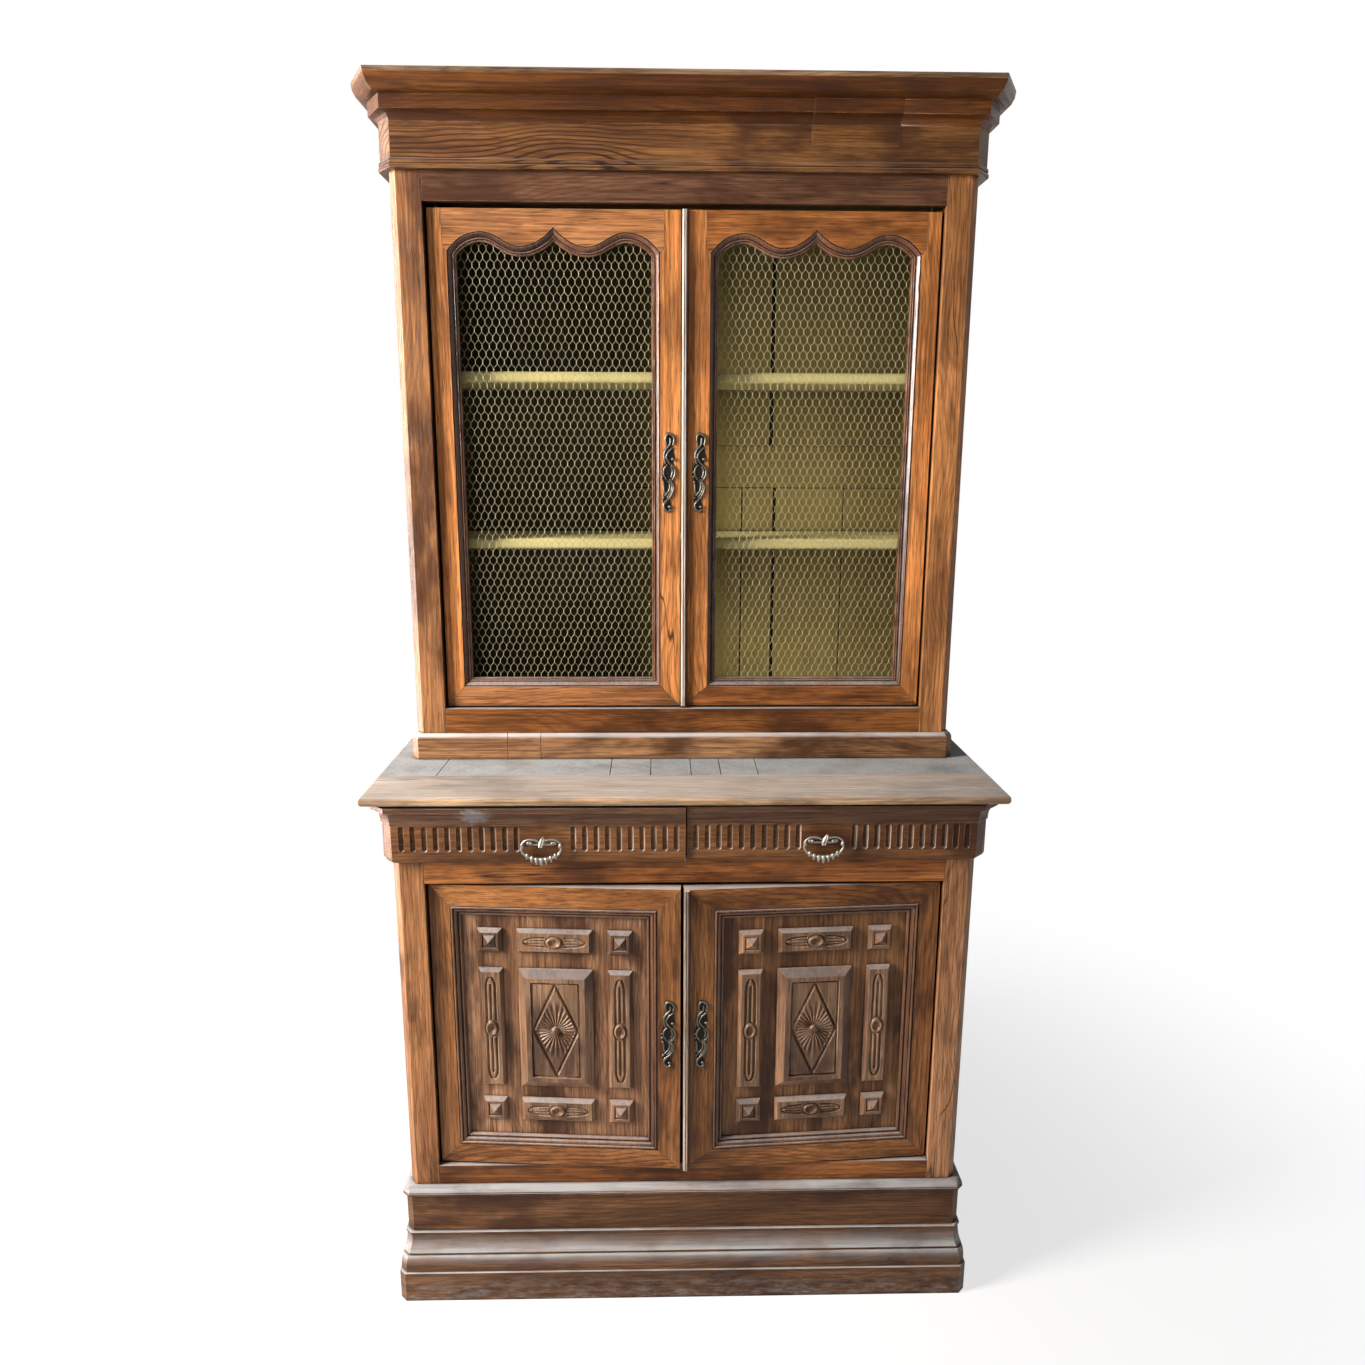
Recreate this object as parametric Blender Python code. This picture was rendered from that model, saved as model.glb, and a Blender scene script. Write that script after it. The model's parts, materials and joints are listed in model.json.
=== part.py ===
"""Two-part oak cupboard: frieze drawers and carved doors below, wire-netted doors above.

Metres, +Z up, the front faces -Y. The origin is on the floor under the middle of the object's box.
Every piece is modelled closed and then carried to its place at rest by the empty of its joint: the
lower doors stand ajar and the left drawer is a little out.
"""

import math

import bmesh
import bpy
from mathutils import Vector

# Clearances
GAP = 0.0003
DRAWER_SEAT_GAP = 0.0006
DRAWER_SIDE_GAP = 0.0015
DRAWER_HEAD_GAP = 0.0045
DOOR_SIDE_GAP = 0.005
DOOR_SILL_GAP = 0.004
LOWER_DOOR_HEAD_GAP = 0.006
UPPER_DOOR_HEAD_GAP = 0.009
MEETING_GAP = 0.0025
NET_FIT = 0.0005

# Plan of the two cases: half face is from the middle to the front edge of the cant
LOWER_HALF_FACE = 0.5425
UPPER_SET_IN = 0.0088
LOWER_POST_FACE = 0.0456
UPPER_POST_FACE = 0.0469
CANT = 0.0135
CORNICE_CANT = 0.024
LOWER_DEPTH = 0.500
STEP_BACK = 0.213
POST_DEPTH = 0.042
SIDE_BOARD = 0.022
BACK_BOARD = 0.012
FLOOR_BOARD = 0.018
DUST_BOARD = 0.014
SHELF_BOARD = 0.021
SHELF_SET_BACK = 0.055
GROOVE = 0.006
BASE_WALL = 0.035
CROWN_WALL = 0.030

# Heights, from the floor up
PLINTH_BLOCK = 0.065
PLINTH_TORUS = 0.0375
PLINTH_STEP = 0.004
PLINTH_COVE = 0.0385
PLINTH_BEAD = 0.007
BASE_FRIEZE = 0.0834
BASE_CAP_EDGE = 0.0059
BASE_CAP_SLOPE = 0.0112
BOTTOM_RAIL = 0.0417
LOWER_OPENING = 0.6105
DRAWER_RAIL = 0.0483
DRAWER_RAIL_LAP = 0.009
DRAWER_FRONT = 0.115
TABLE_TOP = 0.0178
WAIST_EDGE = 0.041
WAIST_SLOPE = 0.0122
UPPER_BOTTOM_RAIL = 0.1041
UPPER_OPENING = 0.9636
TOP_RAIL = 0.0525
CORNICE_BEAD = 0.0187
CORNICE_FRIEZE = 0.0609
CORNICE_COVE = 0.0157
CORNICE_FILLET = 0.0237
CORNICE_CROWN = 0.0350
FLOOR_DROP = 0.002
CEILING_RISE = 0.012
LOW_SHELF_ABOVE_SILL = 0.342
HIGH_SHELF_ABOVE_SILL = 0.667

# How far each moulding stands out from its case
PLINTH_OUT = 0.0286
TORUS_HEAD_OUT = 0.022
PLINTH_STEP_OUT = 0.020
COVE_HEAD_OUT = 0.013
PLINTH_BEAD_OUT = 0.0145
BASE_FRIEZE_OUT = 0.010
BASE_CAP_OUT = 0.016
TABLE_OUT = 0.0439
TABLE_NOSE = 0.006
WAIST_OUT = 0.010
CORNICE_BEAD_OUT = 0.0125
CORNICE_FRIEZE_OUT = 0.008
CORNICE_FILLET_OUT = 0.028
CORNICE_CROWN_OUT = 0.059
DRAWER_TOE_OUT = 0.006
DRAWER_BAND_OUT = 0.016
DRAWER_LIP_OUT = 0.0185
DRAWER_COVE_OUT = 0.031
DRAWER_CROWN_OUT = 0.034
FRIEZE_RETURN = 0.001
LEDGE_SLOPE = 0.0008

# Heights within the drawer front
DRAWER_TOE = 0.0108
DRAWER_BAND = 0.0655
DRAWER_LIP = 0.004
DRAWER_COVE = 0.024

# Flutes of the drawer fronts
FLUTE_PITCH = 0.0214
FLUTE_WIDTH = 0.0086
FLUTE_HEIGHT = 0.0485
FLUTE_DEPTH = 0.004
FLUTE_CLEAR = 0.0528
FLUTE_MARGIN = 0.010

# Drawer boxes and pulls
DRAWER_GUIDE = 0.020
DRAWER_GUIDE_HEIGHT = 0.045
DRAWER_BOX_HEIGHT = 0.085
DRAWER_WALL = 0.010
DRAWER_BOTTOM = 0.008
DRAWER_TAIL_GAP = 0.015
LEFT_DRAWER_OUT = 0.006
PULL_FROM_MIDDLE = 0.2637
PULL_SHIFT = -0.006
PULL_BELOW_BAND_HEAD = 0.0325
PULL_AXIS_OUT = 0.011
BAIL_RADIUS = 0.0022
BAIL_GRIP_RADIUS = 0.0038
BAIL_HALF_WIDTH = 0.0368
BAIL_DROP = 0.030
BAIL_LOBE_RISE = 0.0085
HOOK_WIDTH = 0.007
HOOK_METAL = 0.0025
HOOK_HEAD = 0.016
HOOK_PLATE_HALF = 0.009
HOOK_FREE = 0.0005

# Doors
DOOR_BOARD = 0.024
UPPER_DOOR_RECESS = 0.012
LOWER_DOOR_RECESS = 0.010
LOWER_DOOR_AJAR = math.radians(3.9)
UPPER_HINGE_STILE = 0.034
UPPER_LOCK_STILE = 0.0418
UPPER_DOOR_RAIL = 0.040
UPPER_STICKING = 0.0165
LOWER_HINGE_STILE = 0.039
LOWER_LOCK_STILE = 0.0468
LOWER_DOOR_TOP_RAIL = 0.0427
LOWER_DOOR_RAIL = 0.040
LOWER_STICKING = 0.021
STICKING_DEPTH = 0.010
ASTRAGAL_WIDTH = 0.0115
ASTRAGAL_DEPTH = 0.009
REBATE_WIDTH = 0.009
NET_REBATE_DEPTH = 0.006
PANEL_BOARD = 0.0114

# Shaped head of the netted doors, from its shoulders and its middle
SHOULDER_BELOW_DOOR_TOP = 0.0757
CUSP_RISE = 0.0438
VALLEY_RISE = 0.010
CREST_RISE = 0.0357
VALLEY_FROM_MIDDLE = 0.0626
CREST_FROM_MIDDLE = 0.135

# Wire nets
NET_PITCH = 0.0525
NET_WIRE = 0.003
NET_THICKNESS = 0.002
NET_SELVEDGE = 0.004

# Applied blocks of the carved doors
BLOCK_COLUMN = 0.0475
BLOCK_ROW = 0.049
BLOCK_COLUMN_GAP = 0.030
BLOCK_ROW_GAP = 0.028
BLOCK_TOP_ROW_LIFT = 0.0065
PLAQUE_WIDTH = 0.146
PLAQUE_HEIGHT = 0.254
BLOCK_EDGE = 0.004
BLOCK_RISE = 0.008
BLOCK_BEVEL = 0.005
PYRAMID_RISE = 0.013
CENTRE_BEVEL = 0.023
CENTRE_RISE = 0.010
LOZENGE_WIDTH = 0.086
LOZENGE_HEIGHT = 0.186
LOZENGE_RISE = 0.004

# Side panels
PANEL_MARGIN = 0.060
PANEL_SLOPE = 0.016
PANEL_SINK = 0.007

# Pivots, locks and key plates
PIVOT_RADIUS = 0.0035
PIVOT_COLLAR_RADIUS = 0.008
PIVOT_LENGTH = 0.016
PIVOT_FROM_EDGE = 0.016
PIVOT_FROM_FACE = 0.010
LOCK_WIDTH = 0.060
LOCK_HEIGHT = 0.090
LOCK_DEPTH = 0.016
LOCK_SET_BACK = 0.002
BOLT_HEIGHT = 0.012
BOLT_DEPTH = 0.005
BOLT_LENGTH = 0.036
UPPER_KEY_HEIGHT = 0.474
UPPER_KEY_PLATE = 0.156
UPPER_KEY_HALF_WIDTH = 0.0125
LOWER_KEY_HEIGHT = 0.303
LOWER_KEY_PLATE = 0.145
LOWER_KEY_HALF_WIDTH = 0.011
KEY_PLATE_THICKNESS = 0.003
KEY_FROM_EDGE = 0.0235
KEYHOLE_RADIUS = 0.0025
KEYHOLE_SLOT = 0.009

# How finely round shapes are cut
ARC_STEPS = 4
CURVE_STEPS = 5
ROUND_SIDES = 12
BAIL_SIDES = 6
KEY_PLATE_STEPS = 18
MERGE_DISTANCE = 0.000001

# Corner styles of a moulding: its cant, and how its face corner and side corner move as it stands out
PARALLEL_SHIFT = math.tan(math.radians(22.5))
CONSTANT_CANT = (CANT, 1.0, 1.0, -1.0)
PARALLEL_CANT = (CANT, PARALLEL_SHIFT, 1.0, -PARALLEL_SHIFT)
CROWN_CANT = (CORNICE_CANT, 0.6, 0.95, 0.17)

SIDES = (("left", -1), ("right", 1))

# Planes and levels that follow from the sizes above
FRONT = (TABLE_OUT - LOWER_DEPTH) / 2
BACK = FRONT + LOWER_DEPTH
UPPER_FRONT = FRONT + STEP_BACK
INNER_BACK = BACK - BACK_BOARD - GAP
LOWER_OPENING_HALF = LOWER_HALF_FACE - LOWER_POST_FACE
UPPER_HALF_FACE = LOWER_HALF_FACE - UPPER_SET_IN
UPPER_OPENING_HALF = UPPER_HALF_FACE - UPPER_POST_FACE
LOWER_SIDE_X = LOWER_HALF_FACE + CANT
UPPER_SIDE_X = UPPER_HALF_FACE + CANT
PLINTH_TOP = PLINTH_BLOCK + PLINTH_TORUS + PLINTH_STEP + PLINTH_COVE + PLINTH_BEAD
BASE_TOP = PLINTH_TOP + BASE_FRIEZE + BASE_CAP_EDGE + BASE_CAP_SLOPE
LOWER_SILL = BASE_TOP + BOTTOM_RAIL
LOWER_HEAD = LOWER_SILL + LOWER_OPENING
DRAWER_FOOT = LOWER_HEAD + DRAWER_RAIL
RUNNER_TOP = DRAWER_FOOT + DRAWER_RAIL_LAP
TABLE_UNDERSIDE = DRAWER_FOOT + DRAWER_FRONT + DRAWER_HEAD_GAP
TABLE_FACE = TABLE_UNDERSIDE + TABLE_TOP
UPPER_SILL = TABLE_FACE + UPPER_BOTTOM_RAIL
UPPER_HEAD = UPPER_SILL + UPPER_OPENING
CORNICE_FOOT = UPPER_HEAD + TOP_RAIL
FRIEZE_TOP = CORNICE_FOOT + CORNICE_BEAD + CORNICE_FRIEZE
MEETING_EDGE = -ASTRAGAL_WIDTH / 2
LOW_SHELF = UPPER_SILL + LOW_SHELF_ABOVE_SILL
HIGH_SHELF = UPPER_SILL + HIGH_SHELF_ABOVE_SILL


def make_material(name, colour, roughness, metallic=0.0):
    """A Principled BSDF material of one colour."""
    material = bpy.data.materials.new(name)
    material.use_nodes = True
    shader = material.node_tree.nodes["Principled BSDF"]
    shader.inputs["Base Color"].default_value = (*colour, 1.0)
    shader.inputs["Roughness"].default_value = roughness
    shader.inputs["Metallic"].default_value = metallic
    return material


def make_empty(name, place, turn=0.0):
    """An empty on a joint's axis, turned about +Z."""
    empty = bpy.data.objects.new(name, None)
    empty.location = place
    empty.rotation_euler = (0.0, 0.0, turn)
    bpy.context.scene.collection.objects.link(empty)
    return empty


def add_object(name, mesh_data, material, carrier=None, axis=None, smooth=False):
    """Make an object of a bmesh drawn closed, in place.

    It hangs on its carrier empty, whose axis point is where the empty sits with the joint closed, or
    stands alone with its origin at the middle of its own box.
    """
    bmesh.ops.remove_doubles(mesh_data, verts=mesh_data.verts[:], dist=MERGE_DISTANCE)
    bmesh.ops.recalc_face_normals(mesh_data, faces=mesh_data.faces[:])
    if carrier is None:
        corners = [vertex.co for vertex in mesh_data.verts]
        low = Vector([min(corner[i] for corner in corners) for i in range(3)])
        high = Vector([max(corner[i] for corner in corners) for i in range(3)])
        origin = (low + high) / 2
    else:
        origin = Vector(axis)
    bmesh.ops.translate(mesh_data, verts=mesh_data.verts[:], vec=-origin)
    mesh = bpy.data.meshes.new(name)
    mesh_data.to_mesh(mesh)
    mesh_data.free()
    if smooth:
        mesh.shade_smooth()
        mesh.set_sharp_from_angle(angle=math.radians(35))
    mesh.materials.append(material)
    piece = bpy.data.objects.new(name, mesh)
    bpy.context.scene.collection.objects.link(piece)
    if carrier is None:
        piece.location = origin
    else:
        piece.parent = carrier
    return piece


def cut(piece, cutter):
    """Cut a piece by a hidden cutter."""
    cutter.hide_render = True
    cutter.display_type = "WIRE"
    modifier = piece.modifiers.new("cut_" + cutter.name, "BOOLEAN")
    modifier.operation = "DIFFERENCE"
    modifier.object = cutter


def add_loft(shape, sections):
    """Skin a closed body through sections of equal length into a bmesh."""
    rows = [[shape.verts.new(point) for point in section] for section in sections]
    count = len(rows[0])
    for lower, upper in zip(rows, rows[1:]):
        for i in range(count):
            j = (i + 1) % count
            shape.faces.new((lower[i], lower[j], upper[j], upper[i]))
    shape.faces.new(rows[0])
    shape.faces.new(rows[-1])


def loft(sections):
    """A bmesh with one lofted body."""
    shape = bmesh.new()
    add_loft(shape, sections)
    return shape


def level(points, z):
    """Plan points at one height."""
    return [(x, y, z) for x, y in points]


def block(x_span, y_span, z_span):
    """A bmesh box between three pairs of coordinates."""
    (x0, x1), (y0, y1), (z0, z1) = x_span, y_span, z_span
    plan = [(x0, y0), (x1, y0), (x1, y1), (x0, y1)]
    return loft([level(plan, z0), level(plan, z1)])


def add_turned(shape, centre, profile):
    """Turn a (radius, z) profile about an upright axis, with both ends closed."""
    sections = []
    for radius, z in profile:
        ring = []
        for i in range(ROUND_SIDES):
            angle = 2 * math.pi * i / ROUND_SIDES
            ring.append((centre[0] + radius * math.cos(angle), centre[1] + radius * math.sin(angle), z))
        sections.append(ring)
    add_loft(shape, sections)


def quarter(start, end, upright_first):
    """Points of a quarter round in (out, z) from start to end, first point left out."""
    points = []
    for i in range(1, ARC_STEPS + 1):
        angle = math.pi / 2 * i / ARC_STEPS
        early, late = math.sin(angle), 1 - math.cos(angle)
        along_out, along_z = (late, early) if upright_first else (early, late)
        points.append((start[0] + (end[0] - start[0]) * along_out, start[1] + (end[1] - start[1]) * along_z))
    return points


def bezier(start, pull_start, pull_end, end, steps):
    """Points of a cubic curve in a plane, first point left out."""
    points = []
    for i in range(1, steps + 1):
        t = i / steps
        weights = ((1 - t) ** 3, 3 * t * (1 - t) ** 2, 3 * t * t * (1 - t), t ** 3)
        knots = (start, pull_start, pull_end, end)
        points.append(tuple(sum(w * knot[k] for w, knot in zip(weights, knots)) for k in range(2)))
    return points


def canted_outline(half_face, front, out, corner):
    """Six plan points, left back to right back, of a canted case grown outwards."""
    cant, lead, side, drift = corner
    face_x = half_face + lead * out
    side_x = half_face + cant + side * out
    face_y = front - out
    side_y = front + cant + drift * out
    return [(-side_x, BACK), (-side_x, side_y), (-face_x, face_y),
            (face_x, face_y), (side_x, side_y), (side_x, BACK)]


def moulding_ring(name, half_face, front, profile, corner, inner, material):
    """A moulding that runs round the front and both sides, open at the back, over an inner path."""
    sections = []
    for out, z in profile:
        plan = canted_outline(half_face, front, out, corner) + inner[::-1]
        sections.append(level(plan, z))
    return add_object(name, loft(sections), material)


def fill_face(shape, loops):
    """Fill the flat region between an outer loop of vertices and the loops inside it."""
    edges = []
    for loop in loops:
        for i, vertex in enumerate(loop):
            pair = (vertex, loop[(i + 1) % len(loop)])
            edges.append(shape.edges.get(pair) or shape.edges.new(pair))
    bmesh.ops.triangle_fill(shape, use_beauty=True, edges=edges)


def bridge(shape, first, second):
    """Quads between two loops of equal length."""
    count = len(first)
    for i in range(count):
        j = (i + 1) % count
        shape.faces.new((first[i], first[j], second[j], second[i]))


def upright_loop(shape, points, y):
    """Vertices of an (x, z) loop in an upright plane."""
    return [shape.verts.new((x, y, z)) for x, z in points]


def rectangle(x0, x1, z0, z1):
    """Corner points of an upright rectangle."""
    return [(x0, z0), (x1, z0), (x1, z1), (x0, z1)]


def inset_loop(points, distance):
    """Move a counter-clockwise loop inwards with mitred corners."""
    moved = []
    count = len(points)
    for i in range(count):
        before = Vector(points[i]) - Vector(points[i - 1])
        after = Vector(points[(i + 1) % count]) - Vector(points[i])
        normal_before = Vector((-before.y, before.x)).normalized()
        normal_after = Vector((-after.y, after.x)).normalized()
        mitre = (normal_before + normal_after) / (1 + normal_before.dot(normal_after))
        moved.append(tuple(Vector(points[i]) + distance * mitre))
    return moved


def pierced_plate(outer, holes, y0, y1):
    """A flat upright plate with holes right through it."""
    shape = bmesh.new()
    faces = []
    for y in (y0, y1):
        loops = [upright_loop(shape, points, y) for points in [outer] + holes]
        fill_face(shape, loops)
        faces.append(loops)
    for near, far in zip(*faces):
        bridge(shape, near, far)
    return shape


def drawer_profile():
    """Profile of the drawer frieze as (out, height above its foot), from the foot up."""
    band_head = DRAWER_TOE + DRAWER_BAND
    lip_head = band_head + DRAWER_LIP
    cove_head = lip_head + DRAWER_COVE
    points = [(DRAWER_TOE_OUT, 0.0)]
    points += quarter((DRAWER_TOE_OUT, 0.0), (DRAWER_BAND_OUT, DRAWER_TOE), upright_first=False)
    points += [(DRAWER_BAND_OUT, band_head - LEDGE_SLOPE), (DRAWER_LIP_OUT, band_head), (DRAWER_LIP_OUT, lip_head)]
    points += quarter((DRAWER_LIP_OUT, lip_head), (DRAWER_COVE_OUT, cove_head), upright_first=True)
    points += [(DRAWER_CROWN_OUT, cove_head + LEDGE_SLOPE), (DRAWER_CROWN_OUT, DRAWER_FRONT)]
    return points


def frieze_corner(out):
    """X of the frieze's face edge, of its cant at the front plane, and of its side."""
    face_x = LOWER_HALF_FACE + PARALLEL_SHIFT * out
    plane_x = face_x + out
    side_x = plane_x + max(CANT - PARALLEL_SHIFT * out, FRIEZE_RETURN)
    return face_x, plane_x, side_x


def build_base(oak):
    """Plinth and base frieze, which carry the lower case."""
    inner_x = LOWER_SIDE_X - BASE_WALL
    inner_y = FRONT + BASE_WALL
    inner = [(-inner_x, BACK), (-inner_x, inner_y), (inner_x, inner_y), (inner_x, BACK)]
    torus_head = PLINTH_BLOCK + PLINTH_TORUS
    cove_foot = torus_head + PLINTH_STEP
    cove_head = cove_foot + PLINTH_COVE
    profile = [(PLINTH_OUT, 0.0), (PLINTH_OUT, PLINTH_BLOCK)]
    profile += quarter((PLINTH_OUT, PLINTH_BLOCK), (TORUS_HEAD_OUT, torus_head), upright_first=True)
    profile += [(PLINTH_STEP_OUT, torus_head + LEDGE_SLOPE), (PLINTH_STEP_OUT, cove_foot)]
    profile += quarter((PLINTH_STEP_OUT, cove_foot), (COVE_HEAD_OUT, cove_head), upright_first=False)
    profile += [(PLINTH_BEAD_OUT, cove_head + LEDGE_SLOPE), (PLINTH_BEAD_OUT, PLINTH_TOP - GAP)]
    moulding_ring("base_plinth", LOWER_HALF_FACE, FRONT, profile, CONSTANT_CANT, inner, oak)
    frieze_head = PLINTH_TOP + BASE_FRIEZE
    cap_edge = frieze_head + BASE_CAP_EDGE
    profile = [(BASE_FRIEZE_OUT, PLINTH_TOP), (BASE_FRIEZE_OUT, frieze_head - LEDGE_SLOPE),
               (BASE_CAP_OUT, frieze_head), (BASE_CAP_OUT, cap_edge)]
    profile += quarter((BASE_CAP_OUT, cap_edge), (GAP, BASE_TOP), upright_first=True)
    moulding_ring("base_frieze", LOWER_HALF_FACE, FRONT, profile, CONSTANT_CANT, inner, oak)


def lower_post(sign):
    """Canted corner post with the returned end of the drawer frieze on its outer side."""
    inner_x = LOWER_OPENING_HALF
    levels = [(0.0, BASE_TOP + GAP), (0.0, DRAWER_FOOT - LEDGE_SLOPE)]
    levels += [(out, DRAWER_FOOT + height) for out, height in drawer_profile()]
    levels.append((DRAWER_CROWN_OUT, TABLE_UNDERSIDE - GAP))
    sections = []
    for out, z in levels:
        _, plane_x, side_x = frieze_corner(out)
        plan = [(inner_x, FRONT), (plane_x, FRONT), (side_x, FRONT + side_x - plane_x),
                (side_x, FRONT + POST_DEPTH), (inner_x, FRONT + POST_DEPTH)]
        sections.append([(sign * x, y, z) for x, y in plan])
    return loft(sections)


def board_side(sign, inner_x, outer, front, grooves):
    """Side board: its outer edge points (x, z) go up, its inner face has grooves (z0, z1)."""
    foot, head = outer[0][1], outer[-1][1]
    profile = list(outer) + [(inner_x, head)]
    for z0, z1 in sorted(grooves, reverse=True):
        profile += [(inner_x, z1), (inner_x + GROOVE, z1), (inner_x + GROOVE, z0), (inner_x, z0)]
    profile.append((inner_x, foot))
    near = [(sign * x, front + POST_DEPTH + GAP, z) for x, z in profile]
    far = [(sign * x, BACK, z) for x, z in profile]
    shape = loft([near, far])
    bmesh.ops.recalc_face_normals(shape, faces=shape.faces[:])
    shape.normal_update()
    field = max((face for face in shape.faces if face.normal.x * sign > 0.99), key=lambda face: face.calc_area())
    bmesh.ops.inset_individual(shape, faces=[field], thickness=PANEL_MARGIN)
    bmesh.ops.inset_individual(shape, faces=[field], thickness=PANEL_SLOPE, depth=-PANEL_SINK)
    return shape


def housed(top, thickness):
    """Groove that takes a board's end."""
    return (top - thickness - GAP, top + GAP)


def build_lower_case(oak):
    """Lower case: posts, rails, sides, back, floor, dust board, drawer guide and table top."""
    inner_x = LOWER_SIDE_X - SIDE_BOARD
    floor_top = LOWER_SILL - FLOOR_DROP
    outer = [(LOWER_SIDE_X, BASE_TOP + GAP), (LOWER_SIDE_X, DRAWER_FOOT - LEDGE_SLOPE)]
    outer += [(frieze_corner(out)[2], DRAWER_FOOT + height) for out, height in drawer_profile()]
    outer.append((frieze_corner(DRAWER_CROWN_OUT)[2], TABLE_UNDERSIDE - GAP))
    grooves = [housed(floor_top, FLOOR_BOARD), housed(RUNNER_TOP, DUST_BOARD)]
    for side, sign in SIDES:
        add_object("lower_%s_post" % side, lower_post(sign), oak)
        add_object("lower_%s_side" % side, board_side(sign, inner_x, outer, FRONT, grooves), oak)
    between_posts = (GAP - LOWER_OPENING_HALF, LOWER_OPENING_HALF - GAP)
    in_grooves = (GAP - inner_x - GROOVE, inner_x + GROOVE - GAP)
    rail_depth = (FRONT, FRONT + POST_DEPTH)
    behind_rail = (FRONT + POST_DEPTH + GAP, INNER_BACK)
    rail = add_object("lower_bottom_rail", block(between_posts, rail_depth, (BASE_TOP + GAP, LOWER_SILL)), oak)
    bore_pivots(rail, "lower_sill", LOWER_OPENING_HALF, FRONT + LOWER_DOOR_RECESS, LOWER_SILL, -1)
    rail = add_object("drawer_rail", block(between_posts, rail_depth, (LOWER_HEAD, RUNNER_TOP)), oak)
    bore_pivots(rail, "lower_head", LOWER_OPENING_HALF, FRONT + LOWER_DOOR_RECESS, LOWER_HEAD, 1)
    add_object("lower_floor", block(in_grooves, behind_rail, (floor_top - FLOOR_BOARD, floor_top)), oak)
    wing, guide = in_grooves[1], DRAWER_GUIDE / 2
    dust_foot, guide_head = RUNNER_TOP - DUST_BOARD, RUNNER_TOP + DRAWER_GUIDE_HEIGHT
    profile = [(-wing, dust_foot), (wing, dust_foot), (wing, RUNNER_TOP), (guide, RUNNER_TOP),
               (guide, guide_head), (-guide, guide_head), (-guide, RUNNER_TOP), (-wing, RUNNER_TOP)]
    sections = [[(x, y, z) for x, z in profile] for y in behind_rail]
    add_object("dust_board", loft(sections), oak)
    back_width = (GAP - inner_x, inner_x - GAP)
    back_height = (BASE_TOP + GAP, TABLE_UNDERSIDE - GAP)
    add_object("lower_back", block(back_width, (BACK - BACK_BOARD, BACK), back_height), oak)
    table_half = LOWER_SIDE_X + TABLE_OUT
    nose = [(TABLE_NOSE, TABLE_UNDERSIDE)]
    nose += quarter((TABLE_NOSE, TABLE_UNDERSIDE), (0.0, TABLE_UNDERSIDE + TABLE_TOP / 2), upright_first=False)
    nose += quarter((0.0, TABLE_UNDERSIDE + TABLE_TOP / 2), (TABLE_NOSE, TABLE_FACE), upright_first=True)
    sections = []
    for inward, z in nose:
        half, face = table_half - inward, FRONT - TABLE_OUT + inward
        sections.append(level([(-half, BACK), (-half, face), (half, face), (half, BACK)], z))
    add_object("table_top", loft(sections), oak)


def build_upper_case(oak, paint):
    """Upper case: posts, rails, sides, back, floor, ceiling and shelves."""
    foot = TABLE_FACE + GAP
    inner_x = UPPER_SIDE_X - SIDE_BOARD
    floor_top = UPPER_SILL - FLOOR_DROP
    ceiling_top = UPPER_HEAD + CEILING_RISE + FLOOR_BOARD
    outer = [(UPPER_SIDE_X, foot), (UPPER_SIDE_X, FRIEZE_TOP)]
    grooves = [housed(floor_top, FLOOR_BOARD), housed(ceiling_top, FLOOR_BOARD),
               housed(LOW_SHELF, SHELF_BOARD), housed(HIGH_SHELF, SHELF_BOARD)]
    post_back = UPPER_FRONT + POST_DEPTH
    for side, sign in SIDES:
        plan = [(UPPER_OPENING_HALF, UPPER_FRONT), (UPPER_HALF_FACE, UPPER_FRONT),
                (UPPER_SIDE_X, UPPER_FRONT + CANT), (UPPER_SIDE_X, post_back), (UPPER_OPENING_HALF, post_back)]
        sections = [[(sign * x, y, z) for x, y in plan] for z in (foot, FRIEZE_TOP)]
        add_object("upper_%s_post" % side, loft(sections), oak)
        add_object("upper_%s_side" % side, board_side(sign, inner_x, outer, UPPER_FRONT, grooves), oak)
    between_posts = (GAP - UPPER_OPENING_HALF, UPPER_OPENING_HALF - GAP)
    in_grooves = (GAP - inner_x - GROOVE, inner_x + GROOVE - GAP)
    rail_depth = (UPPER_FRONT, post_back)
    behind_rail = (post_back + GAP, INNER_BACK)
    door_face = UPPER_FRONT + UPPER_DOOR_RECESS
    rail = add_object("upper_bottom_rail", block(between_posts, rail_depth, (foot, UPPER_SILL)), oak)
    bore_pivots(rail, "upper_sill", UPPER_OPENING_HALF, door_face, UPPER_SILL, -1)
    rail = add_object("upper_top_rail", block(between_posts, rail_depth, (UPPER_HEAD, FRIEZE_TOP)), oak)
    bore_pivots(rail, "upper_head", UPPER_OPENING_HALF, door_face, UPPER_HEAD, 1)
    add_object("upper_floor", block(in_grooves, behind_rail, (floor_top - FLOOR_BOARD, floor_top)), paint)
    ceiling = (ceiling_top - FLOOR_BOARD, ceiling_top)
    add_object("upper_ceiling", block(in_grooves, behind_rail, ceiling), paint)
    back_width = (GAP - inner_x, inner_x - GAP)
    add_object("upper_back", block(back_width, (BACK - BACK_BOARD, BACK), (foot, FRIEZE_TOP)), paint)
    shelf_depth = (UPPER_FRONT + SHELF_SET_BACK, INNER_BACK)
    for name, top in (("upper_shelf_low", LOW_SHELF), ("upper_shelf_high", HIGH_SHELF)):
        add_object(name, block(in_grooves, shelf_depth, (top - SHELF_BOARD, top)), paint)


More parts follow.
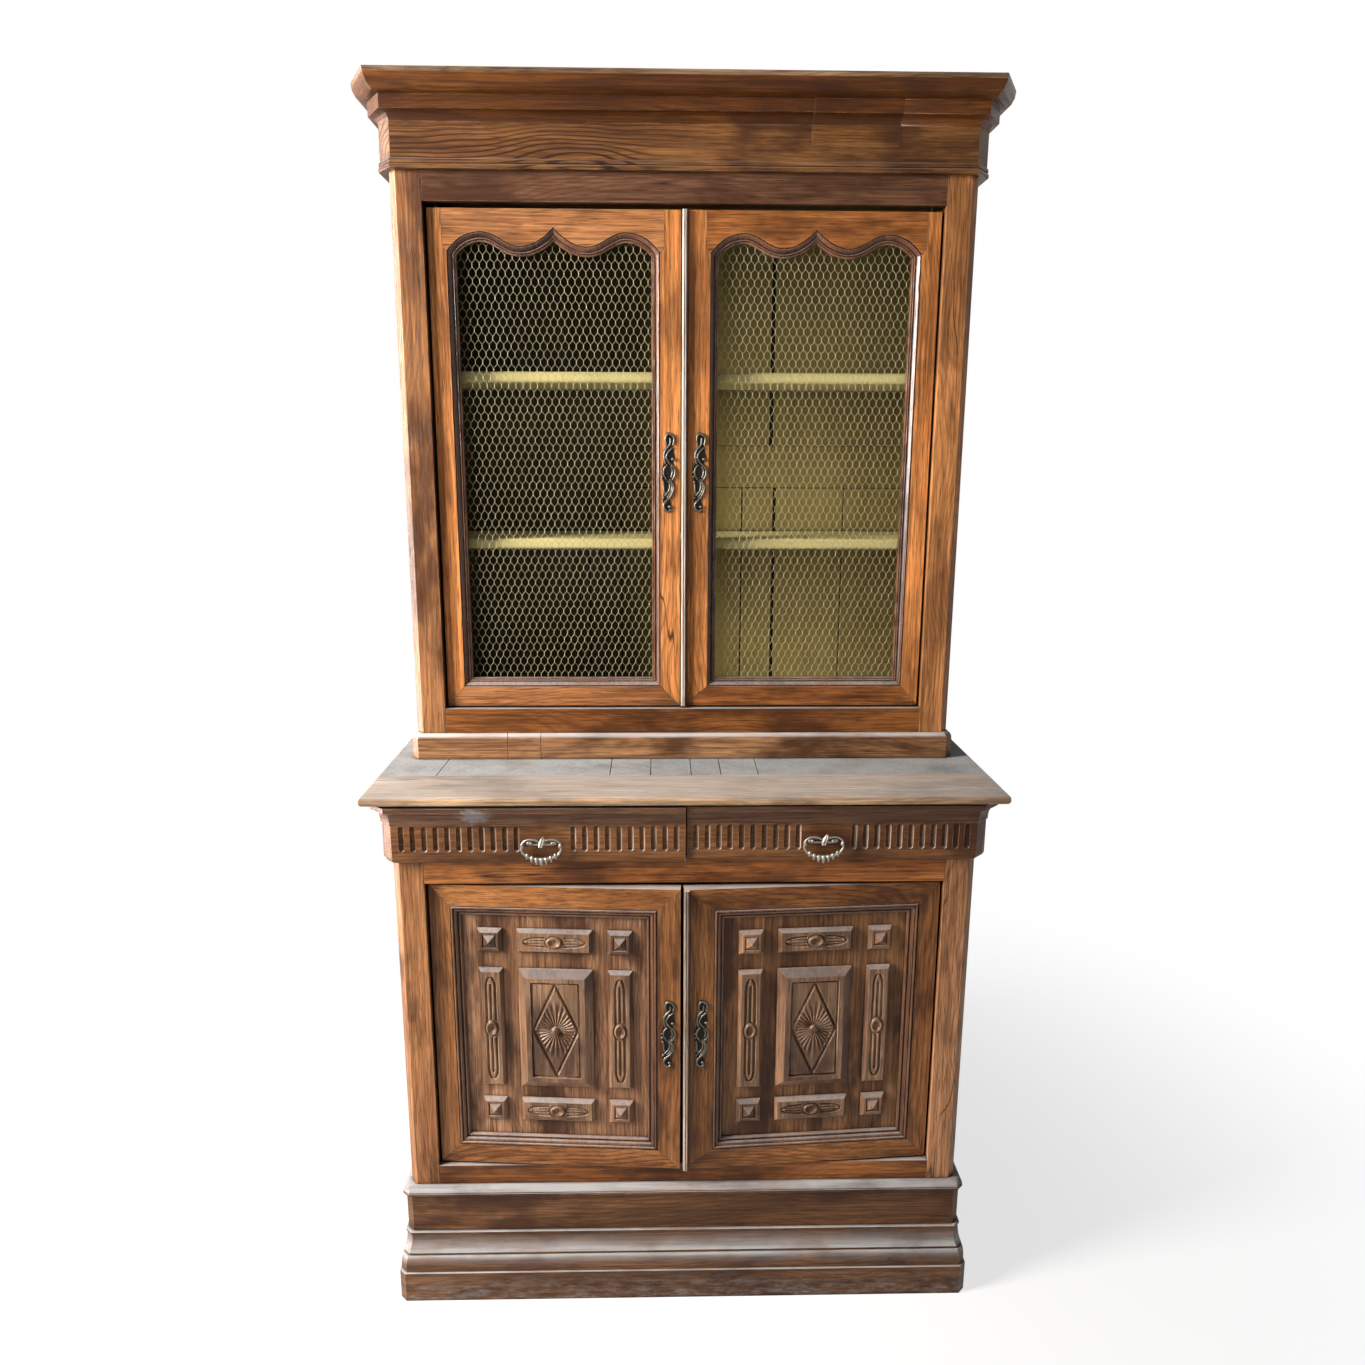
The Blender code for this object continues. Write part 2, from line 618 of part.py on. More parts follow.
def build_cornice_and_waist(oak):
    """Waist moulding and frieze wrapped round the upper case, and the crown laid on top of it."""
    wrap = canted_outline(UPPER_HALF_FACE, UPPER_FRONT, GAP, PARALLEL_CANT)
    edge_top = TABLE_FACE + WAIST_EDGE
    profile = [(WAIST_OUT, TABLE_FACE + GAP), (WAIST_OUT, edge_top)]
    slope_end = (GAP + DRAWER_SEAT_GAP, edge_top + WAIST_SLOPE)
    profile += quarter((WAIST_OUT, edge_top), slope_end, upright_first=True)
    moulding_ring("waist_moulding", UPPER_HALF_FACE, UPPER_FRONT, profile, CONSTANT_CANT, wrap, oak)
    bead_mid = CORNICE_FOOT + CORNICE_BEAD / 2
    bead_head = CORNICE_FOOT + CORNICE_BEAD
    profile = [(CORNICE_FRIEZE_OUT, CORNICE_FOOT)]
    profile += quarter((CORNICE_FRIEZE_OUT, CORNICE_FOOT), (CORNICE_BEAD_OUT, bead_mid), upright_first=False)
    profile += quarter((CORNICE_BEAD_OUT, bead_mid), (CORNICE_FRIEZE_OUT, bead_head), upright_first=True)
    profile.append((CORNICE_FRIEZE_OUT, FRIEZE_TOP))
    moulding_ring("cornice_frieze", UPPER_HALF_FACE, UPPER_FRONT, profile, CROWN_CANT, wrap, oak)
    inner_x = UPPER_SIDE_X - CROWN_WALL
    inner_y = UPPER_FRONT + CROWN_WALL
    inner = [(-inner_x, BACK), (-inner_x, inner_y), (inner_x, inner_y), (inner_x, BACK)]
    fillet_foot = FRIEZE_TOP + CORNICE_COVE
    fillet_head = fillet_foot + CORNICE_FILLET
    profile = [(CORNICE_FRIEZE_OUT, FRIEZE_TOP + GAP)]
    cove_foot = (CORNICE_FRIEZE_OUT, FRIEZE_TOP + GAP)
    profile += quarter(cove_foot, (CORNICE_FILLET_OUT, fillet_foot), upright_first=True)
    profile.append((CORNICE_FILLET_OUT, fillet_head))
    crown_head = (CORNICE_CROWN_OUT, fillet_head + CORNICE_CROWN)
    profile += quarter((CORNICE_FILLET_OUT, fillet_head), crown_head, upright_first=False)
    moulding_ring("cornice_crown", UPPER_HALF_FACE, UPPER_FRONT, profile, CROWN_CANT, inner, oak)


def flute(centre_x, centre_z, face_y):
    """Round-ended cutter for one flute."""
    radius = FLUTE_WIDTH / 2
    straight = FLUTE_HEIGHT / 2 - radius
    outline = []
    for i in range(ARC_STEPS + 1):
        angle = math.pi * i / ARC_STEPS
        outline.append((radius * math.cos(angle), straight + radius * math.sin(angle)))
    outline += [(-x, -z) for x, z in outline]
    near, far = face_y - FLUTE_DEPTH, face_y + FLUTE_DEPTH
    return [[(centre_x + x, y, centre_z + z) for x, z in outline] for y in (near, far)]


def drawer_front(side, sign, carrier, axis, oak):
    """Overlaid drawer front: toe roll, fluted band, lip and cove, with its canted end."""
    back_y = FRONT - DRAWER_SEAT_GAP
    middle_x = MEETING_GAP / 2
    sections = []
    for out, height in drawer_profile():
        face_x, plane_x, _ = frieze_corner(out)
        end_x = plane_x - DRAWER_SEAT_GAP
        plan = [(middle_x, back_y), (middle_x, FRONT - out), (face_x, FRONT - out), (end_x, back_y)]
        sections.append([(sign * x, y, DRAWER_FOOT + height) for x, y in plan])
    front = add_object("%s_drawer_front" % side, loft(sections), oak, carrier, axis)
    face_x, _, _ = frieze_corner(DRAWER_BAND_OUT)
    band_middle = DRAWER_FOOT + DRAWER_TOE + DRAWER_BAND / 2
    outer_room = face_x - FLUTE_MARGIN - PULL_FROM_MIDDLE - FLUTE_CLEAR
    inner_room = PULL_FROM_MIDDLE - FLUTE_CLEAR - middle_x - FLUTE_MARGIN
    cutters = bmesh.new()
    for room, way in ((outer_room, 1), (inner_room, -1)):
        for i in range(int(room / FLUTE_PITCH) + 1):
            x = PULL_FROM_MIDDLE + way * (FLUTE_CLEAR + i * FLUTE_PITCH)
            add_loft(cutters, flute(sign * x, band_middle, FRONT - DRAWER_BAND_OUT))
    cut(front, add_object("cut_%s_flutes" % side, cutters, oak, carrier, axis))


def drawer_box(sign):
    """Open tray behind the drawer front."""
    near_x = DRAWER_GUIDE / 2 + DRAWER_SIDE_GAP
    far_x = LOWER_OPENING_HALF - DRAWER_SIDE_GAP
    depth = (FRONT - DRAWER_SEAT_GAP + GAP, INNER_BACK - DRAWER_TAIL_GAP)
    foot = RUNNER_TOP + GAP
    shape = block(sorted((sign * near_x, sign * far_x)), depth, (foot, foot + DRAWER_BOX_HEIGHT))
    bmesh.ops.recalc_face_normals(shape, faces=shape.faces[:])
    shape.normal_update()
    mouth = max(shape.faces, key=lambda face: face.calc_center_median().z)
    bmesh.ops.inset_individual(shape, faces=[mouth], thickness=DRAWER_WALL)
    inner = bmesh.ops.extrude_discrete_faces(shape, faces=[mouth])["faces"]
    bmesh.ops.translate(shape, verts=inner[0].verts, vec=(0, 0, DRAWER_BOTTOM - DRAWER_BOX_HEIGHT))
    return shape


def pull_hook(axis):
    """Hooked plate on the drawer front: the bail hangs in its trough behind the upstanding leaf."""
    x, y, z = axis
    face_y = y + PULL_AXIS_OUT - GAP
    trough = BAIL_RADIUS + GAP
    leaf_back = y - BAIL_RADIUS - HOOK_FREE
    leaf_front = leaf_back - HOOK_METAL
    side = [(face_y, -HOOK_PLATE_HALF), (face_y - HOOK_METAL, -HOOK_PLATE_HALF),
            (face_y - HOOK_METAL, -trough - HOOK_METAL), (leaf_front, -trough - HOOK_METAL),
            (leaf_front, HOOK_HEAD), (leaf_back, HOOK_HEAD), (leaf_back, -trough),
            (face_y - HOOK_METAL, -trough), (face_y - HOOK_METAL, HOOK_PLATE_HALF),
            (face_y, HOOK_PLATE_HALF)]
    return loft([[(x + half, point_y, z + rise) for point_y, rise in side]
                 for half in (-HOOK_WIDTH / 2, HOOK_WIDTH / 2)])


def bail_half():
    """Right half of the bail's centre line, from the dip over the lobe to the grip's middle."""
    lobe_x = BAIL_HALF_WIDTH * 0.54
    widest_z = -BAIL_DROP * 0.28
    dip, lobe = (0.0, 0.0), (lobe_x, BAIL_LOBE_RISE)
    widest, grip = (BAIL_HALF_WIDTH, widest_z), (0.0, -BAIL_DROP)
    points = [dip]
    points += bezier(dip, (lobe_x * 0.3, BAIL_LOBE_RISE * 0.8), (lobe_x * 0.6, BAIL_LOBE_RISE), lobe, CURVE_STEPS)
    side_pull = (BAIL_HALF_WIDTH, BAIL_LOBE_RISE * 0.5)
    points += bezier(lobe, (lobe_x * 1.4, BAIL_LOBE_RISE), side_pull, widest, CURVE_STEPS)
    under = (BAIL_HALF_WIDTH, -BAIL_DROP * 0.75)
    points += bezier(widest, under, (BAIL_HALF_WIDTH * 0.6, -BAIL_DROP), grip, CURVE_STEPS)
    return points


def bail(axis):
    """Heart-shaped ring, thicker along its grip, hanging from the middle of its dip."""
    half = bail_half()
    centre_line = half + [(-x, z) for x, z in half[-2:0:-1]]
    count = len(centre_line)
    shape = bmesh.new()
    rings = []
    for i, (x, z) in enumerate(centre_line):
        before, after = Vector(centre_line[i - 1]), Vector(centre_line[(i + 1) % count])
        along = (after - before).normalized()
        outward = Vector((along.y, -along.x))
        grip = max(0.0, min(1.0, -z / BAIL_DROP)) ** 2
        radius = BAIL_RADIUS + (BAIL_GRIP_RADIUS - BAIL_RADIUS) * grip
        ring = []
        for k in range(BAIL_SIDES):
            angle = 2 * math.pi * k / BAIL_SIDES
            swing, depth = radius * math.cos(angle), radius * math.sin(angle)
            point = (axis[0] + x + outward.x * swing, axis[1] + depth, axis[2] + z + outward.y * swing)
            ring.append(shape.verts.new(point))
        rings.append(ring)
    for i in range(count):
        bridge(shape, rings[i], rings[(i + 1) % count])
    return shape


def build_drawers(oak, pewter):
    """Two drawers with their boxes and pulls, the left one a little out."""
    for side, sign in SIDES:
        out = LEFT_DRAWER_OUT if side == "left" else 0.0
        axis = (0.0, FRONT, RUNNER_TOP)
        carrier = make_empty("%s_drawer_carrier" % side, (axis[0], axis[1] - out, axis[2]))
        drawer_front(side, sign, carrier, axis, oak)
        add_object("%s_drawer_box" % side, drawer_box(sign), oak, carrier, axis)
        pull_z = DRAWER_FOOT + DRAWER_TOE + DRAWER_BAND - PULL_BELOW_BAND_HEAD
        pull = (sign * PULL_FROM_MIDDLE + PULL_SHIFT, FRONT - DRAWER_BAND_OUT - PULL_AXIS_OUT, pull_z)
        add_object("%s_pull_hook" % side, pull_hook(pull), pewter, carrier, axis)
        swing = make_empty("%s_bail_carrier" % side, (pull[0], pull[1] - out, pull[2]))
        add_object("%s_pull_bail" % side, bail(pull), pewter, swing, pull, smooth=True)


def pivot_place(opening_half, face_y, sign):
    """Plan point of a door's pivot axis."""
    return (sign * (opening_half - DOOR_SIDE_GAP - PIVOT_FROM_EDGE), face_y + PIVOT_FROM_FACE)


def bore(centre, mouth, way):
    """A pivot bore as (radius, z) sections: it starts outside the wood and ends GAP past the pin."""
    radius = PIVOT_RADIUS + GAP
    ends = sorted((mouth - way * PIVOT_LENGTH, mouth + way * (PIVOT_LENGTH + GAP)))
    shape = bmesh.new()
    add_turned(shape, centre, [(radius, ends[0]), (radius, ends[1])])
    return shape


def bore_pivots(rail, name, opening_half, face_y, mouth, way):
    """Bore a rail for its two pivots."""
    for side, sign in SIDES:
        cutter = bore(pivot_place(opening_half, face_y, sign), mouth, way)
        cut(rail, add_object("cut_%s_%s" % (name, side), cutter, rail.data.materials[0]))


def build_pivots(name, opening_half, face_y, sill, head, head_gap, steel):
    """Pins in the rails: the lower pin has a collar that carries the door."""
    for side, sign in SIDES:
        centre = pivot_place(opening_half, face_y, sign)
        pin, collar = PIVOT_RADIUS, PIVOT_COLLAR_RADIUS
        collar_foot, collar_head = sill + GAP, sill + DOOR_SILL_GAP - GAP
        foot = [(pin, sill - PIVOT_LENGTH), (pin, collar_foot), (collar, collar_foot), (collar, collar_head),
                (pin, collar_head), (pin, sill + DOOR_SILL_GAP + PIVOT_LENGTH)]
        top = [(pin, head - head_gap - PIVOT_LENGTH), (pin, head + PIVOT_LENGTH)]
        for end, profile in (("foot", foot), ("head", top)):
            shape = bmesh.new()
            add_turned(shape, centre, profile)
            add_object("%s_%s_%s_pivot" % (name, side, end), shape, steel, smooth=True)


def door_frame(outer, opening, sticking, depths, rebate):
    """Door frame with a moulded inner edge and a rebate at its back.

    outer and rebate are rectangles, opening is the outer loop of the moulded edge, depths is the
    face, the moulding's foot, the rebate's floor and the back.
    """
    face_y, foot_y, floor_y, back_y = depths
    step = (foot_y - face_y) / 4
    shape = bmesh.new()
    rim = upright_loop(shape, outer, face_y)
    edge = upright_loop(shape, opening, face_y)
    fill_face(shape, [rim, edge])
    stages = [(0.0, face_y + step), (0.4, face_y + step), (0.75, face_y + 3 * step), (1.0, foot_y)]
    for share, y in stages:
        points = inset_loop(opening, sticking * share) if share else opening
        following = upright_loop(shape, points, y)
        bridge(shape, edge, following)
        edge = following
    sight = upright_loop(shape, inset_loop(opening, sticking), floor_y)
    bridge(shape, edge, sight)
    rebate_floor = upright_loop(shape, rebate, floor_y)
    fill_face(shape, [rebate_floor, sight])
    rebate_back = upright_loop(shape, rebate, back_y)
    bridge(shape, rebate_floor, rebate_back)
    rim_back = upright_loop(shape, outer, back_y)
    bridge(shape, rebate_back, rim_back)
    bridge(shape, rim_back, rim)
    return shape


def shaped_head(x0, x1, shoulder):
    """Head of a netted door's opening, right to left: two humps and a cusp between two valleys."""
    half = (x1 - x0) / 2
    middle = (x0 + x1) / 2
    cusp, valley = (0.0, CUSP_RISE), (VALLEY_FROM_MIDDLE, VALLEY_RISE)
    crest, ear = (CREST_FROM_MIDDLE, CREST_RISE), (half, 0.0)
    lean = (VALLEY_FROM_MIDDLE * 0.26, CUSP_RISE * 0.6)
    points = [cusp]
    points += bezier(cusp, lean, (VALLEY_FROM_MIDDLE * 0.62, VALLEY_RISE), valley, CURVE_STEPS)
    flat = (CREST_FROM_MIDDLE - VALLEY_FROM_MIDDLE) * 0.38
    points += bezier(valley, (valley[0] + flat, VALLEY_RISE), (crest[0] - flat, CREST_RISE), crest, CURVE_STEPS)
    over = (half - CREST_FROM_MIDDLE) * 0.5
    points += bezier(crest, (crest[0] + over, CREST_RISE), (half, CREST_RISE * 0.6), ear, CURVE_STEPS)
    right = [(middle + x, shoulder + z) for x, z in reversed(points)]
    left = [(middle - x, shoulder + z) for x, z in points[1:]]
    return right + left


def net_holes(x0, x1, z0, z1):
    """Six-sided gaps of the net, points up, in rows set half a pitch apart, with half gaps at the ends."""
    row_rise = NET_PITCH * math.sqrt(3) / 2
    radius = (NET_PITCH - NET_WIRE) / math.sqrt(3)
    rows = int((z1 - z0 - 2 * radius) / row_rise) + 1
    columns = int((x1 - x0) / NET_PITCH)
    start_x = (x0 + x1 - (columns - 1) * NET_PITCH) / 2
    start_z = (z0 + z1 - (rows - 1) * row_rise) / 2
    corners = [(radius * math.cos(a), radius * math.sin(a)) for a in (math.radians(60 * k + 30) for k in range(6))]
    trim = NET_WIRE / 2
    head = radius - trim / math.sqrt(3)
    half_gap = [(trim, -head), corners[5], corners[0], (trim, head)]
    holes = []
    for row in range(rows):
        z = start_z + row * row_rise
        shift = NET_PITCH / 2 * (row % 2)
        for column in range(columns - row % 2):
            x = start_x + shift + column * NET_PITCH
            holes.append([(x + dx, z + dz) for dx, dz in corners])
        if row % 2:
            left, right = start_x - shift, start_x + shift + (columns - 1) * NET_PITCH
            holes.append([(left + dx, z + dz) for dx, dz in half_gap])
            holes.append([(right - dx, z - dz) for dx, dz in half_gap])
    return holes


def key_plate_outline(x, z, half_width, height, sign):
    """Waisted S-shaped outline of a key plate."""
    left, right = [], []
    for i in range(1, KEY_PLATE_STEPS):
        s = 2 * i / KEY_PLATE_STEPS - 1
        sway = sign * half_width * 0.28 * math.sin(2 * math.pi * s)
        swell = half_width * (1 - s ** 4) * (0.58 + 0.14 * math.cos(3 * math.pi * s))
        left.append((x + sway - swell, z + s * height / 2))
        right.append((x + sway + swell, z + s * height / 2))
    return right + [(x, z + height / 2)] + left[::-1] + [(x, z - height / 2)]


def key_plate(x, z, half_width, height, sign, face_y):
    """Key plate with its keyhole, on a door's face."""
    keyhole = []
    for i in range(ARC_STEPS + 1):
        angle = math.pi * i / ARC_STEPS
        keyhole.append((x + KEYHOLE_RADIUS * math.cos(angle), z + KEYHOLE_RADIUS * math.sin(angle)))
    keyhole += [(x - KEYHOLE_RADIUS / 2, z - KEYHOLE_SLOT), (x + KEYHOLE_RADIUS / 2, z - KEYHOLE_SLOT)]
    outline = key_plate_outline(x, z, half_width, height, sign)
    return pierced_plate(outline, [keyhole], face_y - GAP - KEY_PLATE_THICKNESS, face_y - GAP)


def astragal(x0, z0, z1, face_y):
    """Half-round cover strip on the right door's meeting edge."""
    foot_y = face_y - GAP
    middle, radius = x0 + ASTRAGAL_WIDTH / 2, ASTRAGAL_WIDTH / 2
    crown = ASTRAGAL_DEPTH - ASTRAGAL_WIDTH / 4
    plan = [(x0 + ASTRAGAL_WIDTH, foot_y)]
    for i in range(2 * ARC_STEPS + 1):
        angle = math.pi * i / (2 * ARC_STEPS)
        plan.append((middle + radius * math.cos(angle), foot_y - crown - ASTRAGAL_WIDTH / 4 * math.sin(angle)))
    plan.append((x0, foot_y))
    return loft([level(plan, z0), level(plan, z1)])


def lock_case(x0, z, back_y):
    """Rim lock case with the bolt's channel open towards the meeting edge."""
    near, far = back_y + GAP, back_y + LOCK_DEPTH
    rim = [(near, z - LOCK_HEIGHT / 2), (far, z - LOCK_HEIGHT / 2), (far, z + LOCK_HEIGHT / 2),
           (near, z + LOCK_HEIGHT / 2)]
    middle = (near + far) / 2
    half_depth, half_height = BOLT_DEPTH / 2 + GAP, BOLT_HEIGHT / 2 + GAP
    channel = [(middle - half_depth, z - half_height), (middle + half_depth, z - half_height),
               (middle + half_depth, z + half_height), (middle - half_depth, z + half_height)]
    stations = [(x0 + LOCK_WIDTH, rim), (x0, rim), (x0, channel), (x0 + BOLT_LENGTH + GAP, channel)]
    return loft([[(x, y, height) for y, height in loop] for x, loop in stations])


def lock_bolt(x0, z, back_y):
    """Bolt drawn back flush with the lock's edge."""
    middle = back_y + (GAP + LOCK_DEPTH) / 2
    depth = (middle - BOLT_DEPTH / 2, middle + BOLT_DEPTH / 2)
    return block((x0, x0 + BOLT_LENGTH), depth, (z - BOLT_HEIGHT / 2, z + BOLT_HEIGHT / 2))


def raised_block(shape, points, base_y, stages):
    """Sides of a block standing on a loop: stages are (inset, rise). Returns base and last loop."""
    base = upright_loop(shape, points, base_y)
    last = base
    for inset, rise in stages:
        loop = upright_loop(shape, inset_loop(points, inset) if inset else points, base_y - rise)
        bridge(shape, last, loop)
        last = loop
    return base, last


def close_point(shape, loop, point):
    """Triangles from a loop to one point."""
    apex = shape.verts.new(point)
    for i, vertex in enumerate(loop):
        shape.faces.new((vertex, loop[(i + 1) % len(loop)], apex))


def centred(x, z, width, height):
    """A rectangle about a point."""
    return rectangle(x - width / 2, x + width / 2, z - height / 2, z + height / 2)


def carved_panel(board, face_y):
    """Door panel with four pyramids, four plaques and the lozenge block standing on its face."""
    (x0, _), (x1, z1) = board[0], board[2]
    middle_x, middle_z = (x0 + x1) / 2, (board[0][1] + z1) / 2
    across = PLAQUE_WIDTH / 2 + BLOCK_COLUMN_GAP + BLOCK_COLUMN / 2
    along = PLAQUE_HEIGHT / 2 + BLOCK_ROW_GAP + BLOCK_ROW / 2
    shape = bmesh.new()
    rim = upright_loop(shape, board, face_y)
    standing = [rim]
    for column in (-1, 0, 1):
        for row in (-1, 0, 1):
            x, z = middle_x + column * across, middle_z + row * along
            if row > 0:
                z += BLOCK_TOP_ROW_LIFT
            width = BLOCK_COLUMN if column else PLAQUE_WIDTH
            height = BLOCK_ROW if row else PLAQUE_HEIGHT
            points = centred(x, z, width, height)
            if column and row:
                base, last = raised_block(shape, points, face_y, [(0.0, BLOCK_EDGE), (BLOCK_BEVEL, BLOCK_EDGE)])
                close_point(shape, last, (x, face_y - PYRAMID_RISE, z))
            elif column or row:
                base, last = raised_block(shape, points, face_y, [(0.0, BLOCK_EDGE), (BLOCK_BEVEL, BLOCK_RISE)])
                shape.faces.new(last)
            else:
                base, last = raised_block(shape, points, face_y, [(0.0, BLOCK_EDGE), (CENTRE_BEVEL, CENTRE_RISE)])
                field_y = face_y - CENTRE_RISE
                half_width, half_height = LOZENGE_WIDTH / 2, LOZENGE_HEIGHT / 2
                lozenge = [(x - half_width, z), (x, z - half_height), (x + half_width, z), (x, z + half_height)]
                foot = upright_loop(shape, lozenge, field_y)
                fill_face(shape, [last, foot])
                close_point(shape, foot, (x, field_y - LOZENGE_RISE, z))
            standing.append(base)
    fill_face(shape, standing)
    back = upright_loop(shape, board, face_y + PANEL_BOARD)
    bridge(shape, rim, back)
    shape.faces.new(back)
    return shape


def door_span(opening_half, sign):
    """X of a door's low and high edge: the right door carries the strip that covers the meeting."""
    if sign < 0:
        return DOOR_SIDE_GAP - opening_half, MEETING_EDGE - MEETING_GAP
    return MEETING_EDGE, opening_half - DOOR_SIDE_GAP


def build_doors(case, opening_half, case_front, recess, sill, head, head_gap, ajar, infill, finishes):
    """One pair of doors: frames, infill, key plates, cover strip and lock, hung on their pivots."""
    face_y = case_front + recess
    back_y = face_y + DOOR_BOARD
    foot, top = sill + DOOR_SILL_GAP, head - head_gap
    key_z = sill + infill["key_height"]
    for side, sign in SIDES:
        x0, x1 = door_span(opening_half, sign)
        centre = pivot_place(opening_half, face_y, sign)
        axis = (centre[0], centre[1], 0.0)
        carrier = make_empty("%s_%s_door_carrier" % (case, side), axis, sign * ajar)
        stiles = (infill["hinge_stile"], infill["lock_stile"] - (MEETING_GAP if sign < 0 else 0.0))
        low_stile, high_stile = stiles if sign < 0 else stiles[::-1]
        if sign > 0:
            low_stile += ASTRAGAL_WIDTH
        opening_span = (x0 + low_stile, x1 - high_stile)
        opening = infill["opening"](opening_span, foot, top)
        sight_low = (opening_span[0] + infill["sticking"], foot + infill["rail"] + infill["sticking"])
        sight_high = (opening_span[1] - infill["sticking"], max(z for _, z in opening) - infill["sticking"])
        rebate = rectangle(sight_low[0] - REBATE_WIDTH, sight_high[0] + REBATE_WIDTH,
                           sight_low[1] - REBATE_WIDTH, sight_high[1] + REBATE_WIDTH)
        floor_y = back_y - infill["rebate_depth"]
        depths = (face_y, face_y + STICKING_DEPTH, floor_y, back_y)
        shape = door_frame(rectangle(x0, x1, foot, top), opening, infill["sticking"], depths, rebate)
        frame = add_object("%s_%s_door_frame" % (case, side), shape, finishes["oak"], carrier, axis)
        for end, mouth, way in (("foot", foot, 1), ("head", top, -1)):
            cutter = bore(centre, mouth, way)
            cut(frame, add_object("cut_%s_%s_%s" % (case, side, end), cutter, finishes["oak"], carrier, axis))
        fitted = inset_loop(rebate, NET_FIT)
        filling = infill["filling"](fitted, floor_y + GAP)
        name = "%s_%s_door_%s" % (case, side, infill["name"])
        add_object(name, filling, finishes[infill["finish"]], carrier, axis)
        free_edge = x1 if sign < 0 else x0 + ASTRAGAL_WIDTH
        key_x = free_edge + sign * KEY_FROM_EDGE
        plate = key_plate(key_x, key_z, infill["key_half_width"], infill["key_plate"], sign, face_y)
        add_object("%s_%s_key_plate" % (case, side), plate, finishes["bronze"], carrier, axis)
        if sign > 0:
            add_object("%s_astragal" % case, astragal(x0, foot, top, face_y), finishes["oak"], carrier, axis)
            lock_x = x0 + LOCK_SET_BACK
            add_object("%s_lock_case" % case, lock_case(lock_x, key_z, back_y), finishes["steel"], carrier, axis)
            add_object("%s_lock_bolt" % case, lock_bolt(lock_x, key_z, back_y), finishes["steel"], carrier, axis)


def netted_opening(span, foot, top):
    """Outer loop of a netted door's moulded edge, counter-clockwise."""
    x0, x1 = span
    sill = foot + UPPER_DOOR_RAIL
    return [(x0, sill), (x1, sill)] + shaped_head(x0, x1, top - SHOULDER_BELOW_DOOR_TOP)


def carved_opening(span, foot, top):
    """Outer loop of a carved door's moulded edge."""
    return rectangle(span[0], span[1], foot + LOWER_DOOR_RAIL, top - LOWER_DOOR_TOP_RAIL)


def wire_net(sheet, y):
    """Hexagonal net with a selvedge, filling a rebate."""
    (x0, z0), (x1, z1) = sheet[0], sheet[2]
    holes = net_holes(x0 + NET_SELVEDGE, x1 - NET_SELVEDGE, z0 + NET_SELVEDGE, z1 - NET_SELVEDGE)
    return pierced_plate(sheet, holes, y, y + NET_THICKNESS)


def main():
    """Build the cupboard in an empty scene."""
    for leftover in list(bpy.data.objects):
        bpy.data.objects.remove(leftover, do_unlink=True)
    finishes = {
        "oak": make_material("oak", (0.20, 0.085, 0.030), 0.45),
        "paint": make_material("olive_paint", (0.42, 0.36, 0.16), 0.65),
        "bronze": make_material("dark_bronze", (0.10, 0.085, 0.07), 0.45, 0.9),
        "pewter": make_material("pewter", (0.55, 0.52, 0.48), 0.35, 1.0),
        "steel": make_material("steel", (0.30, 0.29, 0.28), 0.45, 1.0),
        "wire": make_material("galvanised_wire", (0.42, 0.38, 0.27), 0.5, 0.8),
    }
    oak = finishes["oak"]
    build_base(oak)
    build_lower_case(oak)
    build_upper_case(oak, finishes["paint"])
    build_cornice_and_waist(oak)
    build_drawers(oak, finishes["pewter"])
    netted = {
        "name": "net", "finish": "wire", "opening": netted_opening, "filling": wire_net,
        "hinge_stile": UPPER_HINGE_STILE, "lock_stile": UPPER_LOCK_STILE, "rail": UPPER_DOOR_RAIL,
        "sticking": UPPER_STICKING, "rebate_depth": NET_REBATE_DEPTH, "key_height": UPPER_KEY_HEIGHT,
        "key_plate": UPPER_KEY_PLATE, "key_half_width": UPPER_KEY_HALF_WIDTH,
    }
    carved = {
        "name": "panel", "finish": "oak", "opening": carved_opening, "filling": carved_panel,
        "hinge_stile": LOWER_HINGE_STILE, "lock_stile": LOWER_LOCK_STILE, "rail": LOWER_DOOR_RAIL,
        "sticking": LOWER_STICKING, "rebate_depth": PANEL_BOARD + 2 * GAP, "key_height": LOWER_KEY_HEIGHT,
        "key_plate": LOWER_KEY_PLATE, "key_half_width": LOWER_KEY_HALF_WIDTH,
    }
    build_doors("upper", UPPER_OPENING_HALF, UPPER_FRONT, UPPER_DOOR_RECESS, UPPER_SILL, UPPER_HEAD,
                UPPER_DOOR_HEAD_GAP, 0.0, netted, finishes)
    build_doors("lower", LOWER_OPENING_HALF, FRONT, LOWER_DOOR_RECESS, LOWER_SILL, LOWER_HEAD,
                LOWER_DOOR_HEAD_GAP, LOWER_DOOR_AJAR, carved, finishes)
    steel = finishes["steel"]
    build_pivots("upper", UPPER_OPENING_HALF, UPPER_FRONT + UPPER_DOOR_RECESS, UPPER_SILL, UPPER_HEAD,
                 UPPER_DOOR_HEAD_GAP, steel)
    build_pivots("lower", LOWER_OPENING_HALF, FRONT + LOWER_DOOR_RECESS, LOWER_SILL, LOWER_HEAD,
                 LOWER_DOOR_HEAD_GAP, steel)


main()
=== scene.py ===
"""Dressed model of a tall oak cupboard: carved doors and fluted drawers below, netted doors above.

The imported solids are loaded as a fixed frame, in metres, with the front towards -Y. Every class below
dresses one sub-assembly: it eases the edges of the plain solids or replaces them by finer pieces, and
gives each piece a procedural finish.
"""

from __future__ import annotations

import json
import logging
import math
from collections.abc import Callable, Iterable, Sequence
from dataclasses import dataclass
from enum import Enum

import bmesh
import bpy
from mathutils import Matrix, Vector

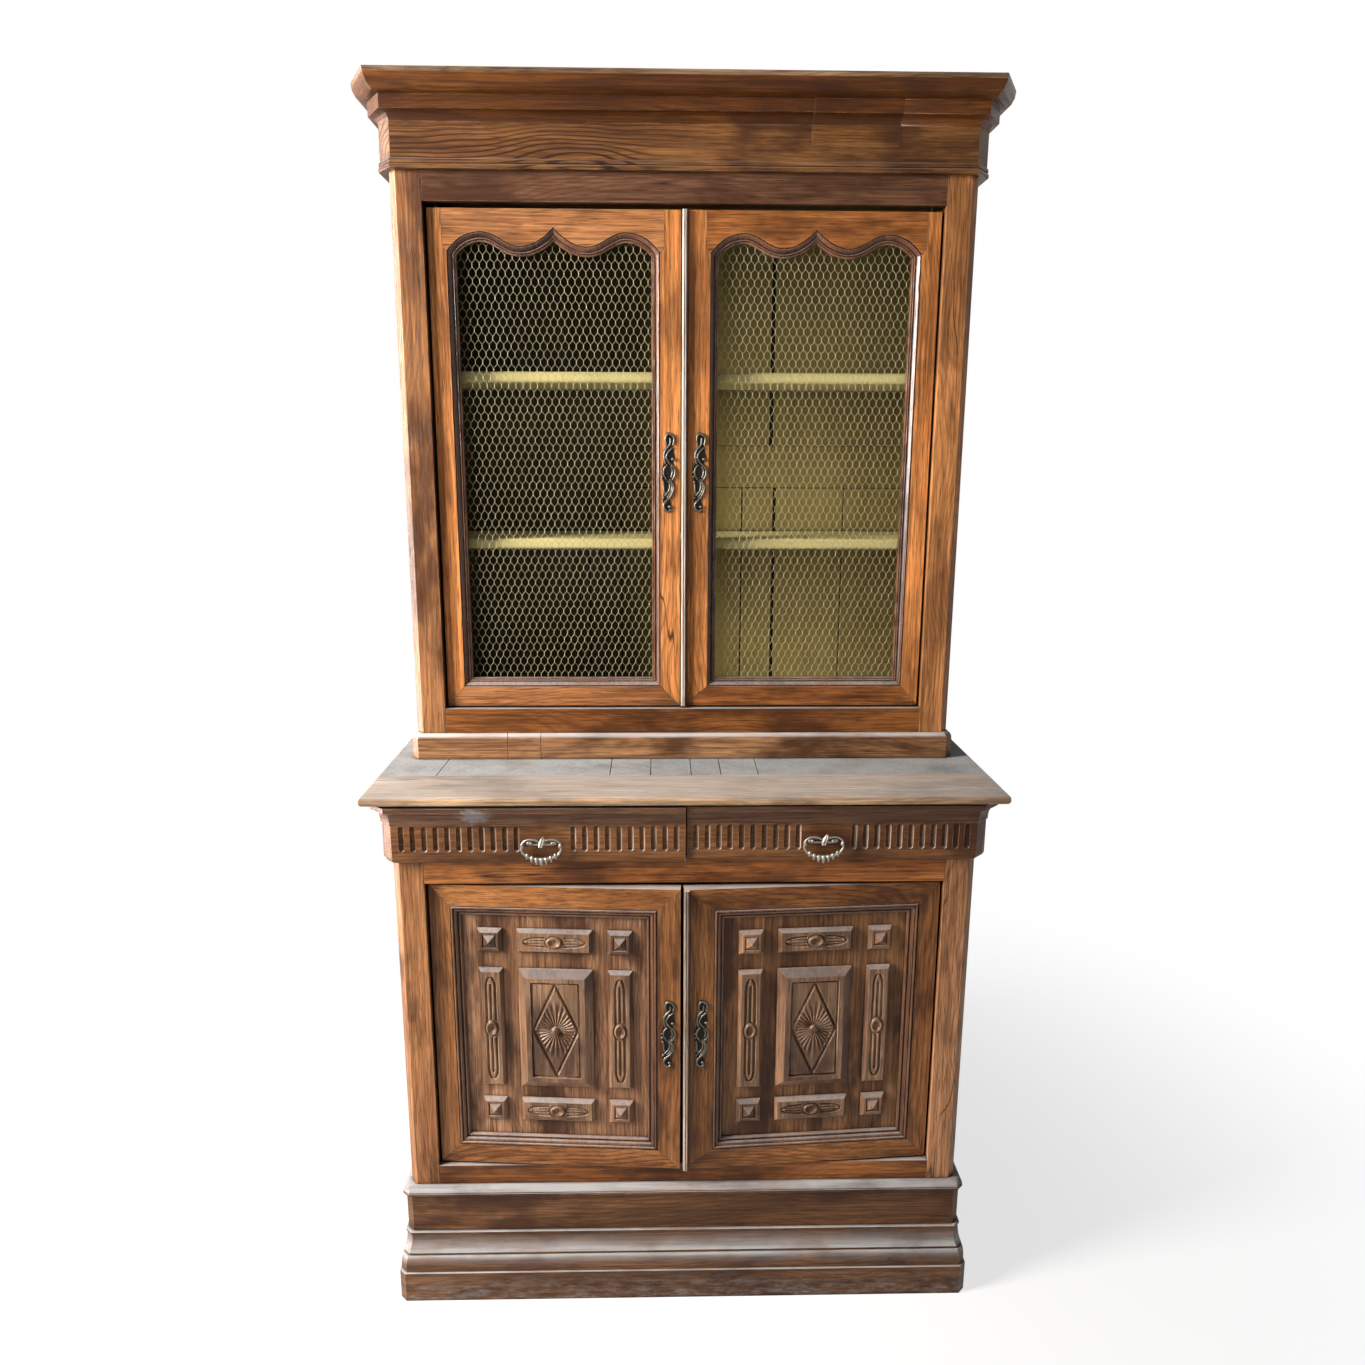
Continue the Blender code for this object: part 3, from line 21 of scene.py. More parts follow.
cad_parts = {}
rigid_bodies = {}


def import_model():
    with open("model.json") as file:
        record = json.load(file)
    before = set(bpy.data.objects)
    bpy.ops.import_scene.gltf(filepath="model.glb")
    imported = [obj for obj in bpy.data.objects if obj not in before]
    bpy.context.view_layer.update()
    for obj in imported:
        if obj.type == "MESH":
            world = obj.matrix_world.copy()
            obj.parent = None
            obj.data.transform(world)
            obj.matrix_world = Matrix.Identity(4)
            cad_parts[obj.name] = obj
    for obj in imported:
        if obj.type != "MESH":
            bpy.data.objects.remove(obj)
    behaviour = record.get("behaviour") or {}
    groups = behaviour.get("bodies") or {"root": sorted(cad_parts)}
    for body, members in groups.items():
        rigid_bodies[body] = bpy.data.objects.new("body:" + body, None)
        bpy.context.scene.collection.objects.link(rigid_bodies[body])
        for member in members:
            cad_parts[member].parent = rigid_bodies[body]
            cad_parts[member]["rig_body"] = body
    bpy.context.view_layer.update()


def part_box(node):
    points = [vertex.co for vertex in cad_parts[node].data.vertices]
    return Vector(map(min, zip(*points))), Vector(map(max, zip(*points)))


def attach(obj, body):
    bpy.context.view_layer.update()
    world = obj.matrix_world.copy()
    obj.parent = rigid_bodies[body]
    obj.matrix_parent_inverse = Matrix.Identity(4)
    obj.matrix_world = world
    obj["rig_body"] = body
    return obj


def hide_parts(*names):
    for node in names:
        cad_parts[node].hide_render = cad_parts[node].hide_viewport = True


LOG = logging.getLogger("cupboard")
Point2 = tuple[float, float]
Point3 = tuple[float, float, float]
Colour = tuple[float, float, float]
Socket = bpy.types.NodeSocket
Node = bpy.types.Node
Mesh = bpy.types.Mesh
Material = bpy.types.Material
BMesh = bmesh.types.BMesh
Titles = Sequence[tuple[str, str]]
SMEAR_GREY = (0.24, 0.238, 0.25)
# Brown of the painted shade that darkens the inside paint along set axes.
PAINTED_SHADE_BROWN = (0.022, 0.016, 0.007)
# Near-black of the painted shade and dirt in the paint's corners.
PAINT_SHADE_AND_GRIME = (0.03, 0.024, 0.010)
METAL_GRIME = (0.012, 0.010, 0.008)
CRACK_BLACK = (0.008, 0.004, 0.002)
MERGE = 0.00001
CANT_SLANT = math.tan(math.radians(22.5))


class GrainWay(Enum):
    """Which way the grain of a piece runs."""

    LEVEL = "level"
    UPRIGHT = "upright"
    ROUND_CASE = "round_case"


class Side(Enum):
    """A hand of the cupboard, seen from the front."""

    LEFT = -1
    RIGHT = 1

    @property
    def word(self) -> str:
        """The hand as it stands in piece names."""
        return self.name.lower()


@dataclass(frozen=True)
class CaseSizes:
    """Planes and levels that the dressed pieces share."""

    front: float = -0.22805
    upper_front: float = -0.01505
    back: float = 0.27195
    inner_back: float = 0.25965
    drawer_foot: float = 0.953
    frieze_top: float = 2.2901
    lower_half_face: float = 0.5425
    upper_half_face: float = 0.5337
    upper_inner_half: float = 0.5252
    clearance: float = 0.0003


CASE = CaseSizes()


# Meshes


def bezier(start: Point2, pull: Point2, push: Point2, end: Point2, steps: int) -> list[Point2]:
    """Points of a cubic curve, first point left out.

    Args:
        start: first end.
        pull: handle of the first end.
        push: handle of the last end.
        end: last end.
        steps: number of points.

    Returns:
        The points from just after start to end.
    """
    points = []
    for i in range(1, steps + 1):
        t = i / steps
        weights = ((1 - t) ** 3, 3 * t * (1 - t) ** 2, 3 * t * t * (1 - t), t ** 3)
        pairs = list(zip(weights, (start, pull, push, end)))
        points.append((sum(w * k[0] for w, k in pairs), sum(w * k[1] for w, k in pairs)))
    return points


def arc(start: Point2, end: Point2, upright_first: bool, steps: int = 8) -> list[Point2]:
    """Points of a quarter round in (out, height), first point left out.

    Args:
        start: first end.
        end: last end.
        upright_first: whether it leaves start upright.
        steps: number of points.

    Returns:
        The points after start.
    """
    points = []
    for i in range(1, steps + 1):
        turn = math.pi / 2 * i / steps
        early, late = math.sin(turn), 1 - math.cos(turn)
        across, up = (late, early) if upright_first else (early, late)
        points.append((start[0] + (end[0] - start[0]) * across, start[1] + (end[1] - start[1]) * up))
    return points


def inset(points: Sequence[Point2], distance: float) -> list[Point2]:
    """Move a counter-clockwise loop inwards with mitred corners.

    Args:
        points: the loop.
        distance: how far it moves.

    Returns:
        The moved loop.
    """
    moved = []
    count = len(points)
    for i, point in enumerate(points):
        before = Vector(point) - Vector(points[i - 1])
        after = Vector(points[(i + 1) % count]) - Vector(point)
        first = Vector((-before.y, before.x)).normalized()
        second = Vector((-after.y, after.x)).normalized()
        mitre = (first + second) / max(1 + first.dot(second), 0.2)
        moved.append((point[0] + distance * mitre.x, point[1] + distance * mitre.y))
    return moved


def inside(loop: Sequence[Point2], point: Point2) -> bool:
    """Whether a point lies inside a loop.

    Args:
        loop: closed outline.
        point: point that is tested.

    Returns:
        Whether it lies inside.
    """
    within = False
    for (x0, z0), (x1, z1) in zip(loop, [*loop[1:], loop[0]]):
        if (z0 > point[1]) != (z1 > point[1]) and point[0] < x0 + (point[1] - z0) * (x1 - x0) / (z1 - z0):
            within = not within
    return within


def bridge(shape: BMesh, first: Sequence, second: Sequence) -> list[bmesh.types.BMFace]:
    """Quads between two rings of vertices of equal length."""
    count = len(first)
    return [shape.faces.new((first[i], first[(i + 1) % count], second[(i + 1) % count], second[i]))
            for i in range(count)]


def ring(shape: BMesh, points: Iterable[Point2], depth: float) -> list[bmesh.types.BMVert]:
    """Vertices of an (x, z) loop in an upright plane."""
    return [shape.verts.new((x, depth, z)) for x, z in points]


def fill(shape: BMesh, loops: Sequence[Sequence[bmesh.types.BMVert]]) -> None:
    """Fill the flat region between an outer loop and the loops inside it.

    Args:
        shape: bmesh that takes the faces.
        loops: rings of its vertices.
    """
    edges = []
    for loop in loops:
        for i, vertex in enumerate(loop):
            pair = (vertex, loop[(i + 1) % len(loop)])
            edges.append(shape.edges.get(pair) or shape.edges.new(pair))
    bmesh.ops.triangle_fill(shape, use_beauty=True, edges=edges)


def add_loft(shape: BMesh, sections: Sequence[Sequence[Point3]]) -> None:
    """Skin a closed body through sections of equal length.

    Args:
        shape: bmesh that takes the body.
        sections: rings of points.
    """
    rows = [[shape.verts.new(point) for point in section] for section in sections]
    for lower, upper in zip(rows, rows[1:]):
        bridge(shape, lower, upper)
    shape.faces.new(rows[0])
    shape.faces.new(rows[-1])


def add_box(shape: BMesh, low: Point3, high: Point3) -> None:
    """Add a box between two corners.

    Args:
        shape: bmesh that takes the box.
        low: lowest corner.
        high: highest corner.
    """
    (x0, y0, z0), (x1, y1, z1) = low, high
    plan = [(x0, y0), (x1, y0), (x1, y1), (x0, y1)]
    add_loft(shape, [[(x, y, z) for x, y in plan] for z in (z0, z1)])


def add_tube(shape: BMesh, path: Sequence[Point3], radii: Sequence[float], sides: int = 8,
             flat: float = 1.0, closed: bool = False) -> None:
    """Sweep a round or flattened section along a path that lies about an upright plane.

    Args:
        shape: bmesh that takes the tube.
        path: points of the centre line.
        radii: half width at each point.
        sides: corners of the section.
        flat: depth of the section over its width.
        closed: whether the path is a ring.
    """
    count = len(path)
    rings = []
    for i, point in enumerate(path):
        before = Vector(path[i - 1] if closed or i else path[0])
        after = Vector(path[(i + 1) % count] if closed or i + 1 < count else path[-1])
        along = (after - before).normalized()
        across = along.cross(Vector((0.0, 1.0, 0.0))).normalized()
        outward = across.cross(along)
        row = []
        for k in range(sides):
            turn = 2 * math.pi * k / sides
            offset = across * math.cos(turn) * radii[i] + outward * math.sin(turn) * radii[i] * flat
            row.append(shape.verts.new(Vector(point) + offset))
        rings.append(row)
    for first, second in zip(rings, rings[1:]):
        bridge(shape, first, second)
    if closed:
        bridge(shape, rings[-1], rings[0])
    else:
        shape.faces.new(rings[0])
        shape.faces.new(rings[-1])


def add_turned(shape: BMesh, centre: Vector, axis: Vector, profile: Sequence[Point2],
               sides: int = 16) -> None:
    """Turn a (radius, height) profile about an axis; its ends are points or flat.

    Args:
        shape: bmesh that takes the body.
        centre: start of the axis.
        axis: its direction.
        profile: radius and height of each ring.
        sides: corners of a ring.
    """
    axis = axis.normalized()
    across = axis.orthogonal().normalized()
    other = axis.cross(across)
    sections = []
    for radius, height in profile:
        row = []
        for k in range(sides):
            turn = 2 * math.pi * k / sides
            spoke = across * math.cos(turn) + other * math.sin(turn)
            row.append(tuple(centre + axis * height + spoke * max(radius, MERGE)))
        sections.append(row)
    add_loft(shape, sections)


def ease_edges(shape: BMesh, width: float, sharpest: float = 28.0, joint: float | None = None) -> None:
    """Round the sharp edges of a closed shape.

    Args:
        shape: bmesh that is changed.
        width: width of the rounding.
        sharpest: angle in degrees over which an edge is rounded.
        joint: level of a tight joint, whose edges stay sharp.
    """
    bmesh.ops.remove_doubles(shape, verts=shape.verts[:], dist=MERGE)
    bmesh.ops.dissolve_limit(shape, angle_limit=math.radians(0.5), verts=shape.verts[:], edges=shape.edges[:])
    bmesh.ops.recalc_face_normals(shape, faces=shape.faces[:])
    limit = math.radians(sharpest)
    sharp = [edge for edge in shape.edges if edge.is_manifold and edge.calc_face_angle() > limit]
    if joint is not None:
        sharp = [edge for edge in sharp if max(abs(vertex.co.z - joint) for vertex in edge.verts) > 0.0010]
    bmesh.ops.bevel(shape, geom=sharp, offset=width, segments=2, profile=0.5, affect="EDGES",
                    clamp_overlap=True)


def to_mesh(shape: BMesh, name: str, soft: float = 40.0, place: Matrix | None = None) -> Mesh:
    """Close a bmesh into a mesh with outward faces and soft shading.

    Args:
        shape: bmesh, freed here.
        name: name of the mesh.
        soft: angle in degrees under which edges shade smoothly.
        place: where the piece stands, applied to its vertices.

    Returns:
        The mesh.
    """
    bmesh.ops.remove_doubles(shape, verts=shape.verts[:], dist=MERGE)
    bmesh.ops.recalc_face_normals(shape, faces=shape.faces[:])
    if place is not None:
        bmesh.ops.transform(shape, matrix=place, verts=shape.verts[:])
    mesh = bpy.data.meshes.new(name)
    shape.to_mesh(mesh)
    shape.free()
    mesh.shade_smooth()
    mesh.set_sharp_from_angle(angle=math.radians(soft))
    return mesh


def opened(mesh: Mesh) -> BMesh:
    """A bmesh of a mesh.

    Args:
        mesh: mesh, removed here.

    Returns:
        The bmesh.
    """
    shape = bmesh.new()
    shape.from_mesh(mesh)
    bpy.data.meshes.remove(mesh)
    return shape


def put(name: str, data: bpy.types.ID) -> bpy.types.Object:
    """A new object in the scene.

    Args:
        name: name of the object.
        data: its mesh, camera or lamp.

    Returns:
        The object.
    """
    made = bpy.data.objects.new(name, data)
    bpy.context.scene.collection.objects.link(made)
    return made


def weighed(mesh: Mesh) -> Mesh:
    """The mesh with normals that follow its large faces, so that flat boards shade flat.

    Args:
        mesh: mesh, removed here.

    Returns:
        The new mesh.
    """
    holder = put("normals", mesh)
    modifier = holder.modifiers.new("normals", "WEIGHTED_NORMAL")
    modifier.keep_sharp = True
    modifier.weight = 100
    graph = bpy.context.evaluated_depsgraph_get()
    result = bpy.data.meshes.new_from_object(holder.evaluated_get(graph))
    result.name = mesh.name
    bpy.data.objects.remove(holder)
    bpy.data.meshes.remove(mesh)
    return result


def add_piece(name: str, mesh: Mesh, materials: Sequence[Material], body: str,
              stands_for: Sequence[str] = ()) -> bpy.types.Object:
    """Put a mesh into the scene as a piece that rides on a body.

    Args:
        name: name of the piece.
        mesh: its mesh, already in place.
        materials: its material slots.
        body: the body it moves with.
        stands_for: solids that it replaces.

    Returns:
        The piece.
    """
    slots = [face.material_index for face in mesh.polygons]
    mesh.materials.clear()
    for material in materials:
        mesh.materials.append(material)
    mesh.polygons.foreach_set("material_index", slots)
    mesh = weighed(mesh)
    piece = put(name, mesh)
    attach(piece, body)
    if stands_for:
        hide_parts(*stands_for)
    LOG.info("%s: %d faces on %s", name, len(mesh.polygons), body)
    return piece


def boolean_mesh(mesh: Mesh, cutter: Mesh, operation: str) -> Mesh:
    """Cut one closed mesh by another.

    Args:
        mesh: mesh that is cut.
        cutter: mesh that cuts; its data is removed.
        operation: INTERSECT or DIFFERENCE.

    Returns:
        The new mesh.
    """
    target, tool = put("cut_target", mesh), put("cut_tool", cutter)
    modifier = target.modifiers.new("cut", "BOOLEAN")
    modifier.operation = operation
    modifier.solver = "EXACT"
    modifier.object = tool
    graph = bpy.context.evaluated_depsgraph_get()
    result = bpy.data.meshes.new_from_object(target.evaluated_get(graph))
    for item in (target, tool):
        bpy.data.objects.remove(item)
    bpy.data.meshes.remove(cutter)
    return result


def prism_mesh(outline: Sequence[Point2], low: float, high: float, lying: bool = False) -> Mesh:
    """A prism over an (x, z) outline between two depths, or over an (x, y) outline between two heights.

    Args:
        outline: its plan.
        low: where it starts.
        high: where it ends.
        lying: whether its plan is level.

    Returns:
        The prism.
    """
    shape = bmesh.new()
    if lying:
        sections = [[(x, y, level) for x, y in outline] for level in (low, high)]
    else:
        sections = [[(x, level, z) for x, z in outline] for level in (low, high)]
    add_loft(shape, sections)
    return to_mesh(shape, "prism")


def cut_member(source: Mesh, prism: Mesh, ease: float) -> BMesh:
    """One member of a joined piece: the part of it inside a prism, with eased edges.

    Args:
        source: the joined piece.
        prism: room of the member, removed here.
        ease: width of its eased edges.

    Returns:
        The member.
    """
    shape = opened(boolean_mesh(source.copy(), prism, "INTERSECT"))
    if ease:
        ease_edges(shape, ease)
    return shape


# Node trees


class NodeTree:
    """Adds and joins the nodes of one tree."""

    def __init__(self, tree: bpy.types.NodeTree) -> None:
        """Keep the tree."""
        self.tree = tree

    def node(self, kind: str, **settings: object) -> Node:
        """Add a node and set its properties.

        Args:
            kind: type of the node.
            settings: its properties.

        Returns:
            The node.
        """
        made = self.tree.nodes.new(kind)
        for key, value in settings.items():
            setattr(made, key, value)
        return made

    def feed(self, socket: Socket, value: object) -> None:
        """Join a socket to another, or set its value.

        Args:
            socket: the input.
            value: an output or a plain value.
        """
        if isinstance(value, bpy.types.NodeSocket):
            self.tree.links.new(value, socket)
        else:
            socket.default_value = value

    def here(self) -> Socket:
        """Object coordinates."""
        return self.node("ShaderNodeTexCoord").outputs["Object"]

    def parts(self, vector: Socket) -> bpy.types.NodeOutputs:
        """The three parts of a vector.

        Args:
            vector: the vector.

        Returns:
            Its X, Y and Z sockets.
        """
        made = self.node("ShaderNodeSeparateXYZ")
        self.feed(made.inputs[0], vector)
        return made.outputs

    def number(self, operation: str, *values: object, clamp: bool = False) -> Socket:
        """A Math node.

        Args:
            operation: what it works out.
            values: its inputs.
            clamp: whether it stays between 0 and 1.

        Returns:
            The result.
        """
        made = self.node("ShaderNodeMath", operation=operation, use_clamp=clamp)
        for socket, value in zip(made.inputs, values):
            self.feed(socket, value)
        return made.outputs[0]

    def times(self, first: object, second: object) -> Socket:
        """A Math node that multiplies."""
        return self.number("MULTIPLY", first, second)

    def vector(self, operation: str, *values: object) -> Socket:
        """A Vector Math node.

        Args:
            operation: what it works out.
            values: its inputs.

        Returns:
            The result.
        """
        made = self.node("ShaderNodeVectorMath", operation=operation)
        for socket, value in zip(made.inputs, values):
            self.feed(socket, value)
        return made.outputs["Value" if operation in ("DOT_PRODUCT", "LENGTH") else "Vector"]

    def blend(self, share: object, first: object, second: object, mode: str = "MIX") -> Socket:
        """A Mix node for colours.

        Args:
            share: weight of the second colour.
            first: first colour.
            second: second colour.
            mode: way of mixing.

        Returns:
            The mixed colour.
        """
        made = self.node("ShaderNodeMix", data_type="RGBA", blend_type=mode)
        for socket, value in zip((made.inputs[0], made.inputs[6], made.inputs[7]), (share, first, second)):
            self.feed(socket, (*value, 1.0) if isinstance(value, tuple) and len(value) == 3 else value)
        return made.outputs[2]

    def span(self, value: object, low: object, high: object, to_low: float = 0.0,
             to_high: float = 1.0) -> Socket:
        """A smooth Map Range node.

        Args:
            value: what is mapped.
            low: start of its range.
            high: end of its range.
            to_low: result at the start.
            to_high: result at the end.

        Returns:
            The mapped value.
        """
        made = self.node("ShaderNodeMapRange", interpolation_type="SMOOTHSTEP")
        for socket, given in zip(made.inputs, (value, low, high, to_low, to_high)):
            self.feed(socket, given)
        return made.outputs[0]

    def noise(self, where: Socket, stretch: Point3, detail: float = 2.0, rough: float = 0.5) -> Socket:
        """Noise over stretched coordinates.

        Args:
            where: coordinates.
            stretch: scale along each axis.
            detail: fineness.
            rough: weight of the fine parts.

        Returns:
            The noise.
        """
        made = self.node("ShaderNodeTexNoise")
        self.feed(made.inputs["Vector"], self.vector("MULTIPLY", where, stretch))
        made.inputs["Scale"].default_value = 1.0
        made.inputs["Detail"].default_value = detail
        made.inputs["Roughness"].default_value = rough
        return made.outputs[0]

    def roughen(self, shader: Node, height: Socket, strength: float, depth: float) -> None:
        """Let a height stand out of a shader's surface.

        Args:
            shader: the shader.
            height: the height.
            strength: how strongly it shows.
            depth: its full depth in metres.
        """
        bump = self.node("ShaderNodeBump")
        bump.inputs["Strength"].default_value = strength
        bump.inputs["Distance"].default_value = depth
        self.feed(bump.inputs["Height"], height)
        self.feed(shader.inputs["Normal"], bump.outputs[0])


class GeometryTree(NodeTree):
    """A Geometry Nodes tree with named inputs."""

    def __init__(self, name: str, inputs: Sequence[tuple[str, str, object]]) -> None:
        """Make the tree, its sockets and its ends.

        Args:
            name: name of the tree.
            inputs: name, socket type and value of each input.
        """
        super().__init__(bpy.data.node_groups.new(name, "GeometryNodeTree"))
        face = self.tree.interface
        face.new_socket("Geometry", in_out="INPUT", socket_type="NodeSocketGeometry")
        self.identifiers: dict[str, str] = {}
        for title, kind, value in inputs:
            made = face.new_socket(title, in_out="INPUT", socket_type=kind)
            self.identifiers[title] = made.identifier
            if value is not None:
                made.default_value = value
        face.new_socket("Geometry", in_out="OUTPUT", socket_type="NodeSocketGeometry")
        self.start = self.node("NodeGroupInput").outputs
        self.end = self.node("NodeGroupOutput").inputs[0]

    def close(self, geometry: Socket) -> None:
        """End the tree in real geometry with its material.

        Args:
            geometry: what the tree has made.
        """
        real = self.node("GeometryNodeRealizeInstances")
        self.feed(real.inputs[0], geometry)
        painted = self.node("GeometryNodeSetMaterial")
        self.feed(painted.inputs["Geometry"], real.outputs[0])
        self.feed(painted.inputs["Material"], self.start["Material"])
        self.feed(self.end, painted.outputs[0])

    def make(self, values: dict[str, object]) -> Mesh:
        """Run the tree on an empty mesh.

        Args:
            values: value of each named input that differs from its default.

        Returns:
            A plain mesh.
        """
        carrier = put("tree_carrier", bpy.data.meshes.new("tree_carrier"))
        modifier = carrier.modifiers.new("tree", "NODES")
        modifier.node_group = self.tree
        for title, value in values.items():
            modifier[self.identifiers[title]] = value
        graph = bpy.context.evaluated_depsgraph_get()
        mesh = bpy.data.meshes.new_from_object(carrier.evaluated_get(graph))
        carrier.modifiers.clear()
        bpy.data.objects.remove(carrier)
        return mesh


def lattice_tree(name: str) -> GeometryTree:
    """A tree that sets a unit mesh on an upright lattice and lets the result waver a little.

    Args:
        name: name of the tree.

    Returns:
        The tree.
    """
    tree = GeometryTree(name, [
        ("Unit", "NodeSocketObject", None), ("Material", "NodeSocketMaterial", None),
        ("Width", "NodeSocketFloat", 0.1), ("Height", "NodeSocketFloat", 0.1),
        ("Columns", "NodeSocketInt", 2), ("Rows", "NodeSocketInt", 2),
        ("Place", "NodeSocketVector", None), ("Waver", "NodeSocketFloat", 0.0),
        ("Seed", "NodeSocketFloat", 1.0)])
    grid = tree.node("GeometryNodeMeshGrid")
    for title, source in (("Size X", "Width"), ("Size Y", "Height"), ("Vertices X", "Columns"),
                          ("Vertices Y", "Rows")):
        tree.feed(grid.inputs[title], tree.start[source])
    upright = tree.node("GeometryNodeTransform")
    tree.feed(upright.inputs["Geometry"], grid.outputs["Mesh"])
    upright.inputs["Rotation"].default_value = (math.pi / 2, 0.0, 0.0)
    tree.feed(upright.inputs["Translation"], tree.start["Place"])
    unit = tree.node("GeometryNodeObjectInfo")
    tree.feed(unit.inputs["Object"], tree.start["Unit"])
    spread = tree.node("GeometryNodeInstanceOnPoints")
    tree.feed(spread.inputs["Points"], upright.outputs["Geometry"])
    tree.feed(spread.inputs["Instance"], unit.outputs["Geometry"])
    real = tree.node("GeometryNodeRealizeInstances")
    tree.feed(real.inputs[0], spread.outputs["Instances"])
    noise = tree.node("ShaderNodeTexNoise", noise_dimensions="4D")
    tree.feed(noise.inputs["W"], tree.start["Seed"])
    noise.inputs["Scale"].default_value = 22.0
    centred = tree.vector("SUBTRACT", noise.outputs["Color"], (0.5, 0.5, 0.5))
    scale = tree.node("ShaderNodeVectorMath", operation="SCALE")
    tree.feed(scale.inputs[0], centred)
    tree.feed(scale.inputs["Scale"], tree.start["Waver"])
    shift = tree.node("GeometryNodeSetPosition")
    tree.feed(shift.inputs["Geometry"], real.outputs[0])
    tree.feed(shift.inputs["Offset"], scale.outputs[0])
    tree.close(shift.outputs[0])
    return tree


# Finishes


class ShaderGroup(NodeTree):
    """A shader node group with named sockets."""

    def __init__(self, name: str, inputs: Titles, outputs: Titles) -> None:
        """Make the group, its sockets and its ends.

        Args:
            name: name of the group.
            inputs: title and kind of each input.
            outputs: title and kind of each output.
        """
        super().__init__(bpy.data.node_groups.new(name, "ShaderNodeTree"))
        for titles, way in ((inputs, "INPUT"), (outputs, "OUTPUT")):
            for title, kind in titles:
                self.tree.interface.new_socket(title, in_out=way, socket_type="NodeSocket" + kind)
        self.start = self.node("NodeGroupInput").outputs
        self.end = self.node("NodeGroupOutput").inputs


def grain_group() -> ShaderGroup:
    """Oak grain along the vector's X: tone, fibres, figure, pores, stains and drying cracks.

    Returns:
        The group.
    """
    group = ShaderGroup(
        "oak_grain", [("Vector", "Vector"), ("Dark", "Color"), ("Middle", "Color"), ("Light", "Color"),
                      ("Figure", "Float"), ("Stain", "Float")],
        [("Colour", "Color"), ("Height", "Float"), ("Pores", "Float")])
    where = group.start["Vector"]
    tone = group.span(group.noise(where, (1.3, 8.0, 8.0), 4.0, 0.6), 0.38, 0.62)
    bands = group.span(group.noise(where, (1.8, 46.0, 46.0), 3.0, 0.6), 0.32, 0.68)
    fibres = group.noise(where, (7.0, 260.0, 260.0), 3.0, 0.7)
    parts = group.parts(where)
    across = group.number("ADD", parts[1], parts[2])
    wander = group.noise(where, (2.4, 7.0, 7.0), 1.5)
    phase = group.number("MULTIPLY_ADD", across, 640.0, group.times(wander, 110.0))
    rings = group.span(group.number("SINE", phase), 0.1, 1.0)
    figured = group.span(group.noise(where, (1.5, 4.0, 4.0), 1.0), 0.4, 0.6)
    lines = group.times(group.times(rings, figured), group.start["Figure"])
    pores = group.span(group.noise(where, (20.0, 480.0, 480.0), 2.0, 0.6), 0.54, 0.68)
    stains = group.span(group.noise(where, (2.8, 7.0, 7.0), 4.0, 0.65), 0.45, 0.61)
    seam = group.number("ABSOLUTE", group.number("SUBTRACT", group.noise(where, (0.9, 15.0, 15.0), 2.0), 0.5))
    cracked = group.span(group.noise(where, (2.1, 3.3, 3.3), 1.0), 0.57, 0.63)
    cracks = group.times(group.span(seam, 0.0, 0.0045, 1.0, 0.0), cracked)
    mixed = group.number("ADD", group.times(tone, 0.6), group.times(bands, 0.4))
    colour = group.blend(mixed, group.start["Middle"], group.start["Light"])
    colour = group.blend(1.0, colour, group.span(fibres, 0.3, 0.7, 0.55, 1.38), "MULTIPLY")
    colour = group.blend(lines, colour, group.start["Dark"])
    colour = group.blend(group.times(stains, group.start["Stain"]), colour, group.start["Dark"])
    colour = group.blend(group.times(pores, 0.6), colour, group.start["Dark"])
    colour = group.blend(group.times(cracks, 0.9), colour, CRACK_BLACK)
    worked = group.number("SUBTRACT", group.times(fibres, 0.5), pores)
    group.feed(group.end["Colour"], colour)
    group.feed(group.end["Height"], group.number("SUBTRACT", worked, group.times(cracks, 2.0)))
    group.feed(group.end["Pores"], pores)
    return group


def dust_group() -> ShaderGroup:
    """Dust on the faces that look up.

    Returns:
        The group.
    """
    titles = [("Vector", "Vector"), ("Amount", "Float"), ("Start", "Float"), ("Full", "Float")]
    group = ShaderGroup("dust", titles, [("Mask", "Float")])
    facing = group.parts(group.node("ShaderNodeNewGeometry").outputs["Normal"])
    upward = group.span(facing[2], group.start["Start"], group.start["Full"])
    patches = group.span(group.noise(group.start["Vector"], (9.0, 14.0, 14.0), 4.0, 0.6), 0.3, 0.6, 0.6, 1.0)
    streaks = group.span(group.noise(group.start["Vector"], (6.0, 130.0, 130.0), 2.0), 0.3, 0.6, 0.7, 1.0)
    laid = group.times(group.times(upward, patches), streaks)
    group.feed(group.end["Mask"], group.times(laid, group.start["Amount"]))
    return group


def age_group() -> ShaderGroup:
    """A mask of the recesses from ambient occlusion, and wear along the edges. Wood and paint darken by the
    mask as painted shade with grime, metal as patina.

    Returns:
        The group.
    """
    group = ShaderGroup("age", [("Vector", "Vector"), ("Reach", "Float"), ("Edge", "Float")],
                        [("Grime", "Float"), ("Wear", "Float")])
    hollow = group.node("ShaderNodeAmbientOcclusion", samples=6)
    group.feed(hollow.inputs["Distance"], group.start["Reach"])
    # Recess mask from ambient occlusion: wood and paint darken by it as painted shade with grime, metal as
    # patina.
    grime = group.span(hollow.outputs["AO"], 0.25, 0.85, 1.0, 0.0)
    rounded = group.node("ShaderNodeBevel", samples=4)
    group.feed(rounded.inputs["Radius"], group.start["Edge"])
    flat = group.node("ShaderNodeNewGeometry").outputs["Normal"]
    turn = group.vector("DOT_PRODUCT", rounded.outputs[0], flat)
    edge = group.span(turn, 0.82, 0.99, 1.0, 0.0)
    patches = group.span(group.noise(group.start["Vector"], (30.0, 30.0, 30.0), 3.0), 0.38, 0.62)
    open_edge = group.times(edge, group.span(hollow.outputs["AO"], 0.5, 0.9))
    group.feed(group.end["Grime"], grime)
    group.feed(group.end["Wear"], group.times(open_edge, patches))
    return group


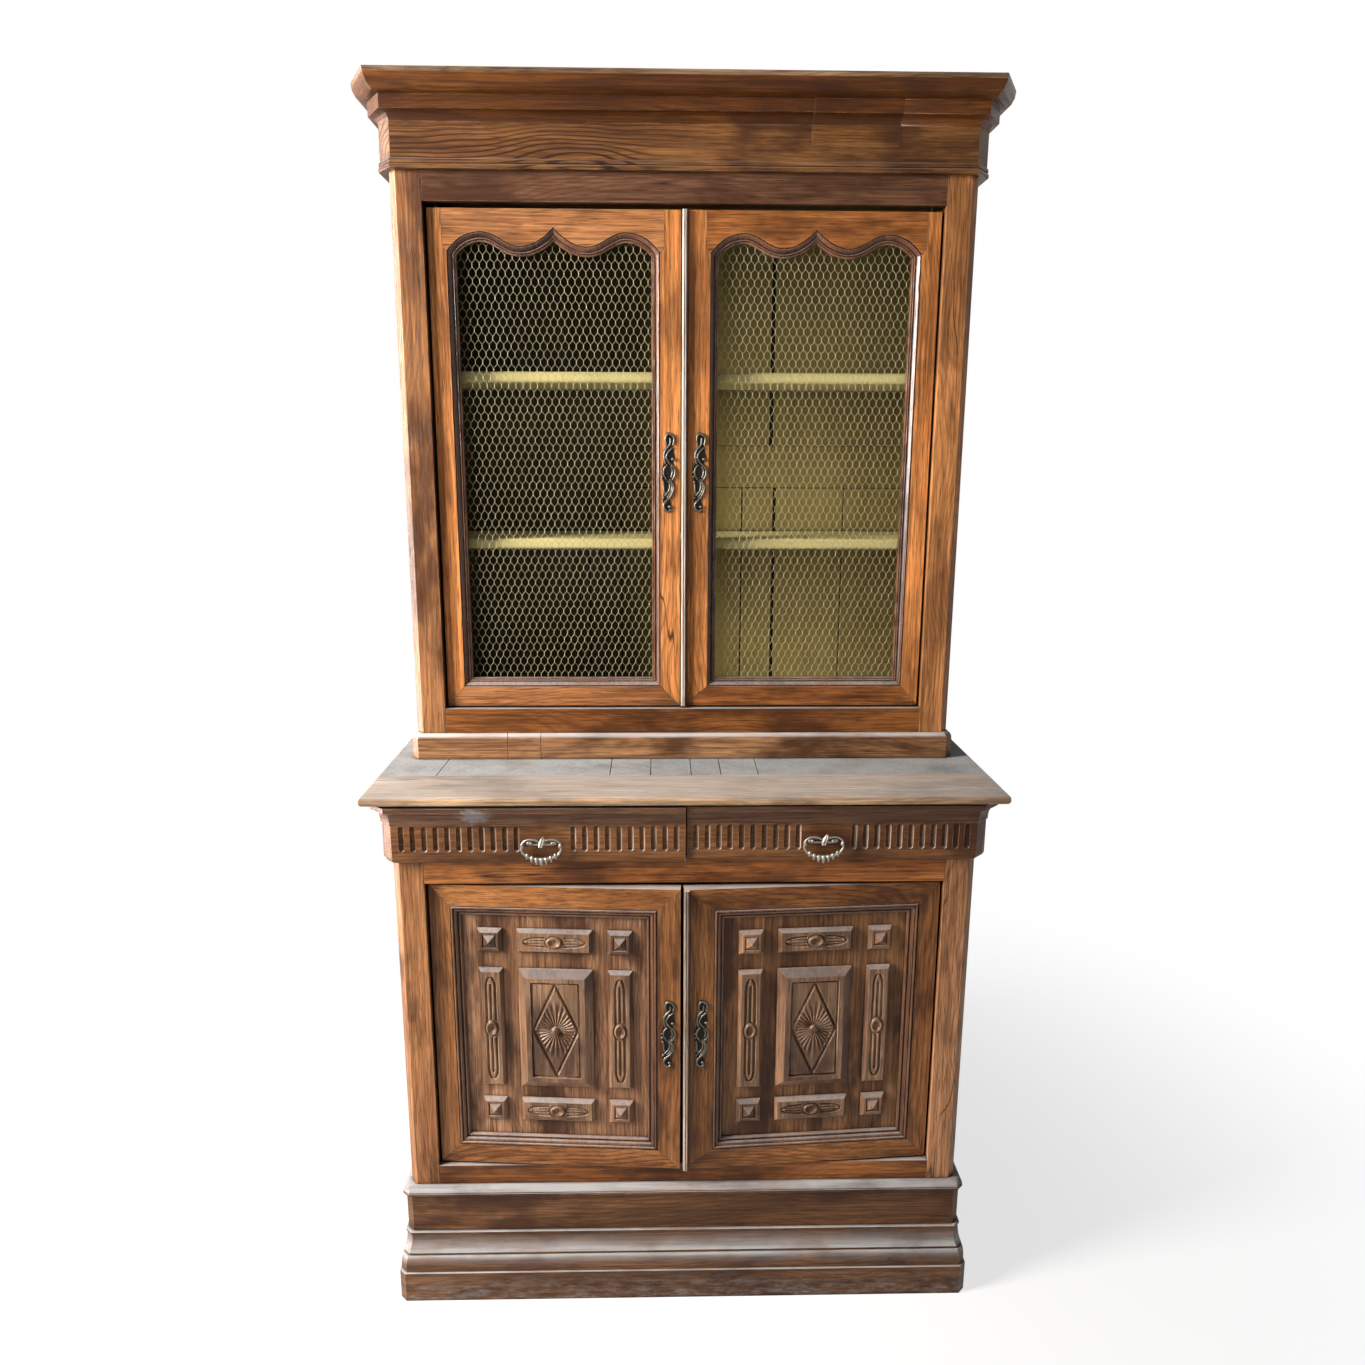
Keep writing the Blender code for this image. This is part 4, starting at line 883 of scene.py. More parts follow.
class FinishShop:
    """Holds the shared shader groups and the materials made from them."""

    def __init__(self) -> None:
        """Build the shared groups once."""
        self.grain = grain_group()
        self.dust = dust_group()
        self.age = age_group()

    def start(self, name: str) -> tuple[Material, NodeTree, Node]:
        """A material with its tree and its Principled BSDF.

        Args:
            name: name of the material.

        Returns:
            The material, its tree and its shader.
        """
        material = bpy.data.materials.new(name)
        material.use_nodes = True
        return material, NodeTree(material.node_tree), material.node_tree.nodes["Principled BSDF"]

    def placed(self, tree: NodeTree, group: ShaderGroup, values: dict[str, object]) -> Node:
        """Place a shared group in a material with its own values.

        Args:
            tree: tree of the material.
            group: the shared group.
            values: value of each input.

        Returns:
            The group's node.
        """
        made = tree.node("ShaderNodeGroup", node_tree=group.tree)
        for title, value in values.items():
            tree.feed(made.inputs[title], (*value, 1.0) if isinstance(value, tuple) else value)
        return made


@dataclass(frozen=True)
class OakFinish:
    """Waxed oak, stained, worn at its edges and dusty on top."""

    name: str
    way: GrainWay
    middle: Colour
    light: Colour
    dark: Colour = (0.030, 0.0085, 0.0025)
    figure: float = 0.30
    stain: float = 0.78
    rough: float = 0.40
    gloss: float = 0.16
    dust: float = 0.8
    dust_slopes: Point2 = (0.12, 0.62)
    dust_colour: Colour = (0.50, 0.46, 0.44)
    wear: float = 0.5
    wear_colour: Colour = (0.42, 0.22, 0.11)
    # Painted shade with grime: how strongly the recesses darken, and to which colour.
    grime: float = 0.9
    grime_colour: Colour = CRACK_BLACK
    reach: float = 0.014
    scuffed_below: float = 0.0
    smear: Point3 | None = None
    shift: float = 0.0

    def grain_vector(self, tree: NodeTree) -> Socket:
        """Object coordinates turned so that X runs along the grain.

        Args:
            tree: tree of the material.

        Returns:
            The coordinates.
        """
        where = tree.here()
        turns = {GrainWay.LEVEL: [(0.0, 0.0, 0.0)], GrainWay.UPRIGHT: [(0.0, math.pi / 2, 0.0)],
                 GrainWay.ROUND_CASE: [(0.0, 0.0, 0.0), (0.0, 0.0, -math.pi / 2)]}
        mapped = []
        for turn in turns[self.way]:
            mapping = tree.node("ShaderNodeMapping")
            tree.feed(mapping.inputs["Vector"], where)
            mapping.inputs["Location"].default_value = (self.shift, self.shift * 0.7, self.shift * 0.4)
            mapping.inputs["Rotation"].default_value = turn
            mapped.append(mapping.outputs[0])
        if len(mapped) == 1:
            return mapped[0]
        facing = tree.parts(tree.node("ShaderNodeNewGeometry").outputs["True Normal"])
        sideways = tree.number("GREATER_THAN", tree.number("ABSOLUTE", facing[0]), 0.75)
        chosen = tree.node("ShaderNodeMix", data_type="VECTOR")
        for socket, value in zip((chosen.inputs[0], chosen.inputs[4], chosen.inputs[5]), (sideways, *mapped)):
            tree.feed(socket, value)
        return chosen.outputs[1]

    def scuffs(self, tree: NodeTree) -> Socket:
        """Mask of the grey scuffs near the floor.

        Args:
            tree: tree of the material.

        Returns:
            The mask.
        """
        where = tree.here()
        low = tree.span(tree.parts(where)[2], 0.0, self.scuffed_below, 1.0, 0.0)
        patches = tree.span(tree.noise(where, (26.0, 26.0, 90.0), 5.0, 0.75), 0.40, 0.75)
        return tree.times(low, patches)

    def smeared(self, tree: NodeTree) -> Socket:
        """Mask of a ragged smear of old plaster round one spot.

        Args:
            tree: tree of the material.

        Returns:
            The mask.
        """
        where = tree.here()
        offset = tree.vector("MULTIPLY", tree.vector("SUBTRACT", where, self.smear), (24.0, 8.0, 40.0))
        away = tree.vector("LENGTH", offset)
        ragged = tree.number("MULTIPLY_ADD", tree.noise(where, (90.0, 90.0, 130.0), 4.0, 0.7), 1.4, away)
        return tree.span(ragged, 0.9, 1.6, 0.62, 0.0)

    def make(self, shop: FinishShop) -> Material:
        """Build the material.

        Args:
            shop: the shared groups.

        Returns:
            The material.
        """
        material, tree, shader = shop.start(self.name)
        where = self.grain_vector(tree)
        grain = shop.placed(tree, shop.grain, {"Vector": where, "Dark": self.dark, "Middle": self.middle,
                                               "Light": self.light, "Figure": self.figure,
                                               "Stain": self.stain})
        age = shop.placed(tree, shop.age, {"Vector": where, "Reach": self.reach, "Edge": 0.0025})
        start, full = self.dust_slopes
        values = {"Vector": where, "Amount": self.dust, "Start": start, "Full": full}
        dust = shop.placed(tree, shop.dust, values)
        worn = tree.times(age.outputs["Wear"], self.wear)
        shade_and_grime_mask = tree.times(age.outputs["Grime"], self.grime)
        colour = tree.blend(worn, grain.outputs["Colour"], self.wear_colour)
        if self.scuffed_below:
            colour = tree.blend(tree.times(self.scuffs(tree), 0.35), colour, self.dust_colour)
        if self.smear:
            colour = tree.blend(self.smeared(tree), colour, SMEAR_GREY)
        colour = tree.blend(dust.outputs["Mask"], colour, self.dust_colour)
        # Painted shade with grime: the recesses darken by the ambient-occlusion mask.
        colour = tree.blend(shade_and_grime_mask, colour, self.grime_colour)
        tree.feed(shader.inputs["Base Color"], colour)
        dull = tree.number("MULTIPLY_ADD", dust.outputs["Mask"], 0.45, self.rough)
        rough = tree.number("MULTIPLY_ADD", grain.outputs["Pores"], 0.18, dull, clamp=True)
        tree.feed(shader.inputs["Roughness"], rough)
        shader.inputs["Specular IOR Level"].default_value = self.gloss
        tree.roughen(shader, grain.outputs["Height"], 0.4, 0.0007)
        return material


@dataclass(frozen=True)
class PaintFinish:
    """Old matt oil paint on boards, brushed and stained, with painted shade and dirt in the corners and
    painted shade that darkens it along set axes.
    """

    name: str
    colour: Colour
    stain: Colour
    brush: Point3 = (40.0, 40.0, 3.0)
    grime: float = 0.8
    # Painted shade: axis, start, end and strength of each darkening of the colour.
    gloom: tuple[tuple[int, float, float, float], ...] = ()

    def make(self, shop: FinishShop) -> Material:
        """Build the material.

        Args:
            shop: the shared groups.

        Returns:
            The material.
        """
        material, tree, shader = shop.start(self.name)
        where = tree.here()
        stains = tree.span(tree.noise(where, (4.0, 4.0, 4.0), 4.0, 0.6), 0.38, 0.7)
        strokes = tree.noise(where, self.brush, 3.0, 0.6)
        age = shop.placed(tree, shop.age, {"Vector": where, "Reach": 0.03, "Edge": 0.003})
        colour = tree.blend(tree.times(stains, 0.6), self.colour, self.stain)
        colour = tree.blend(tree.span(strokes, 0.45, 0.75, 0.0, 0.35), colour, self.stain)
        parts = tree.parts(where)
        # Painted shade: the colour darkens towards a brown along each given axis.
        for axis, start, end, depth in self.gloom:
            shade = tree.span(parts[axis], start, end, 0.0, depth)
            colour = tree.blend(shade, colour, PAINTED_SHADE_BROWN)
        # Painted shade with dirt: the paint darkens in its corners by the ambient-occlusion mask.
        colour = tree.blend(tree.times(age.outputs["Grime"], self.grime), colour, PAINT_SHADE_AND_GRIME)
        tree.feed(shader.inputs["Base Color"], colour)
        shader.inputs["Specular IOR Level"].default_value = 0.12
        tree.feed(shader.inputs["Roughness"], tree.span(strokes, 0.3, 0.7, 0.55, 0.8))
        tree.roughen(shader, strokes, 0.3, 0.0008)
        return material


@dataclass(frozen=True)
class MetalFinish:
    """Cast or drawn metal with a dull skin and bright worn edges."""

    name: str
    skin: Colour
    bright: Colour
    rough: float
    wear: float
    grain: float = 160.0
    shine: float = 1.0

    def make(self, shop: FinishShop) -> Material:
        """Build the material.

        Args:
            shop: the shared groups.

        Returns:
            The material.
        """
        material, tree, shader = shop.start(self.name)
        where = tree.here()
        mottle = tree.noise(where, (self.grain, self.grain, self.grain), 3.0, 0.6)
        age = shop.placed(tree, shop.age, {"Vector": where, "Reach": 0.006, "Edge": 0.0012})
        lifted = tree.number("ADD", tree.times(age.outputs["Wear"], self.wear),
                             tree.span(mottle, 0.55, 0.8, 0.0, self.wear * 0.5), clamp=True)
        colour = tree.blend(lifted, self.skin, self.bright)
        colour = tree.blend(tree.times(age.outputs["Grime"], 0.8), colour, METAL_GRIME)
        tree.feed(shader.inputs["Base Color"], colour)
        tree.feed(shader.inputs["Roughness"],
                  tree.span(mottle, 0.3, 0.7, self.rough - 0.08, self.rough + 0.12))
        shader.inputs["Metallic"].default_value = self.shine
        tree.roughen(shader, mottle, 0.25, 0.0004)
        return material


LEVEL, UPRIGHT, ROUND = GrainWay.LEVEL, GrainWay.UPRIGHT, GrainWay.ROUND_CASE


class Look(Enum):
    """Every finish of the cupboard, named for the piece that wears it; some of them paint light or shade into
    the colour.
    """

    RAIL = OakFinish("oak_rails", LEVEL, (0.14, 0.045, 0.01), (0.27, 0.096, 0.024))
    BARE = OakFinish("oak_bare", LEVEL, (0.215, 0.11, 0.048), (0.34, 0.19, 0.092), stain=0.5, rough=0.6,
        dust=0.12, gloss=0.15, shift=7.7)
    TOP_RAIL = OakFinish("oak_top_rail", LEVEL, (0.055, 0.022, 0.01), (0.13, 0.057, 0.028), shift=0.6)
    POST = OakFinish("oak_posts", UPRIGHT, (0.212, 0.084, 0.029), (0.325, 0.143, 0.056), shift=1.7)
    RIGHT_POST = OakFinish("oak_right_posts", UPRIGHT, (0.35, 0.136, 0.042), (0.53, 0.222, 0.076),
        stain=0.5, shift=9.2)
    LOW_RIGHT_POST = OakFinish("oak_low_right_post", UPRIGHT, (0.262, 0.116, 0.048), (0.4, 0.192, 0.092),
        shift=9.2)
    MOULDING = OakFinish("oak_mouldings", ROUND, (0.088, 0.034, 0.009), (0.23, 0.098, 0.032), figure=1.0,
        stain=0.85, dust=0.2, shift=0.4)
    REPAIR = OakFinish("oak_repair", ROUND, (0.086, 0.032, 0.008), (0.205, 0.086, 0.024), dust=0.2,
        shift=2.9)
    CROWN = OakFinish("oak_crown", ROUND, (0.056, 0.016, 0.0024), (0.145, 0.047, 0.006), figure=0.8,
        stain=0.75, dust=0.2, shift=0.4)
    CROWN_EDGE = OakFinish("oak_crown_edge", ROUND, (0.13, 0.072, 0.036), (0.26, 0.16, 0.092), stain=0.5,
        shift=2.2)
    WAIST = OakFinish("oak_waist", ROUND, (0.175, 0.079, 0.034), (0.368, 0.187, 0.087), dust=0.95,
        shift=1.3)
    DOOR_RAIL = OakFinish("oak_net_door_rails", LEVEL, (0.24, 0.088, 0.028), (0.4, 0.168, 0.064),
        stain=0.45, shift=2.3)
    DARK_DOOR_RAIL = OakFinish("oak_dark_door_rail", LEVEL, (0.195, 0.062, 0.0155), (0.365, 0.13, 0.034),
        stain=0.7, shift=5.3)
    DOOR_STILE = OakFinish("oak_net_door_stiles", UPRIGHT, (0.42, 0.148, 0.04), (0.66, 0.255, 0.076),
        stain=0.48, shift=3.1)
    STICKING = OakFinish("oak_net_door_beads", UPRIGHT, (0.075, 0.026, 0.01), (0.15, 0.056, 0.022),
        rough=0.26, gloss=0.42, wear=0.7, reach=0.003, dust=0.4, shift=3.6)
    LOW_RAIL = OakFinish("oak_panel_door_rails", LEVEL, (0.165, 0.059, 0.015), (0.35, 0.14, 0.042),
        figure=0.5, shift=2.7)
    LOW_STILE = OakFinish("oak_panel_door_stiles", UPRIGHT, (0.165, 0.062, 0.018), (0.28, 0.113, 0.036),
        shift=4.4)
    LOW_STICKING = OakFinish("oak_panel_door_beads", UPRIGHT, (0.08, 0.03, 0.012), (0.16, 0.064, 0.026),
        rough=0.28, gloss=0.38, wear=0.7, reach=0.004, dust=0.45, dust_slopes=(0.3, 0.8),
        dust_colour=(0.46, 0.41, 0.38), shift=4.9)
    PANEL = OakFinish("oak_panels", UPRIGHT, (0.115, 0.048, 0.018), (0.29, 0.136, 0.057), stain=0.85,
        reach=0.02, shift=4.2)
    # Painted light: a brighter copy of the panel finish, for the left door's panel.
    LEFT_PANEL = OakFinish("oak_left_panel", UPRIGHT, (0.165, 0.074, 0.034), (0.39, 0.2, 0.106), stain=0.85,
        reach=0.02, shift=4.2)
    CARVING = OakFinish("oak_carving", UPRIGHT, (0.119, 0.058, 0.027), (0.262, 0.142, 0.076), figure=0.1,
        gloss=0.3, reach=0.003, grime=0.25, dust=0.0, wear=0.8, wear_colour=(0.46, 0.28, 0.17), shift=5.9)
    BLOCK_EDGE = OakFinish("oak_block_edges", UPRIGHT, (0.115, 0.052, 0.024), (0.255, 0.128, 0.064),
        figure=0.1, gloss=0.35, reach=0.004, grime=0.5, dust=0.7, dust_slopes=(0.2, 0.9),
        dust_colour=(0.36, 0.32, 0.3), wear=0.7, shift=7.3)
    # Painted highlights: pale finishes for the faces of the meeting beads that look front and left.
    WORN_EDGE = OakFinish("oak_worn_edge", UPRIGHT, (0.33, 0.27, 0.225), (0.5, 0.44, 0.39),
        dark=(0.2, 0.14, 0.1), stain=0.4, gloss=0.35, rough=0.35, reach=0.003, shift=8.1)
    LOW_EDGE = OakFinish("oak_low_edge", UPRIGHT, (0.16, 0.115, 0.085), (0.28, 0.22, 0.18),
        dark=(0.07, 0.04, 0.025), stain=0.6, gloss=0.25, reach=0.003, shift=8.7)
    DRAWER = OakFinish("oak_drawers", LEVEL, (0.088, 0.034, 0.0105), (0.186, 0.077, 0.028), dust=0.3,
        wear=0.7, reach=0.01, shift=6.3)
    COVE = OakFinish("oak_drawer_coves", LEVEL, (0.064, 0.028, 0.013), (0.138, 0.066, 0.036), dust=0.5,
        wear=0.7, reach=0.012, smear=(-0.392, -0.255, 1.05), shift=6.5)
    NOSE = OakFinish("oak_table_nose", LEVEL, (0.34, 0.2, 0.1), (0.6, 0.42, 0.26), dark=(0.13, 0.07, 0.035),
        dust=0.2, rough=0.4, gloss=0.3, shift=0.9)
    # Painted highlight: a pale finish for the flutes' walls that look left or up.
    FLUTE_EDGE = OakFinish("oak_flute_edges", UPRIGHT, (0.26, 0.16, 0.11), (0.42, 0.3, 0.22), gloss=0.4,
        grime=0.3, reach=0.003, dust=0.5, shift=6.9)
    # Painted highlight: a pale finish for the carved walls that look up and left.
    CUT_EDGE = OakFinish("oak_cut_edges", UPRIGHT, (0.21, 0.125, 0.078), (0.35, 0.235, 0.16), gloss=0.3,
        grime=0.3, reach=0.003, dust=0.0, shift=6.9)
    TABLE = OakFinish("oak_table", LEVEL, (0.3, 0.2, 0.126), (0.5, 0.38, 0.28), dark=(0.115, 0.07, 0.045),
        dust=0.5, dust_colour=(0.47, 0.445, 0.43), rough=0.5, shift=0.9)
    TABLE_BACK = OakFinish("oak_table_back", UPRIGHT, (0.216, 0.176, 0.138), (0.346, 0.32, 0.284),
        dark=(0.095, 0.068, 0.052), dust=0.7, dust_colour=(0.375, 0.4, 0.42), rough=0.5, shift=1.9)
    BASE = OakFinish("oak_base", ROUND, (0.07, 0.028, 0.009), (0.16, 0.07, 0.026), dust=0.92,
        dust_colour=(0.365, 0.352, 0.348), dust_slopes=(0.0, 0.34), rough=0.45, scuffed_below=0.08,
        reach=0.01, shift=1.2)
    # The inside paint carries painted shade: darker towards the top and towards the left.
    INSIDE = PaintFinish("olive_paint", (0.245, 0.188, 0.056), (0.146, 0.107, 0.028),
        gloom=((2, 1.3, 2.15, 0.5), (0, 0.02, -0.16, 0.82)))
    SHELF = PaintFinish("shelf_paint", (0.57, 0.49, 0.21), (0.45, 0.36, 0.13), (3.0, 40.0, 40.0), 0.5)
    # Painted shade: a near-black paint that stands for the shade in the gaps between the back boards.
    BACKING = PaintFinish("dark_backing", (0.03, 0.022, 0.01), (0.018, 0.013, 0.006))
    BRONZE = MetalFinish("dark_bronze", (0.115, 0.1, 0.08), (0.6, 0.54, 0.45), 0.38, 0.9)
    PEWTER = MetalFinish("pewter", (0.26, 0.235, 0.2), (0.74, 0.7, 0.63), 0.4, 0.9, 160.0, 0.8)
    IRON = MetalFinish("old_iron", (0.022, 0.018, 0.015), (0.07, 0.06, 0.05), 0.6, 0.4)
    WIRE = MetalFinish("galvanised_wire", (0.25, 0.222, 0.128), (0.4, 0.365, 0.22), 0.6, 0.5, 300.0, 0.1)


Palette = dict[Look, Material]


def build_palette() -> Palette:
    """Make every material once."""
    shop = FinishShop()
    return {look: look.value.make(shop) for look in Look}


# The cupboard


def eased_node(node: str, width: float, joint: float | None = None) -> BMesh:
    """A copy of a solid with merged points and eased edges.

    Args:
        node: name of the solid.
        width: width of the easing.
        joint: level of a joint that stays sharp.

    Returns:
        The copy.
    """
    shape = bmesh.new()
    shape.from_mesh(bpy.data.objects[node].data)
    ease_edges(shape, width, joint=joint)
    return shape


@dataclass
class Carcase:
    """Posts, rails, sides, boards and mouldings of both cases."""

    finishes: Palette
    ease: float = 0.0009
    seam: float = 0.0005
    crack: tuple[Point2, ...] = ((0.5051, 2.0526), (0.5087, 2.0145), (0.5113, 1.9593), (0.5205, 1.9093),
                                 (0.5235, 1.8473), (0.5230, 1.7902))
    crack_half: float = 0.0009
    crown_edge: float = 2.3560
    crack_depth: float = 0.006
    crack_proud: float = 0.001
    shelf_ease: float = 0.006
    repair_depth: float = 0.002

    def dress(self) -> None:
        """Ease every board and moulding and paint the inside."""
        looks = self.finishes
        upright = ["lower_left_post", "upper_left_post", "lower_left_side", "lower_right_side", "lower_back"]
        bare = ["lower_floor", "dust_board", "left_drawer_box", "right_drawer_box"]
        groups = ((upright, Look.POST), (["lower_bottom_rail", "upper_bottom_rail"], Look.RAIL),
                  (["upper_top_rail"], Look.TOP_RAIL), (bare, Look.BARE),
                  (["lower_right_post"], Look.LOW_RIGHT_POST), (["drawer_rail"], Look.DARK_DOOR_RAIL))
        for nodes, look in groups:
            for node in nodes:
                self.eased(node, [looks[look]])
        for node in ("upper_floor", "upper_ceiling"):
            self.eased(node, [looks[Look.INSIDE]])
        for node in ("upper_shelf_high", "upper_shelf_low"):
            self.eased(node, [looks[Look.SHELF]], width=self.shelf_ease)
        self.cracked_post()
        self.sides()
        self.upper_back()
        self.table()
        self.waist()
        self.cornice()

    def eased(self, node: str, materials: Sequence[Material],
              width: float | None = None) -> None:
        """Replace a solid by a copy with eased edges.

        Args:
            node: name of the solid.
            materials: its finishes.
            width: width of the easing.
        """
        body = bpy.data.objects[node]["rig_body"]
        mesh = to_mesh(eased_node(node, width or self.ease), node + "_eased")
        add_piece(node + "_eased", mesh, materials, body, [node])

    def cracked_post(self) -> None:
        """Right upper post with its long drying crack."""
        node = "upper_right_post"
        line = smooth_line(self.crack, 5)
        last = len(line) - 1
        front = CASE.upper_front
        cutter = bmesh.new()
        sections = []
        for i, (x, z) in enumerate(line):
            half = 0.0001 + self.crack_half * math.sin(math.pi * i / last)
            mouth = [(x - half, front - self.crack_proud, z), (x + half, front - self.crack_proud, z)]
            sections.append([*mouth, (x, front + self.crack_depth, z)])
        add_loft(cutter, sections)
        whole = to_mesh(eased_node(node, self.ease), node + "_eased")
        cut = opened(boolean_mesh(whole, to_mesh(cutter, "crack"), "DIFFERENCE"))
        mesh = to_mesh(cut, node + "_eased")
        add_piece(node + "_eased", mesh, [self.finishes[Look.RIGHT_POST]], "case", [node])

    def sides(self) -> None:
        """Upper sides: oak outside, painted inside."""
        for side in Side:
            node = f"upper_{side.word}_side"
            mesh = to_mesh(eased_node(node, self.ease), node + "_eased")
            for face in mesh.polygons:
                face.material_index = 1 if face.normal.x * side.value < -0.7 else 0
            looks = [self.finishes[Look.POST], self.finishes[Look.INSIDE]]
            add_piece(node + "_eased", mesh, looks, "case", [node])

    def upper_back(self) -> None:
        """Back of the upper case: a framed back of rail, muntins and boards, shrunk apart at the joints."""
        mesh = to_mesh(eased_node("upper_back", self.ease), "upper_back_eased")
        # Painted shade: all faces but the outer one take the near-black backing, which darkens the gaps
        # between the boards.
        for face in mesh.polygons:
            face.material_index = int(face.normal.y > 0.5)
        add_piece("upper_back_eased", mesh, [self.finishes[Look.BACKING], self.finishes[Look.PANEL]], "case",
                  ["upper_back"])
        half = CASE.upper_inner_half
        floor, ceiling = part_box("upper_floor")[1].z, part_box("upper_ceiling")[0].z
        low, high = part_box("upper_shelf_low"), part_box("upper_shelf_high")
        rail_foot, rail_head = 1.6320, 1.7225
        over = ((-half, -0.2010), (-0.1995, 0.1925), (0.2000, half))
        under = ((-half, -0.2090), (-0.2035, -0.1350), (-0.1335, 0.1335), (0.1350, 0.2035), (0.2090, 0.3595),
                 (0.3605, half))
        bays = ((floor, low[0].z, under), (low[1].z, rail_foot, under),
                (rail_foot, rail_head, ((-half, half),)), (rail_head, high[0].z, over),
                (high[1].z, ceiling, over))
        shape = bmesh.new()
        thick, free = 0.007, 0.0007
        for foot, head, boards in bays:
            for x0, x1 in boards:
                add_box(shape, (x0 + free, CASE.inner_back - thick, foot + free),
                        (x1 - free, CASE.inner_back, head - free))
        ease_edges(shape, 0.0010)
        mesh = to_mesh(shape, "upper_back_boards")
        add_piece("upper_back_boards", mesh, [self.finishes[Look.INSIDE]], "case")

    def table(self) -> None:
        """Table top: a wide front board, a left end board and short boards behind, shrunk apart."""
        source = to_mesh(eased_node("table_top", 0.0012), "table_source")
        low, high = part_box("table_top")
        reach, gap = 0.02, 0.0007
        joint = -0.136
        left, right, far = low.x - reach, high.x + reach, high.y + reach
        cuts = (-0.147, -0.067, 0.013, 0.071, 0.145, right)
        outlines = [[(left, low.y - reach), (right, low.y - reach), (right, joint - gap),
                     (-0.485, joint - gap), (left, joint - gap)],
                    [(left, joint), (-0.4855, joint), (-0.470, far), (left, far)],
                    [(-0.4845, joint), (cuts[0] - gap, joint), (cuts[0] - gap, far), (-0.469, far)]]
        for x0, x1 in zip(cuts, cuts[1:]):
            outlines.append([(x0 + gap, joint), (x1 - gap, joint), (x1 - gap, far), (x0 + gap, far)])
        for index, outline in enumerate(outlines):
            prism = prism_mesh(outline, low.z - reach, high.z + reach, lying=True)
            name = f"table_board_{index}"
            stands_for = ["table_top"] if index == 0 else []
            mesh = to_mesh(cut_member(source, prism, 0.0006), name)
            for face in mesh.polygons:
                face.material_index = int(face.normal.z < 0.8 and not index)
            look = Look.TABLE_BACK if index else Look.TABLE
            add_piece(name, mesh, [self.finishes[look], self.finishes[Look.NOSE]], "case", stands_for)

    def waist(self) -> None:
        """Waist moulding, with a pieced-in length near its left end."""
        source = to_mesh(eased_node("waist_moulding", self.ease), "waist_source")
        low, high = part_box("waist_moulding")
        reach = 0.02
        cuts = [low.x - reach, -0.361, -0.293, high.x + reach]
        for index, (x0, x1) in enumerate(zip(cuts, cuts[1:])):
            outline = [(x0 + self.seam, low.z - reach), (x1 - self.seam, low.z - reach),
                       (x1 - self.seam, high.z + reach), (x0 + self.seam, high.z + reach)]
            prism = prism_mesh(outline, low.y - reach, high.y + reach)
            name = f"waist_length_{index}"
            stands_for = ["waist_moulding"] if index == 0 else []
            mesh = to_mesh(cut_member(source, prism, 0.0005), name)
            add_piece(name, mesh, [self.finishes[Look.WAIST]], "case", stands_for)

    def cornice_plan(self, out: float, cant: float, spread: Point3) -> list[Point2]:
        """Canted outline of the cornice, from the left end of the back to the right one.

        Args:
            out: how far it stands out.
            cant: size of the canted corner.
            spread: how fast the face's end, the side and the cant's far end move with out.

        Returns:
            Six points of the plan.
        """
        half, front, back = CASE.upper_half_face, CASE.upper_front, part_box("cornice_frieze")[1].y
        face_x, side_x = half + spread[0] * out, half + cant + spread[1] * out
        face_y, side_y = front - out, front + cant + spread[2] * out
        right = [(face_x, face_y), (side_x, side_y), (side_x, back)]
        return [(-x, y) for x, y in reversed(right)] + right

    def cornice_frieze(self) -> Mesh:
        """Frieze over two beads with a quirk between them.

        Returns:
            The mesh.
        """
        profile = [(0.0100, 2.2105), (0.0118, 2.2113), (0.0125, 2.2135), (0.0125, 2.2172), (0.0114, 2.2189),
                   (0.0096, 2.2194), (0.0096, 2.2205), (0.0110, 2.2211), (0.0114, 2.2235), (0.0106, 2.2268),
                   (0.0080, 2.2290), (0.0080, CASE.frieze_top)]
        wrap = self.cornice_plan(CASE.clearance, 0.0135, (CANT_SLANT, 1.0, -CANT_SLANT))[::-1]
        shape = bmesh.new()
        rows = [self.cornice_plan(out, 0.024, (0.6, 0.95, 0.17)) + wrap for out, _ in profile]
        add_loft(shape, [[(x, y, z) for x, y in row] for row, (_, z) in zip(rows, profile)])
        return to_mesh(shape, "cornice_frieze_source", 32.0)

    def cornice(self) -> None:
        """Cornice, with one length of its fillet and frieze pieced in at the right."""
        reach, gap = 0.02, 0.0005
        x0, x1, foot, head = 0.2300, 0.3925, 2.2545, 2.3300
        crown_shape = eased_node("cornice_crown", self.ease, CASE.frieze_top)
        whole = [*crown_shape.verts, *crown_shape.edges, *crown_shape.faces]
        bmesh.ops.bisect_plane(crown_shape, geom=whole, plane_co=(0.0, 0.0, self.crown_edge),
                               plane_no=(0.0, 0.0, 1.0))
        crown = to_mesh(crown_shape, "cornice_crown_source")
        sources = (("cornice_frieze", self.cornice_frieze(), Look.MOULDING, Look.REPAIR),
                   ("cornice_crown", crown, Look.CROWN, Look.CROWN))
        for node, source, look, pieced in sources:
            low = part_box(node)[0]
            bite = [(x0, foot), (x1, foot), (x1, head), (x0, head)]
            depths = (low.y - reach, CASE.upper_front - self.repair_depth)
            rest = opened(boolean_mesh(source.copy(), prism_mesh(bite, *depths), "DIFFERENCE"))
            mesh = to_mesh(rest, node + "_eased", 32.0)
            for face in mesh.polygons:
                face.material_index = int(face.center.z > self.crown_edge)
            add_piece(node + "_eased", mesh, [self.finishes[look], self.finishes[Look.CROWN_EDGE]], "case",
                      [node])
            prism = prism_mesh(inset(bite, gap), depths[0], depths[1] - gap)
            mesh = to_mesh(cut_member(source, prism, 0.0004), node + "_repair")
            add_piece(node + "_repair", mesh, [self.finishes[pieced]], "case")


